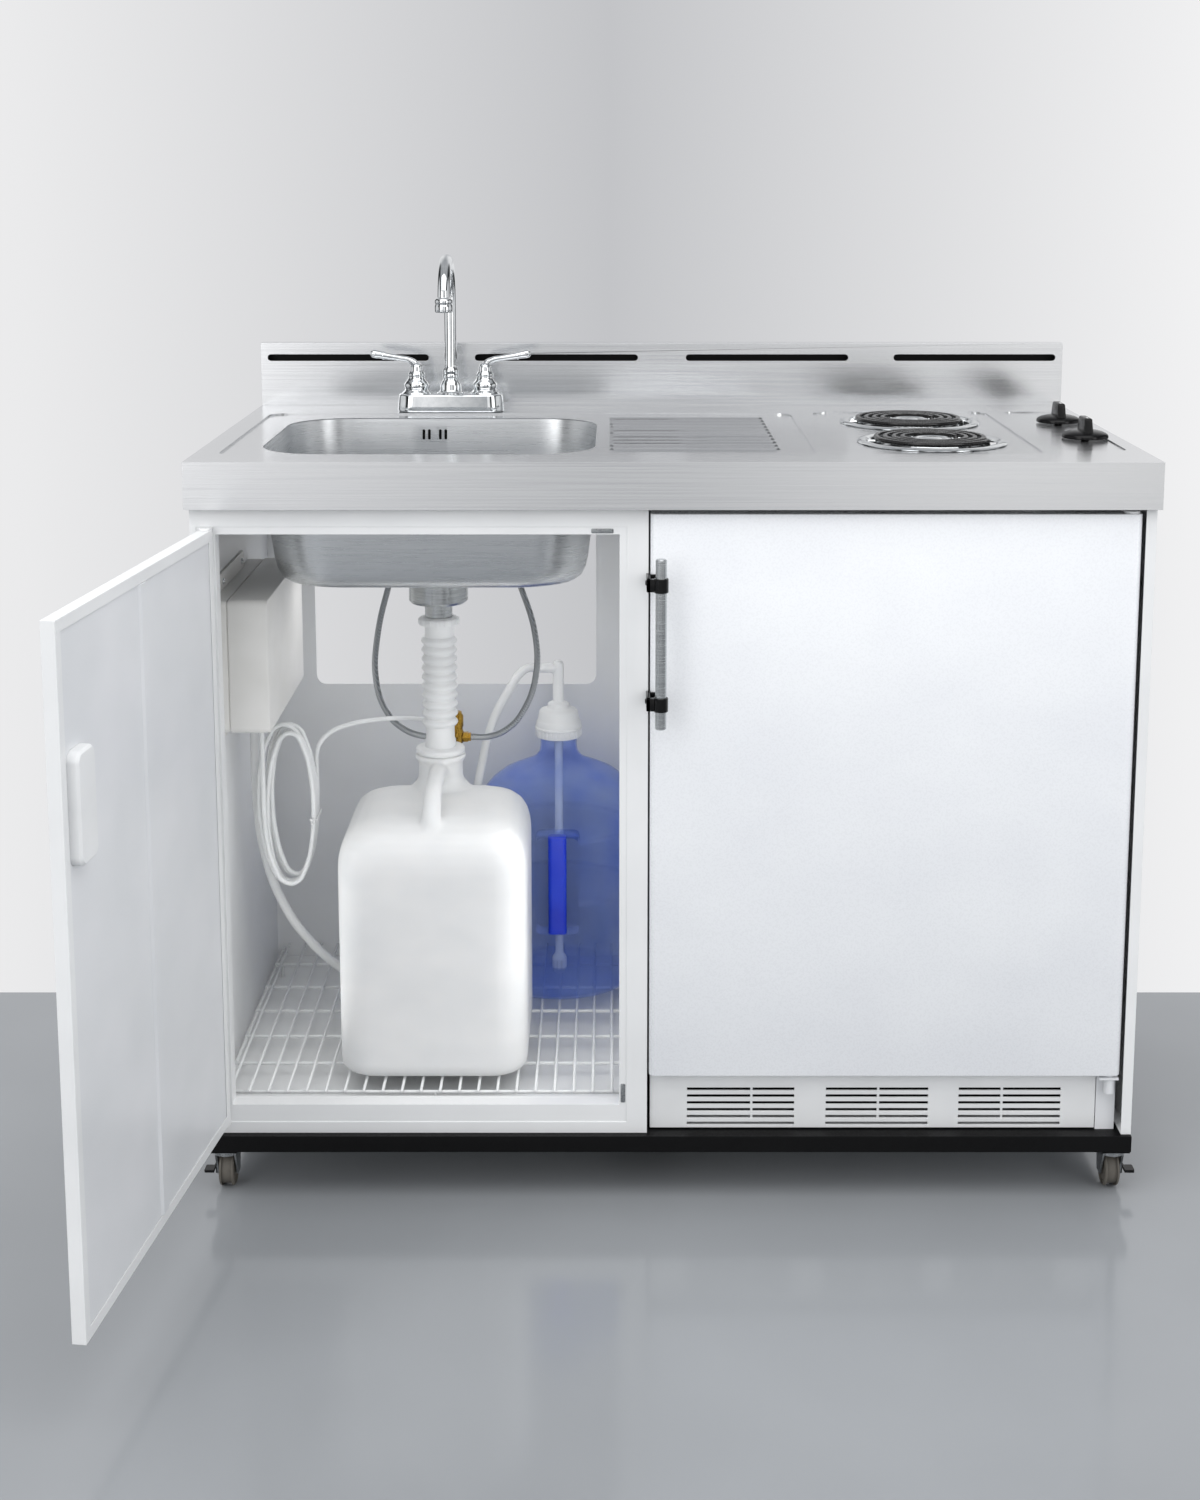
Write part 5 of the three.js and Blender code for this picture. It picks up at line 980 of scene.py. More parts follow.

# Colours from left (-1) to right (1): what the eye sees, then what metal mirrors beside and before the unit.
# The backdrop's grey middle between paler sides is painted shade on the wall behind the unit.
BACKDROP = ((-0.27, "#ebebec"), (0.0, "#c3c4c7"), (0.27, "#f1f1f2"))
WALLS_BESIDE = (
    (-0.92, "#d4d5d7"), (-0.82, "#2c2e30"), (-0.66, "#2c2e30"), (-0.5, "#d9dadb"), *BACKDROP,
    (0.5, "#e9e9ea"), (0.66, "#2c2e30"), (0.82, "#2c2e30"), (0.92, "#d4d5d7"),
)
STUDIO_ROOM = (
    (-0.92, "#dcddde"), (-0.84, "#1d1f21"), (-0.7, "#1d1f21"), (-0.62, "#ffffff"), (-0.52, "#ffffff"),
    (-0.46, "#26282a"), (-0.36, "#26282a"), (-0.28, "#f8f8f9"), (-0.12, "#f8f8f9"), (0.02, "#a4a6a9"),
    (0.1, "#f4f4f5"), (0.2, "#ffffff"), (0.3, "#fdfdfd"), (0.38, "#202224"), (0.48, "#202224"),
    (0.54, "#ffffff"), (0.62, "#ffffff"), (0.7, "#1d1f21"), (0.84, "#1d1f21"), (0.92, "#dcddde"),
)
CEILING = "#a4a6a9"
FAR_FLOOR = "#a2a5a9"
# Where along a direction's depth or height one of them gives way to the next, and how far.
BESIDE_TO_ROOM = (0.25, -0.1)
ROOM_TO_CEILING = (0.5, 0.8, 0.85)
SEEN_FROM_BEHIND = (0.1, -0.05)
UNDER_HORIZON = (0.0, -0.03)
METAL_SHOWS_WATTS = 1.0  # weaker lamps would be hot spots in metal


@dataclass(frozen=True)
class Lamp:
    """One softbox, its place and the point that it faces; a strong one also shows in metal."""

    name: str
    place: Point
    target: Point
    size_mm: Pair
    watts: float

    def hang(self) -> None:
        """Adds the lamp."""
        data = bpy.data.lights.new(self.name, "AREA")
        data.shape = "RECTANGLE"
        data.size, data.size_y = (side * MM for side in self.size_mm)
        data.energy = self.watts
        lamp = bpy.data.objects.new(self.name, data)
        lamp.location = at(*self.place)
        lamp.rotation_mode = "QUATERNION"
        lamp.rotation_quaternion = (at(*self.target) - at(*self.place)).to_track_quat("-Z", "Y")
        lamp.visible_camera = False
        lamp.visible_glossy = self.watts > METAL_SHOWS_WATTS
        bpy.context.scene.collection.objects.link(lamp)


LAMPS = (
    Lamp("softbox_above", (-150.0, -900.0, 2900.0), (-150.0, 250.0, 700.0), (3200.0, 1700.0), 29.0),
    Lamp("softbox_left", (-1900.0, -2300.0, 1500.0), (-200.0, 250.0, 500.0), (1500.0, 2200.0), 17.0),
    Lamp("softbox_right", (2100.0, -1800.0, 1500.0), (200.0, 250.0, 500.0), (900.0, 2200.0), 12.0),
    Lamp("bay_fill_left", (-515.0, 58.0, 350.0), (-315.0, 560.0, 500.0), (60.0, 340.0), 0.13),
    Lamp("bay_fill_right", (-105.0, 58.0, 520.0), (-315.0, 560.0, 500.0), (60.0, 620.0), 0.36),
    Lamp("bay_fill_top", (-330.0, 390.0, 775.0), (-330.0, 430.0, 300.0), (320.0, 90.0), 0.26),
)


@dataclass
class Studio:
    """The camera at the photograph's angle, the floor, the backdrop and the soft lamps."""

    camera_place: Point = (-79.0, -2586.0, 1351.0)
    pitch_degrees: float = 80.54
    lens_mm: float = 50.59
    film_mm: float = 36.0
    reach_m: float = 60.0
    shift: Pair = (-0.0064, -0.16)
    floor_low: Point = (-9000.0, -4200.0, -30.0)
    floor_high: Point = (9000.0, 700.0, 0.0)
    light: str = "#fbfcff"
    light_strength: float = 0.9

    def build(self) -> None:
        """Sets everything up."""
        bpy.context.scene.view_settings.view_transform = "Standard"
        self._camera()
        floor = slab("studio_floor", self.floor_low, self.floor_high)
        floor.data.materials.append(FLOOR_SCREED.material())
        for lamp in LAMPS:
            lamp.hang()
        self._world()

    def _camera(self) -> None:
        """Places the camera, whose tilt and shift give the photograph's upright lines."""
        data = bpy.data.cameras.new("camera")
        data.lens = self.lens_mm
        data.sensor_width = self.film_mm
        data.shift_x, data.shift_y = self.shift
        data.clip_end = self.reach_m
        camera = bpy.data.objects.new("camera", data)
        camera.location = at(*self.camera_place)
        camera.rotation_euler = (math.radians(self.pitch_degrees), 0.0, 0.0)
        bpy.context.scene.collection.objects.link(camera)
        bpy.context.scene.camera = camera

    def _world(self) -> None:
        """Even light from all round, a pale backdrop for the eye, and walls and flags for metal."""
        world = bpy.data.worlds.new("studio")
        bpy.context.scene.world = world
        world.use_nodes = True
        tree = world.node_tree
        tree.nodes.clear()
        way = add_node(tree, "TexCoord").outputs["Generated"]
        split = add_node(tree, "SeparateXYZ", None, {"Vector": way})
        side, depth, height = (split.outputs[axis] for axis in "XYZ")
        walls, room = self._ramp(tree, side, WALLS_BESIDE), self._ramp(tree, side, STUDIO_ROOM)
        mirrored = blended(tree, self._step(tree, depth, *BESIDE_TO_ROOM), walls, room)
        mirrored = blended(tree, self._step(tree, height, *ROOM_TO_CEILING), mirrored, CEILING)
        from_behind = self._step(tree, depth, *SEEN_FROM_BEHIND)
        low_down = self._step(tree, height, *UNDER_HORIZON)
        far_floor = maths(tree, "MULTIPLY", from_behind, low_down)
        backdrop = blended(tree, far_floor, self._ramp(tree, side, BACKDROP), FAR_FLOOR)
        rays = add_node(tree, "LightPath").outputs
        bounced = maths(tree, "MAXIMUM", rays["Is Glossy Ray"], rays["Is Transmission Ray"])
        shown = maths(tree, "MAXIMUM", rays["Is Camera Ray"], bounced)
        view = {"Color": blended(tree, bounced, backdrop, mirrored)}
        seen = add_node(tree, "Background", {"Strength": 1.0}, view).outputs["Background"]
        glow = {"Strength": self.light_strength, "Color": linear(self.light)}
        light = add_node(tree, "Background", glow).outputs["Background"]
        both = add_node(tree, "MixShader", None, {0: shown, 1: light, 2: seen})
        add_node(tree, "OutputWorld", None, {"Surface": both.outputs["Shader"]})

    @staticmethod
    def _step(tree: Tree, value: Socket, start: float, end: float, most: float = 1.0) -> Socket:
        """Rises from nothing to its most between two values."""
        settings = {"From Min": start, "From Max": end, "To Max": most}
        return add_node(tree, "MapRange", settings, {"Value": value}).outputs["Result"]

    @staticmethod
    def _ramp(tree: Tree, value: Socket, colours: Stops) -> Socket:
        """Blends colours that stand at set shares of a direction's way from left to right.

        Args:
            tree: The world's node tree.
            value: How far to the right the direction points.
            colours: The places, from -1 to 1, and their colours.

        Returns:
            The blended colour.
        """
        whole = {"From Min": -1.0, "From Max": 1.0}
        share = add_node(tree, "MapRange", whole, {"Value": value}).outputs["Result"]
        ramp = add_node(tree, "ValToRGB", None, {"Fac": share})
        stops = ramp.color_ramp.elements
        for place, _ in colours[1:-1]:
            stops.new((place + 1) / 2)
        for stop, (place, colour) in zip(stops, colours):
            stop.position = (place + 1) / 2
            stop.color = linear(colour)
        return ramp.outputs["Color"]


# ---------------------------------------------------------------- hoses


class Stiffness(Enum):
    """How a hose bends."""

    LIMP = "limp"
    MEDIUM = "medium"
    STIFF = "stiff"


@dataclass
class Hose:
    """One free hose, drawn through the same points as its solid."""

    node: str
    diameter: float
    length: float
    finish: Finish
    route: Sequence[Point]
    lay: str = "loose"
    stiffness: Stiffness = Stiffness.MEDIUM

    def build(self, with_pieces: Sequence[Object] = ()) -> None:
        """Args:
            with_pieces: The separate pieces on it, such as a tie; not used.
        """
        name = f"{self.node}_line"
        data = bpy.data.curves.new(name, "CURVE")
        data.dimensions = "3D"
        data.bevel_depth = self.diameter / 2 * MM
        data.bevel_resolution = 4
        data.use_fill_caps = True
        spline = data.splines.new("BEZIER")
        spline.bezier_points.add(len(self.route) - 1)
        for place, point in zip(spline.bezier_points, self.route):
            place.co = at(*point)
            place.handle_left_type = place.handle_right_type = "AUTO"
        spline.resolution_u = 8
        line = bpy.data.objects.new(name, data)
        bpy.context.scene.collection.objects.link(line)
        data.materials.append(self.finish.material())
        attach(line, BODY_OF[self.node])
        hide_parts(self.node)
        LOG.info("%s runs %.0f mm at %.1f mm across", name, self.length, self.diameter)


@dataclass
class Hank:
    """The pump's spare delivery tube, wound in long loops on the left panel and tied."""

    x: float = -523.0
    y: float = 222.0
    z: float = 464.0
    half_width: float = 34.0
    half_height: float = 110.0
    turns: float = 5.5
    pitch: float = 8.0
    steps: int = 14
    diameter: float = 6.35
    sway: float = 10.0
    sway_beat: float = 2.4
    sag: float = 16.0
    sag_beat: float = 3.7

    def route(self) -> list[Point]:
        """The tube's way: down from the pump, round loops that hang apart on the left, up to the run.

        Returns:
            Its points on the plan.
        """
        points = [(self.x - self.half_width, self.y, z) for z in (598.7, 592.35, 534.0, 494.0)]
        last = int(self.turns * self.steps)
        for i in range(last + 1):
            wound = i / self.steps
            turn = math.pi + FULL_TURN * wound
            slack = (1 - math.cos(turn)) / 2 * math.sin(math.pi * i / last)
            sway = slack * self.sway * math.sin(self.sway_beat * wound)
            sag = slack * self.sag * math.cos(self.sag_beat * wound)
            x = self.x + self.half_width * math.cos(turn) + sway
            z = self.z + self.half_height * math.sin(turn) + sag
            points.append((x, self.y + self.pitch * wound, z))
        back = self.y + self.pitch * self.turns
        return points + [(self.x + self.half_width, back, z) for z in (494.0, 507.65, 514.0)]

    def tie(self) -> Object:
        """A cable tie round the strands on the right.

        Returns:
            The dressed tie.
        """
        x, z = self.x + self.half_width, self.z - 18.0
        around, strap = self.diameter / 2 + 2.2, 1.1
        front, back = self.y + self.pitch / 2 - around, self.y + self.pitch * self.turns + around
        band = slab("hank_tie", (x - around, front, z), (x + around, back, z + 3.4), 3.0, 0.3)
        low = (x - around + strap, front + strap, z - 2)
        carve(band, slab("tie_hole", low, (x + around - strap, back - strap, z + 6), 2.2))
        lock = slab("tie_lock", (x - 3, front - 3.6, z - 1), (x + 3, front + 0.8, z + 4.4), 0.8, 0.5)
        tail = slab("tie_tail", (x - 1.6, front - 15, z + 0.9), (x + 1.6, front - 3, z + 2.1), 0.6, 0.2)
        dress(joined(band, lock, tail), PLASTIC_WHITE, "discharge_hank")
        return band


# From the hot shank down and round to the tee.
HOT_ROUTE = (
    (-365.8, 540, 924.7), (-365.8, 540, 905), (-369, 538, 870), (-385, 520, 800), (-407, 482, 725),
    (-420, 440, 660), (-419, 400, 605), (-402, 368, 566), (-372, 342, 544), (-338, 330, 537),
    (-315.3, 330, 537),
)
# From the cold shank down and round to the tee.
COLD_ROUTE = (
    (-264.2, 540, 924.7), (-264.2, 540, 905), (-261, 538, 870), (-243, 520, 800), (-212, 475, 730),
    (-188, 425, 665), (-186, 392, 612), (-201, 364, 570), (-226, 342, 545), (-254, 330, 537),
    (-276.7, 330, 537),
)
# From the bottle's cap, down behind the jug and up to the pump.
SUCTION_ROUTE = (
    (-185.3, 460, 606), (-198, 460, 606), (-212, 457, 598), (-228, 448, 575), (-250, 428, 535),
    (-267, 402, 470), (-278, 378, 400), (-288, 366, 320), (-306, 360, 245), (-336, 358, 185),
    (-380, 356, 155), (-425, 350, 156), (-465, 334, 185), (-510, 314, 236), (-546, 298, 300),
    (-568, 287, 375), (-577, 281, 460), (-577, 280, 540), (-577, 280, 575), (-577, 280, 598.7),
)
# From the hank's end across to the tee.
RUN_ROUTE = (
    (-489, 266, 514.3), (-489, 266, 528), (-484, 268, 545), (-468, 274, 560), (-442, 284, 568),
    (-405, 298, 571), (-372, 312, 569), (-346, 324, 564), (-330, 330, 560), (-313.3, 330, 560),
)


@dataclass
class SupplyLines:
    """Every free hose under the sink, on the routes of the solids."""

    hank: Hank

    def build(self) -> None:
        """Draws the two tap connections with their crimps, the suction hose, the hank and the run."""
        thin = self.hank.diameter
        Hose("hot_supply_hose", 9.0, 521.9, BRAID, HOT_ROUTE).build()
        Hose("cold_supply_hose", 9.0, 516.3, BRAID, COLD_ROUTE).build()
        Hose("suction_hose", 13.0, 1084.5, TUBE_WHITE, SUCTION_ROUTE).build()
        coil = Hose("discharge_hank", thin, 2840.2, TUBE_WHITE, self.hank.route(), "coiled")
        coil.build([self.hank.tie()])
        Hose("discharge_run", thin, 222.8, TUBE_WHITE, RUN_ROUTE).build()
        collar = [
            (4.7, 924.4), (6.6, 924.4), (6.9, 922), (6.9, 910), (6.2, 908), (6.6, 906), (6.2, 904),
            (6.4, 900), (4.7, 900), (4.7, 924.4),
        ]
        for node, (x, y, _) in (("hot_supply_hose", HOT_ROUTE[0]), ("cold_supply_hose", COLD_ROUTE[0])):
            dress(turned(f"{node}_crimp", (x, y, 0), collar, 24), ZINC, node)


# ---------------------------------------------------------------- worktop, bowl and strainer


@dataclass
class Worktop:
    """The pressed steel top with its apron, and the slotted splash guard at its back."""

    slot_centre: float = 1052.0
    guard_shade_y: float = 632.4

    def build(self) -> None:
        """Dresses the top and the guard, and puts a black plate behind the slots as painted shade."""
        skin("worktop", TOP_STEEL, 0.9, 3, crisp=14.0)
        skin("backguard", TOP_STEEL, 0.6)
        y, z = self.guard_shade_y, self.slot_centre
        # A black plate inside the guard's open back: painted shade, which makes the slots read dark.
        guard_shade = slab("guard_painted_shade", (-606, y, z - 45), (606, y + 1.2, z + 20), 0.0, 0.3)
        dress(guard_shade, BLACK_PAINT_AND_PAINTED_SHADE, "backguard", smooth=0.0)


@dataclass
class SinkBowl:
    """The drawn bowl, its overflow slots, the strainer in its drain and the lift-out basket."""

    x: float = -316.5
    y: float = 282.0
    width: float = 439.0
    depth: float = 384.0
    corner: float = 85.0
    mouth: float = 975.8
    floor: float = 792.0
    sheet: float = 1.2
    overflow_x: float = -334.5

    def build(self) -> None:
        """Builds the bowl, the strainer and the basket."""
        self._bowl()
        self._strainer()
        self._basket()

    def _bowl(self) -> None:
        """Draws the bowl down from its mouth in levels, cuts the overflow slots and puts painted shade
        behind them.
        """
        bowl = sheet("sink_bowl_drawn", (self.x, self.y, self.mouth), self.width, self.depth)
        levels = [
            (0.0, self.mouth), (1.0, self.mouth - 5), (4.0, 912.0), (8.0, 860.0), (12.0, 828.0),
            (15.0, 815.0), (20.0, 805.0), (27.0, 799.5), (38.0, 796.6), (70.0, 795.2),
        ]
        with editing(bowl):
            bpy.ops.mesh.bevel(offset=self.corner * MM, segments=10, affect="VERTICES")
            pick(bowl, Part.EDGE, lambda ends, _: (ends[0] - ends[1]).length > self.corner * MM)
            bpy.ops.mesh.subdivide(number_cuts=9)
            bpy.ops.mesh.select_all(action="SELECT")
            bpy.ops.mesh.delete(type="ONLY_FACE")
            bpy.ops.mesh.select_all(action="SELECT")
            loft(levels, (self.width, self.depth), at(self.x, self.y, 0.0))
            for radius, height in ((61.0, 793.4), (54.0, self.floor), (43.0, self.floor - 0.6)):
                bpy.ops.mesh.extrude_region_move()
                self._circle(bowl, radius, height)
            close_up()
        side = self._outward(bowl)
        apply_modifier(bowl, "SOLIDIFY", thickness=self.sheet * MM, offset=side, use_even_offset=True)
        wall = self.y + self.depth / 2
        for dx in (-16, -8, 8, 16):
            x = self.overflow_x + dx
            low, high = (x - 2, wall - 16, 946), (x + 2, wall + 12, 961)
            carve(bowl, slab("overflow", low, high, 1.9, 0.0, Axis.Y, 3))
        dress(bowl, BOWL_STEEL, "sink_bowl", "sink_bowl", smooth=50)
        # A black plate behind the overflow slots: painted shade, which makes the slots read dark.
        low = (self.overflow_x - 26, wall + self.sheet, 938)
        shade = slab("overflow_painted_shade", low, (self.overflow_x + 26, wall + 9, 969), 4.0, 1.0, Axis.Y)
        dress(shade, BLACK_PAINT_AND_PAINTED_SHADE, "sink_bowl")

    def _circle(self, bowl: Object, radius: float, height: float) -> None:
        """Turns the selected loop into a circle round the drain, inside edit mode.

        Args:
            bowl: The bowl being edited.
            radius: The circle's radius in millimetres.
            height: Its height in millimetres.
        """
        bpy.ops.object.mode_set(mode="OBJECT")
        centre = at(self.x, self.y, height)
        for vertex in bowl.data.vertices:
            if vertex.select:
                out = (vertex.co - centre).xy.normalized() * radius * MM
                vertex.co = (centre.x + out.x, centre.y + out.y, centre.z)
        bpy.ops.object.mode_set(mode="EDIT")

    @staticmethod
    def _outward(bowl: Object) -> float:
        """The side on which the sheet gets its thickness: away from the bowl's inside."""
        floor = min(bowl.data.polygons, key=lambda face: face.center.z)
        return 1.0 if floor.normal.z < 0 else -1.0

    def _strainer(self) -> None:
        """Turns the strainer's flange and cup with its big nut."""
        foot = (self.x, self.y, 0.0)
        cup_profile = [
            (55, 792.3), (55, 793.2), (54.2, 793.8), (43, 793.8), (40.5, 792), (39.5, 789), (39, 749),
            (36, 746.4), (17.4, 745), (17, 744), (17, 724.1), (19, 724.1), (19, 743), (38, 744.4),
            (41, 748), (41, 791), (42, 792.3), (55, 792.3),
        ]
        nut_profile = [
            (41.4, 776.5), (50, 776.5), (52.4, 778), (53, 780), (53, 788), (52, 790.3), (41.4, 790.3),
            (41.4, 776.5),
        ]
        cup = turned("strainer_cup", foot, cup_profile, 56)
        nut = turned("strainer_nut", foot, nut_profile, 56)
        low, high = (self.x + 50, self.y - 5, 777), (self.x + 56, self.y + 5, 790)
        lugs = copies_round(slab("strainer_lug", low, high, 0.0, 1.2), foot, 8)
        dress(joined(cup, nut, lugs), BAR_STEEL, "strainer_body", "strainer_body")

    def _basket(self) -> None:
        """Turns the basket, pierces its floor and sets its knob."""
        foot = (self.x, self.y, 0.0)
        cup_profile = [
            (5, 759.2), (30, 759.2), (35.5, 761), (37, 765), (37.4, 792), (43.6, 793.9), (44, 794.6),
            (43.4, 795.2), (38.6, 795), (38.2, 792), (37.8, 764.4), (36, 760), (30, 758), (5, 758),
            (5, 759.2),
        ]
        knob_profile = [
            (0, 757.6), (5.4, 757.6), (5.4, 762), (4, 764), (3.6, 784), (5, 789), (8.4, 792), (9, 795),
            (8.4, 797.6), (5, 798.7), (0, 798.9),
        ]
        basket = turned("basket_cup", foot, cup_profile, 56)
        pin = [(0, 756), (2.4, 756), (2.4, 761), (0, 761)]
        pins = []
        for radius, count in ((13.0, 6), (22.0, 10), (30.0, 14)):
            for i in range(count):
                turn = FULL_TURN * i / count
                x, y = self.x + radius * math.cos(turn), self.y + radius * math.sin(turn)
                pins.append(turned("basket_hole", (x, y, 0), pin, 10))
        carve(basket, joined(*pins))
        knob = turned("basket_knob", foot, knob_profile, 28)
        dress(joined(basket, knob), CHROME, "strainer_basket", "strainer_basket")


# ---------------------------------------------------------------- faucet


@dataclass
class Faucet:
    """A two-handle centreset faucet with a gooseneck spout and ball-tipped levers."""

    x: float = -315.0
    y: float = 540.0
    deck: float = 980.0
    plate: Point = (160.0, 52.0, 27.0)
    pitch: float = 101.6
    bend_height: float = 1146.0
    bend_radius: float = 60.0
    outlet: float = 1135.0

    def build(self) -> None:
        """Builds the base, the spout and both levers."""
        self._base()
        self._spout()
        for side, node in ((-1, "hot_lever"), (1, "cold_lever")):
            self._lever(side, node)

    def _base(self) -> None:
        """The plate, two bell bodies, the hub and the threaded shanks under the deck."""
        wide, deep, tall = self.plate
        low = (self.x - wide / 2, self.y - deep / 2, self.deck)
        high = (self.x + wide / 2, self.y + deep / 2, self.deck + tall)
        plate = slab("faucet_plate", low, high, 25.0, corner_steps=14)
        with editing(plate):
            pick(plate, Part.FACE, lambda _, normal: normal.z > LEVEL)
            bpy.ops.transform.resize(value=(0.965, 0.9, 1.0), center_override=at(self.x, self.y, self.deck))
        ease(plate, 3.4, 4, 50)
        bell = [
            (0, 1003), (22, 1003), (23, 1005), (22, 1008), (19, 1010.5), (17.4, 1013), (17.8, 1015),
            (19, 1017.5), (19, 1020), (17.4, 1023), (14.6, 1026.5), (12.6, 1029), (12, 1032), (0, 1032),
        ]
        thread = [(11.0 - 0.9 * (i % 2), 926.0 + i) for i in range(52)]
        shank = [(0, 925), (9.4, 925), *thread, (10.4, 981), (0, 981)]
        hub = [
            (0, 1003), (21, 1003), (22, 1005), (21, 1008), (17.6, 1010), (16, 1013), (16, 1019),
            (13.6, 1024), (11.4, 1027), (11, 1029), (0, 1029),
        ]
        pieces = [plate]
        for side in (-1, 1):
            foot = (self.x + side * self.pitch / 2, self.y, 0.0)
            pieces += [turned("faucet_bell", foot, bell), turned("faucet_shank", foot, shank, 24)]
        pieces.append(turned("faucet_hub", (self.x, self.y, 0.0), hub))
        dress(joined(*pieces), CHROME, "faucet_base", "faucet_base", smooth=40)

    def _spout(self) -> None:
        """The riser and its bend in one tube, with a collar at its foot and the aerator at its end."""
        bend = arc((self.y - self.bend_radius, self.bend_height), self.bend_radius, 0.0, 180.0, 14)
        mouth_y = self.y - 2 * self.bend_radius
        points = [(self.x, self.y, z) for z in (1030.0, 1060.0, 1100.0, 1130.0)]
        points += [(self.x, y, z) for y, z in bend]
        tube = rod("spout_tube", [*points, (self.x, mouth_y, self.outlet + 3)], 9.0, 28)
        foot_profile = [
            (0, 1029.3), (11.6, 1029.3), (12.5, 1030.5), (12.5, 1034), (11.4, 1036), (11.8, 1038),
            (12.3, 1040), (11.6, 1042.5), (9.6, 1045), (9.0, 1049), (0, 1049),
        ]
        tip_profile = [
            (0, 1137.4), (10, 1137.4), (10.4, 1135.2), (12.4, 1135.6), (13, 1137), (13, 1145),
            (12.2, 1146), (12.2, 1147.4), (13, 1148.4), (13, 1152), (11.6, 1154.6), (9, 1156.6), (0, 1156.6),
        ]
        foot = turned("spout_foot", (self.x, self.y, 0), foot_profile, 40)
        tip = turned("spout_tip", (self.x, mouth_y, 0), tip_profile, 40)
        dress(joined(tube, foot, tip), CHROME, "spout", "spout", smooth=40)

    def _lever(self, side: int, node: str) -> None:
        """One lever: a ringed cap, a thin arm that rises outward and a ball tip.

        Args:
            side: -1 for the left one, 1 for the right one.
            node: The frame's node that it replaces.
        """
        x = self.x + side * self.pitch / 2
        cap_profile = [
            (0, 1032.3), (12.4, 1032.3), (13, 1033.6), (12.8, 1036), (11, 1038), (9.6, 1041), (9.8, 1044),
            (8.6, 1048), (6.4, 1051), (3, 1053), (0, 1053.4),
        ]
        stations = [
            (0, 1034, 7.5), (0, 1044, 6.4), (3, 1051, 5.4), (11, 1056, 4.6), (26, 1059, 4.3),
            (44, 1062, 5), (54, 1064, 5.6), (60, 1065, 6.3), (65, 1066, 5.9), (68, 1066.6, 3.4),
        ]
        cap = turned(f"{node}_cap", (x, self.y, 0), cap_profile, 40)
        way = [(x + side * reach, self.y, z) for reach, z, _ in stations]
        arm = rod(f"{node}_arm", way, [radius for _, _, radius in stations], 24)
        bead = [(4, -1.2), (6.4, -1.2), (6.8, 0), (6.4, 1.2), (4, 1.2)]
        ring = turned(f"{node}_ring", (x + side * 49, self.y, 1063), bead, 24, Axis.X)
        dress(joined(cap, arm, ring), CHROME, node, node, smooth=40)


# ---------------------------------------------------------------- hob


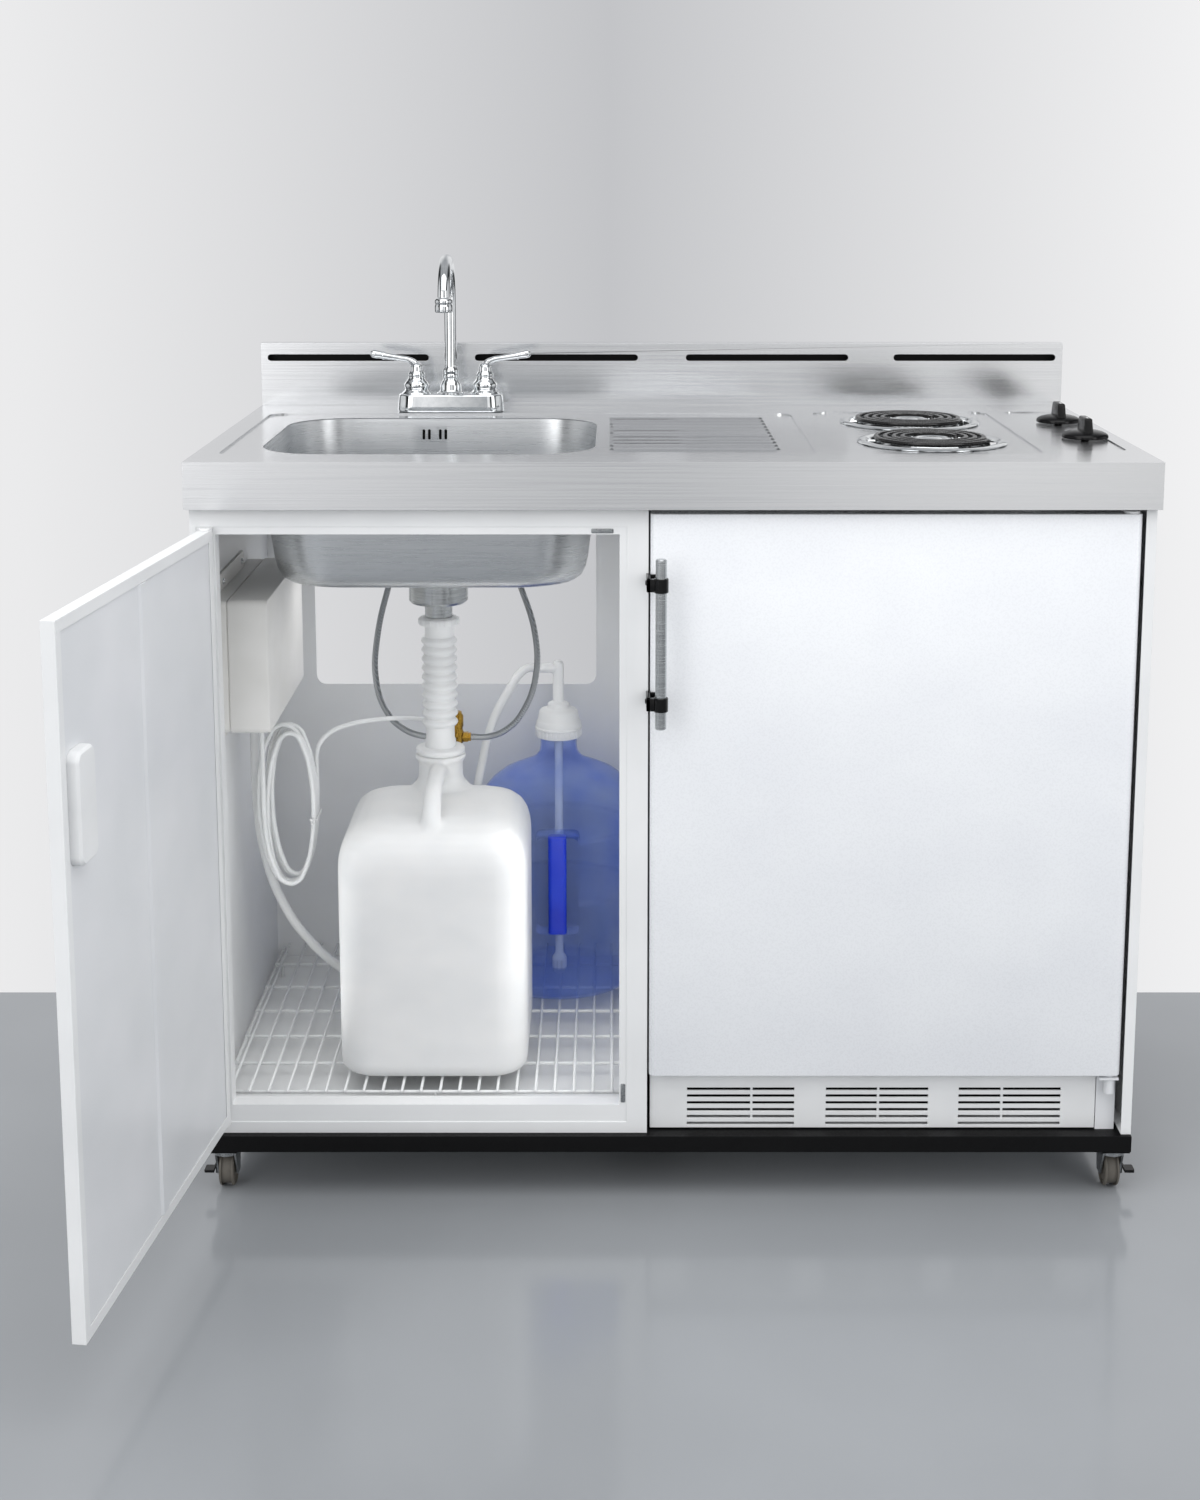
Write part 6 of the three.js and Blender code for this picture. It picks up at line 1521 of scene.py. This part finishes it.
@dataclass
class Hob:
    """Two plug-in coil elements over chrome pans, and their two knobs."""

    x: float = 351.0
    rows: tuple[tuple[str, float], ...] = (("front", 203.0), ("rear", 415.0))
    knob_x: float = 561.5
    knob_rows: tuple[tuple[str, float], ...] = (("front", 232.0), ("rear", 403.0))
    coil_inner: float = 34.0
    coil_outer: float = 79.0
    coil_turns: int = 4
    coil_steps: int = 96
    coil_z: float = 985.0
    sheath: float = 7.0
    flat_top: float = 2.2

    def build(self) -> None:
        """Builds each burner and each knob."""
        for row, y in self.rows:
            self._pan(row, y)
            self._coil(row, y)
        for row, y in self.knob_rows:
            self._knob(row, y)

    def _pan(self, row: str, y: float) -> None:
        """A chrome drip pan, spun, with a notch for the element's plug.

        Args:
            row: The burner, front or rear.
            y: Where its middle is.
        """
        profile = [
            (99.5, 978.6), (99.6, 979.6), (98.4, 980.6), (95, 981.6), (91, 982), (87.6, 981.2), (85, 978.6),
            (80, 966), (75, 956.4), (69, 952.4), (62, 950.9), (24, 950.9), (22, 952.2), (19, 953),
            (17.6, 952.2), (17, 950.4), (62.3, 950), (69.5, 951.4), (76, 955.6), (81, 965.4),
            (85.8, 977.6), (88.4, 979.9), (98, 979.8), (99.5, 978.6),
        ]
        pan = turned(f"{row}_pan_spun", (self.x, y, 0), profile, 72)
        carve(pan, slab(f"{row}_notch", (self.x + 60, y - 23, 957), (self.x + 92, y + 23, 977.6)))
        dress(pan, PAN_CHROME, f"{row}_pan", f"{row}_pan", smooth=50)

    def _coil(self, row: str, y: float) -> None:
        """The tubular element on its three-armed spider, with the medallion in its middle.

        Args:
            row: The burner, front or rear.
            y: Where its middle is.
        """
        start, sweep = math.pi / 10, self.coil_turns * FULL_TURN - math.pi / 3.4
        spiral = []
        for i in range(self.coil_steps + 1):
            turn = start + sweep * i / self.coil_steps
            radius = self.coil_inner + (self.coil_outer - self.coil_inner) * i / self.coil_steps
            spiral.append((self.x + radius * math.cos(turn), y + radius * math.sin(turn), self.coil_z))
        (first_x, first_y, _), (last_x, last_y, _) = spiral[0], spiral[-1]
        plug = self.x + 101.5
        way_in = [
            (plug, y - 8, 966), (self.x + 70, y - 8, 966), (self.x + 48, y - 2, 968),
            (first_x + 3, first_y - 7, 976), (first_x + 1, first_y - 3, 982),
        ]
        way_out = [
            (last_x + 2, last_y + 4, 982), (last_x + 9, y + 8 + (last_y - y - 8) * 0.4, 973),
            (self.x + 92, y + 8, 966), (plug, y + 8, 966),
        ]
        tube = rod(f"{row}_coil_tube", [*way_in, *spiral, *way_out], self.sheath / 2, 14)
        crest = self.coil_z + self.flat_top
        with editing(tube):
            pick(tube, Part.VERT, lambda ends, _: ends[0].z > crest * MM)
            bpy.ops.transform.resize(value=(1.0, 1.0, 0.0), center_override=at(self.x, y, crest))
        medallion = [
            (0, 976), (25, 976), (27.6, 977.4), (27.6, 982), (25.6, 984.4), (21, 984.9), (19.4, 983.6),
            (14, 983.4), (12, 984.6), (8, 985.2), (0, 985.2),
        ]
        spider = [turned(f"{row}_spider", (self.x, y, 0), medallion, 40)]
        for degrees in (60, 180, 300):
            out, across = math.cos(math.radians(degrees)), math.sin(math.radians(degrees))
            ends = [
                (self.x + r * out, y + r * across, z)
                for r, z in ((14, 978.4), (44, 979.6), (84, 979.6), (86.5, 975))
            ]
            spider.append(rod(f"{row}_arm", ends, [2.3, 2.3, 2.3, 1.9], 8, smooth=False))
        dress(joined(*spider), PAN_CHROME, f"{row}_coil", smooth=40)
        dress(tube, SHEATH, f"{row}_coil", f"{row}_coil", smooth=60)

    def _knob(self, row: str, y: float) -> None:
        """A black knob: a domed skirt and a tall grip ridge with a white line on its crest.

        Args:
            row: The knob, front or rear.
            y: Where its middle is.
        """
        foot = (self.knob_x, y, 0.0)
        skirt_profile = [
            (0, 982), (6, 982), (6, 981), (30, 980.6), (31, 981.4), (31, 983), (30.4, 985), (28, 987),
            (24, 988.8), (18, 990.4), (10, 991.4), (0, 991.8),
        ]
        skirt = turned(f"{row}_knob_skirt", foot, skirt_profile, 56)
        grip = slab(f"{row}_knob_grip", (foot[0] - 6.5, y - 25, 984), (foot[0] + 6.5, y + 25, 1008.4))
        with editing(grip):
            pick(grip, Part.FACE, lambda _, normal: normal.z > LEVEL)
            bpy.ops.transform.resize(value=(0.8, 0.74, 1.0), center_override=at(*foot))
        ease(grip, 2.4, 4)
        shaft = turned(f"{row}_shaft", foot, [(0, 962.5), (5, 962.5), (5, 983), (0, 983)], 20)
        dress(joined(skirt, grip, shaft), PLASTIC_BLACK, f"{row}_knob", f"{row}_knob")
        low, high = (foot[0] - 0.7, y - 14.0, 1008.2), (foot[0] + 0.7, y - 4.0, 1008.7)
        dress(slab(f"{row}_knob_line", low, high, 0.0, 0.1), PLASTIC_WHITE, f"{row}_knob", smooth=0.0)


# ---------------------------------------------------------------- cabinet and its door


@dataclass
class Cabinet:
    """The powder-coated panels, the face frame, the black plinth and the small steel fittings."""

    catch: tuple[Point, Point] = ((-102.0, 17.5, 887.5), (-74.0, 18.4, 893.5))
    strike: tuple[Point, Point] = ((-64.5, 17.5, 128.0), (-58.5, 18.4, 154.0))
    screw_x: float = -600.5
    screw_rows: Pair = (202.0, 348.0)
    screw_heights: Pair = (789.0, 589.0)
    panels: tuple[str, ...] = (
        "left_side_panel", "right_end_panel", "partition_panel", "cabinet_floor", "cabinet_back_panel",
    )

    def build(self) -> None:
        """Dresses the panels and adds the catch plates and the pump's screws."""
        for node in self.panels:
            skin(node, POWDER_WHITE, 0.4)
        skin("face_frame", POWDER_WHITE, 0.6, 3)
        skin("base_frame", BLACK_PAINT_AND_PAINTED_SHADE, 0.8, flatten=False)
        for name, (low, high) in (("catch_plate", self.catch), ("strike_plate", self.strike)):
            dress(slab(name, low, high, 1.6, 0.2, Axis.Y), ZINC, "face_frame")
        head = [(0, 0), (4.6, 0), (4.6, 0.8), (3.6, 2.4), (1.8, 3.0), (1.6, 2.0), (0, 2.0)]
        for y in self.screw_rows:
            for z in self.screw_heights:
                screw = turned(f"pump_screw_{y:.0f}_{z:.0f}", (self.screw_x, y, z), head, 24, Axis.X)
                dress(screw, CHROME, "pump_housing")


@dataclass
class SinkDoor:
    """The steel door that stands open, with its inner sheet and its moulded pull."""

    def build(self) -> None:
        """Dresses the pan, the sheet and the pull."""
        skin("sink_door", POWDER_WHITE, 1.0, 3)
        # The inner sheet takes the white coat greyed as painted shade.
        skin("door_inner_panel", POWDER_WHITE_PAINTED_SHADE, 0.5)
        skin("door_pull", PLASTIC_WHITE, 1.2, 3)


@dataclass
class WireShelf:
    """The vinyl-dipped wire shelf under the bottles: close wires front to back over cross wires."""

    left: float = -596.0
    right: float = -38.5
    front: float = 51.0
    back: float = 586.0
    top: float = 130.0
    wire: float = 4.0
    pitch: float = 25.4
    cross_wire: float = 5.0
    cross_first: float = 60.0
    cross_last: float = 510.0
    cross_count: int = 6
    floor: float = 104.0

    def build(self) -> None:
        """Draws the wires as round rods."""
        count = int((self.right - self.left - self.wire) // self.pitch)
        first = (self.left + self.right - count * self.pitch) / 2
        height = self.top - self.wire / 2
        rods = []
        for i in range(count + 1):
            x = first + i * self.pitch
            rods.append(self._wire((x, self.front, height), (x, self.back, height), self.wire))
        cross_top = self.top - self.wire
        low = cross_top - self.cross_wire / 2
        step = (self.cross_last - self.cross_first) / (self.cross_count - 1)
        for i in range(self.cross_count):
            y = self.cross_first + i * step
            rods.append(self._wire((self.left, y, low), (self.right, y, low), self.cross_wire))
        side_z = cross_top - self.cross_wire - 0.5
        for x in (self.left + 2.5, self.right - 2.5):
            rods.append(self._wire((x, self.front, side_z), (x, self.back, side_z), self.cross_wire))
        for y in (self.cross_first, self.cross_last):
            for x in (self.left + 12, (self.left + self.right) / 2 + 6, self.right - 12):
                rods.append(self._wire((x, y, self.floor), (x, y, cross_top - 2), self.cross_wire))
        dress(joined(*rods), VINYL_WHITE, "wire_shelf", "wire_shelf", smooth=50)

    @staticmethod
    def _wire(start: Point, end: Point, thick: float) -> Object:
        """One straight wire with eased ends.

        Args:
            start: Its one end on the plan.
            end: Its other end.
            thick: Its diameter in millimetres.

        Returns:
            The rod.
        """
        a, b = Vector(start), Vector(end)
        along = (b - a).normalized() * 0.8
        half = thick / 2
        radii = [half * 0.72, half, half, half * 0.72]
        return rod("shelf_wires", [a, a + along, b - along, b], radii, smooth=False)


# ---------------------------------------------------------------- refrigerator


@dataclass
class Fridge:
    """The refrigerator's cabinet, its formed liner, the fittings inside and the vented grille."""

    dividers: tuple[float, ...] = (108.0, 275.0, 438.0)
    grille_front: float = 28.0
    grille_back: float = 66.0

    def build(self) -> None:
        """Dresses the cabinet and its fittings, and puts a black plate behind the louvres as painted shade.
        """
        skin("fridge_shell", POWDER_WHITE, 0.8, 3)
        skin("fridge_liner", LINER_WHITE, 1.2, 3)
        skin("fridge_shelf", VINYL_WHITE, 0.8)
        skin("crisper_bin", PLASTIC_CLEAR, 0.5)
        skin("thermostat_dial", PLASTIC_WHITE, 0.8, 3)
        skin("compressor", BLACK_PAINT_AND_PAINTED_SHADE, 1.6, 3)
        skin("toe_grille", PLASTIC_WHITE, 0.5)
        # The bracket takes the white coat greyed as painted shade.
        skin("lower_hinge_bracket", POWDER_WHITE_PAINTED_SHADE, 0.5)
        front, back = self.grille_front, self.grille_back
        for x in self.dividers:
            low, high = (x - 1.5, front + 0.2, 100), (x + 1.5, front + 3.4, 154)
            bar = slab(f"louvre_bar_{x:.0f}", low, high, 0.0, 0.3)
            dress(bar, PLASTIC_WHITE, "toe_grille", smooth=0.0)
        # A black plate behind the louvres: painted shade for the dark space behind the grille.
        shade = slab("louvre_painted_shade", (-18, back + 0.4, 92), (552, back + 1.4, 162), 0.0, 0.2)
        dress(shade, BLACK_PAINT_AND_PAINTED_SHADE, "toe_grille", smooth=0.0)


@dataclass
class FridgeDoor:
    """The enamelled door with rounded front edges, its liner, its seal and the tubular handle."""

    left: float = -27.7
    right: float = 588.6
    front: float = 10.0
    back: float = 52.0
    bottom: float = 168.0
    top: float = 913.0
    edge: float = 8.0
    handle_x: float = -15.0
    handle_y: float = -23.0
    handle_radius: float = 7.0
    handle_span: Pair = (645.0, 862.0)
    mounts: Pair = (677.0, 829.0)
    clamp_height: float = 18.0
    gap: float = 0.35

    def build(self) -> None:
        """Builds the door and the handle and dresses the liner and the seal."""
        self._door()
        skin("fridge_door_liner", LINER_WHITE, 1.0, 3)
        skin("door_gasket", SEAL_WHITE, 1.0)
        low, high = self.handle_span
        r = self.handle_radius
        profile = [(0, low), (r - 1.2, low), (r, low + 1.2), (r, high - 1.2), (r - 1.2, high), (0, high)]
        bar = turned("handle_bar", (self.handle_x, self.handle_y, 0), profile, 40)
        dress(bar, BAR_STEEL, "fridge_handle", "fridge_handle")
        for z in self.mounts:
            self._clamp(z)

    def _door(self) -> None:
        """A foamed slab whose upright front edges are rolled and whose rims are folded."""
        low, high = (self.left, self.front, self.bottom), (self.right, self.back, self.top)
        door = slab("fridge_door_leaf", low, high)
        front = at(0, self.front, 0).y

        def upright(ends: Sequence[Vector], _: Vector) -> bool:
            """Whether an edge stands upright in the door's face."""
            level = max(abs(end.y - front) for end in ends) < 0.1 * MM
            return level and abs(ends[0].z - ends[1].z) > 100 * MM

        with editing(door):
            pick(door, Part.EDGE, upright)
            bpy.ops.mesh.bevel(offset=self.edge * MM, segments=8, affect="EDGES")
        ease(door, 1.1, 3)
        dress(door, ENAMEL_WHITE, "fridge_door", "fridge_door")

    def _clamp(self, z: float) -> None:
        """One black clamp: a ring on the bar, an arm and a hook behind the door's edge.

        Args:
            z: The height of its middle.
        """
        half = self.clamp_height / 2
        x, y, edge = self.handle_x, self.handle_y, self.left - self.gap
        low, high = z - half + 1, z + half - 1
        profile = [
            (7.05, z - half), (8.6, z - half), (9.2, z - half + 0.8), (9.2, z + half - 0.8), (8.6, z + half),
            (7.05, z + half), (7.05, z - half),
        ]
        ring = turned(f"handle_clamp_{z:.0f}", (x, y, 0), profile, 32)
        blocks = (
            ((edge - 5, y - 4, low), (edge, 16, high)),
            ((edge - 5, y - 4, low), (x - 4, y + 4, high)),
            ((edge - 1, self.front - 4, low), (x - 2, self.front - self.gap, high)),
        )
        arms = [slab("handle_arm", start, end, 0.0, 0.6) for start, end in blocks]
        head = [(0, 0), (3.4, 0), (3.4, -0.6), (2.4, -1.4), (0, -1.6)]
        screw = turned("handle_screw", (edge - 5.0, -6.0, z), head, 20, Axis.X)
        dress(joined(ring, *arms, screw), PLASTIC_BLACK, "fridge_handle")


# ---------------------------------------------------------------- casters


@dataclass
class Casters:
    """Four swivel casters: zinc forks, grey wheels with moulded hubs, and two brake pedals."""

    x: float = 587.0
    rows: tuple[tuple[str, float], ...] = (("front", 34.0), ("rear", 566.0))
    trail: float = 12.0
    radius: float = 25.0
    width: float = 20.0
    bore: float = 4.35
    shoulder: float = 3.4

    def build(self) -> None:
        """Builds the wheels and dresses the forks and the pedals."""
        for end, y in self.rows:
            for side, sign in (("left", -1), ("right", 1)):
                skin(f"{end}_{side}_fork", ZINC, 0.4)
                self._wheel(f"{end}_{side}_wheel", sign * self.x, y + self.trail)
        for side in ("left", "right"):
            skin(f"{side}_brake_pedal", PLASTIC_BLACK, 0.7, 3)

    def _wheel(self, node: str, x: float, y: float) -> None:
        """A tread with a groove between its two shoulders, on a hub with a raised boss at each side.

        Args:
            node: The frame's node that it replaces.
            x: Where the wheel's middle is, to the right.
            y: Where it is, behind the front apron.
        """
        half, rise = self.width / 2, self.shoulder
        rim = arc((half - rise, self.radius - rise), rise, 0.0, 90.0, 5)
        flank = [(out, along) for along, out in rim]
        flank += [(18.4, half - 0.4), (17.8, half - 1.8), (9.4, half - 1.8), (8.2, half - 0.4)]
        flank += [(self.bore, half - 0.2)]
        other = [(out, -along) for out, along in reversed(flank)]
        wheel = turned(f"{node}_tyre", (x, y, self.radius), [*flank, *other, flank[0]], 48, Axis.X)
        dress(wheel, TREAD_GREY, node, node)


# ---------------------------------------------------------------- water and waste


@dataclass
class WasteJug:
    """A milky blow-moulded jug with pillowed shoulders, a neck at the back and a hollow grip."""

    x: float = -316.5
    front: float = 78.0
    back: float = 335.0
    width: float = 253.0
    corner: float = 44.0
    neck_y: float = 282.0
    neck_radius: float = 31.0
    top: float = 480.0
    voxel: float = 3.1

    def build(self) -> None:
        """Lofts the body, adds the neck and the grip, and blends them as the mould does."""
        y, depth = (self.front + self.back) / 2, self.back - self.front
        levels = [
            (52.0, 134.6), (30.0, 131.4), (16.0, 130.4), (6.0, 134.4), (1.4, 141.0), (0.0, 150.0),
            (0.0, 418.0), (1.4, 432.0), (5.0, 446.0), (12.0, 459.0), (23.0, 469.0), (40.0, 476.0),
            (62.0, self.top),
        ]
        inset, height = levels[0]
        foot_width = self.width - 2 * inset
        body = sheet("jug_body", (self.x, y, height), foot_width, depth - 2 * inset)
        with editing(body):
            corner = self.corner * foot_width / self.width
            bpy.ops.mesh.bevel(offset=corner * MM, segments=10, affect="VERTICES")
            bpy.ops.mesh.select_all(action="SELECT")
            loft(levels, (self.width, depth), at(self.x, y, 0.0))
            bpy.ops.mesh.select_all(action="SELECT")
            bpy.ops.mesh.normals_make_consistent(inside=False)
        n = self.neck_radius
        neck_profile = [
            (0, 462), (n + 18, 466), (n + 10, 480), (n + 2, 489), (n, 495), (n, 519), (n + 4.6, 520.5),
            (n + 4.6, 527), (n + 3, 528), (0, 528),
        ]
        foot = (self.x, self.neck_y, 0.0)
        neck = turned("jug_neck", foot, neck_profile)
        way = [(112, 450), (124, 488), (146, 507), (188, 514), (236, 512), (258, 505)]
        grip = rod("jug_grip", [(self.x, gy, z) for gy, z in way], [15, 13, 12, 11.5, 12, 14], 24)
        jug = joined(body, neck, grip)
        apply_modifier(jug, "REMESH", mode="VOXEL", voxel_size=self.voxel * MM, use_smooth_shade=True)
        apply_modifier(jug, "SMOOTH", factor=0.5, iterations=7)
        carve(jug, turned("jug_mouth", foot, [(0, 500), (n - 3, 500), (n - 3, 532), (0, 532)]))
        dress(jug, PLASTIC_MILKY, "waste_jug", "waste_jug", smooth=60)


@dataclass
class WaterBottle:
    """A tinted carboy with two grooves and a grip pocket, its white cap and the dip tube inside."""

    x: float = -155.0
    y: float = 460.0
    radius: float = 118.0
    wall: float = 2.5
    neck: float = 27.0
    neck_top: float = 517.0
    foot: float = 130.3
    grooves: Pair = (273.0, 367.0)
    pocket: Pair = (236.0, 381.0)
    recess: float = 34.0

    def build(self) -> None:
        """Builds the bottle, the grip, the cap and the dip tube."""
        outer, inner = self._half("bottle_wall", 0.0, 0.0), self._half("bottle_inside", self.wall, 4.0)
        carve(outer, inner)
        dress(outer, PLASTIC_BLUE, "water_bottle", "water_bottle", smooth=40)
        self._grip()
        self._cap()
        self._tube()

    def _half(self, name: str, shrink: float, past: float) -> Object:
        """The bottle's outside, or its inside by the wall's thickness, with the grip's pocket taken out.

        Args:
            name: The piece's name.
            shrink: How far it lies inside the outside.
            past: How far it reaches above the neck.

        Returns:
            The closed solid.
        """
        r, low, neck = self.radius - shrink, self.foot + shrink, self.neck - shrink
        profile = [(0, low + 9), (40, low + 8), (78, low + 4), (r - 18, low), (r - 9, low + 2.3)]
        profile += [(r - 3.4, 140 + shrink), (r, 158)]
        for z in self.grooves:
            profile += [(r, z - 12), (r - 2.4, z - 7), (r - 4.6, z - 2.4), (r - 5, z), (r - 4.6, z + 2.4)]
            profile += [(r - 2.4, z + 7), (r, z + 12)]
        profile += [
            (r, 398), (r - 1.6, 408), (r - 7, 421), (r - 17, 434), (r - 33, 446.5), (r - 54, 456.5),
            (neck + 19, 464), (neck + 8, 470.5), (neck + 1.4, 480), (neck, 488), (neck, self.neck_top),
            (0, self.neck_top + past),
        ]
        solid = turned(name, (self.x, self.y, 0), profile, 72)
        front, (bottom, top) = self.y - self.radius, self.pocket
        start = (self.x - 30 - shrink, front - 20, bottom - shrink)
        end = (self.x + 30 + shrink, front + self.recess + shrink, top + shrink)
        carve(solid, slab("bottle_pocket", start, end, 9.0, 0.0, Axis.Y))
        return solid

    def _grip(self) -> None:
        """The upright bar across the pocket, of much thicker and so much deeper blue plastic."""
        front, (low, high) = self.y - self.radius, self.pocket
        start, end = (self.x - 13.4, front + 2.4, low - 1.6), (self.x + 13.4, front + 17.6, high + 1.6)
        dress(slab("bottle_bar", start, end, 6.6, 0.8), GRIP_BLUE, "water_bottle")

    def _cap(self) -> None:
        """The ribbed skirt, the stepped crown, the riser and the elbow to the left."""
        x, y, foot = self.x, self.y, (self.x, self.y, 0.0)
        profile = [
            (27.4, 503), (33, 503), (33.6, 504), (33.6, 514), (35, 515.4), (35, 517.6), (33.4, 519),
            (33, 525), (31.4, 527.4), (30.4, 529), (28.6, 541), (26.4, 543.4), (18, 546), (16.4, 548),
            (16, 552), (13, 554), (9, 556), (8, 558), (8, 612), (6.6, 615.6), (4, 617.4), (0, 618),
            (0, 517.4), (27.4, 517.4), (27.4, 503),
        ]
        body = turned("cap_body", foot, profile, 56)
        rib = slab("cap_rib", (x + 33, y - 0.9, 504), (x + 34.7, y + 0.9, 514), 0.0, 0.4)
        ribs = copies_round(rib, foot, 30)
        way = [(x - reach, y, 606) for reach in (0, 13, 14, 30)]
        elbow = rod("cap_elbow", way, [7.5, 7.5, 6.8, 6.8], 24, smooth=False)
        dress(joined(body, ribs, elbow), PLASTIC_WHITE, "bottle_cap", "bottle_cap")

    def _tube(self) -> None:
        """The tube from the cap to the bottom, with its slotted foot."""
        x, y, foot = self.x, self.y, (self.x, self.y, 0.0)
        tube = turned("dip_pipe", foot, [(0, 156), (6, 156), (6, 516.8), (0, 516.8)], 28)
        profile = [
            (0, 133.2), (8.4, 133.2), (9.6, 135), (11, 139), (11, 155), (9.6, 158.4), (6.8, 162),
            (6.2, 165), (0, 165),
        ]
        end = turned("dip_foot", foot, profile, 28)
        carve(end, copies_round(slab("foot_slot", (x + 8, y - 0.8, 139), (x + 14, y + 0.8, 153)), foot, 10))
        dress(tube, TUBE_WHITE, "dip_tube", "dip_tube")
        dress(end, PLASTIC_WHITE, "dip_tube")


@dataclass
class DrainHose:
    """The corrugated waste hose with its two nuts, from the strainer into the jug's neck."""

    x: float = -316.5
    y: float = 282.0
    ribs: int = 10
    pitch: float = 13.0
    first_rib: float = 689.7

    def build(self) -> None:
        """Turns the hose and its fluted top nut."""
        profile = [
            (16, 723.6), (22, 723.6), (23, 722.4), (26.4, 722.4), (27.4, 721.4), (28, 715), (27, 712.8),
            (21, 712.7), (20, 711.4), (20, 699),
        ]
        rib = [(20, 5.6), (22.4, 4.2), (24.4, 2), (25, 0), (24.4, -2), (22.4, -4.2), (20, -5.6)]
        for i in range(self.ribs):
            profile += [(out, self.first_rib - i * self.pitch + rise) for out, rise in rib]
        profile += [
            (20, 549), (21.6, 547), (21.6, 538), (33, 536.3), (34, 535.2), (34, 529.4), (33, 528.4),
            (21.4, 528.3), (20, 527), (20, 505.4), (18.8, 504.3), (16, 504.3), (16, 723.6),
        ]
        foot = (self.x, self.y, 0.0)
        hose = turned("drain_corrugations", foot, profile)
        low, high = (self.x + 26.6, self.y - 1.6, 713.6), (self.x + 28.9, self.y + 1.6, 721)
        whole = joined(hose, copies_round(slab("nut_rib", low, high, 0.0, 0.5), foot, 16))
        dress(whole, PLASTIC_WHITE, "drain_hose", "drain_hose", smooth=50)


@dataclass
class SupplyTee:
    """The machined brass tee with hexagonal collars where the hoses screw on."""

    x: float = -296.0
    y: float = 330.0
    ports: tuple[tuple[int, float, float, float], ...] = (
        (-1, 19.0, 7.0, 537.0), (1, 19.0, 7.0, 537.0), (-1, 17.0, 5.5, 560.0),
    )

    def build(self) -> None:
        """Turns the body and the three ports: each a neck, a six-sided nut and a thread."""
        profile = [
            (0, 527), (6, 527), (7.4, 528.4), (8.5, 530), (8.5, 545), (7.4, 547), (7.4, 551), (8.5, 553),
            (8.5, 567), (8, 569), (6.4, 571), (6, 574), (0, 574),
        ]
        pieces = [turned("tee_body", (self.x, self.y, 0), profile, 32)]
        for side, reach, radius, z in self.ports:
            nut, thread = radius + 0.6, radius - 0.8
            port = [
                (0, 2), (radius - 1.2, 2), (radius - 1.2, 8), (nut, 8.4), (nut, reach - 4),
                (thread, reach - 3.4), (thread, reach), (0, reach),
            ]
            profile = [(out, side * along) for out, along in port]
            pieces.append(turned("tee_port", (self.x, self.y, z), profile, 6, Axis.X))
        dress(joined(*pieces), BRASS, "supply_tee", "supply_tee")


@dataclass
class Pump:
    """The cream pump box on the side panel: two moulded halves, a seam between them and two ears."""

    left: float = -604.5
    right: float = -528.0
    front: float = 120.0
    back: float = 430.0
    bottom: float = 599.0
    top: float = 779.0
    seam: float = 22.0

    def build(self) -> None:
        """Builds the box with its ears."""
        seam = self.left + self.seam
        lid = self._shell("pump_lid", seam + 0.8, self.right, 0.0, 9.0, 3.2)
        base = self._shell("pump_base", self.left, seam, 1.2, 7.0, 0.6)
        neck = self._shell("pump_seam", seam - 2, seam + 4, 3.0, 6.0, 0.0)
        ears = []
        for low in (self.bottom - 22, self.top - 2):
            start, end = (self.left, self.front + 60, low), (self.left + 4, self.back - 60, low + 24)
            ears.append(slab("pump_ear", start, end, 6.0, 0.8, Axis.X))
        dress(joined(lid, base, neck, *ears), PLASTIC_CREAM, "pump_housing", "pump_housing")

    def _shell(
        self, name: str, start: float, end: float, inset: float, corner: float, edge: float
    ) -> Object:
        """One block of the box, from one X to another.

        Args:
            name: The block's name.
            start: Its lowest X.
            end: Its highest X.
            inset: How far it lies inside the box's outline.
            corner: The radius of its corners.
            edge: The radius of its rims.

        Returns:
            The block.
        """
        low = (start, self.front + inset, self.bottom + inset)
        return slab(name, low, (end, self.back - inset, self.top - inset), corner, edge, Axis.X, 8)


ASSEMBLIES = (
    Worktop, SinkBowl, Faucet, Hob, Cabinet, SinkDoor, WireShelf, Fridge, FridgeDoor, Casters, WasteJug,
    WaterBottle, DrainHose, SupplyTee, Pump,
)


def main() -> None:
    """Builds the scene: the camera and the cords first, then the unit from the top down."""
    logging.basicConfig(level=logging.INFO, format="%(name)s: %(message)s")
    Studio().build()
    SupplyLines(Hank()).build()
    for assembly in ASSEMBLIES:
        assembly().build()
        LOG.info("%s is built", assembly.__name__)


if __name__ == "__main__":
    main()
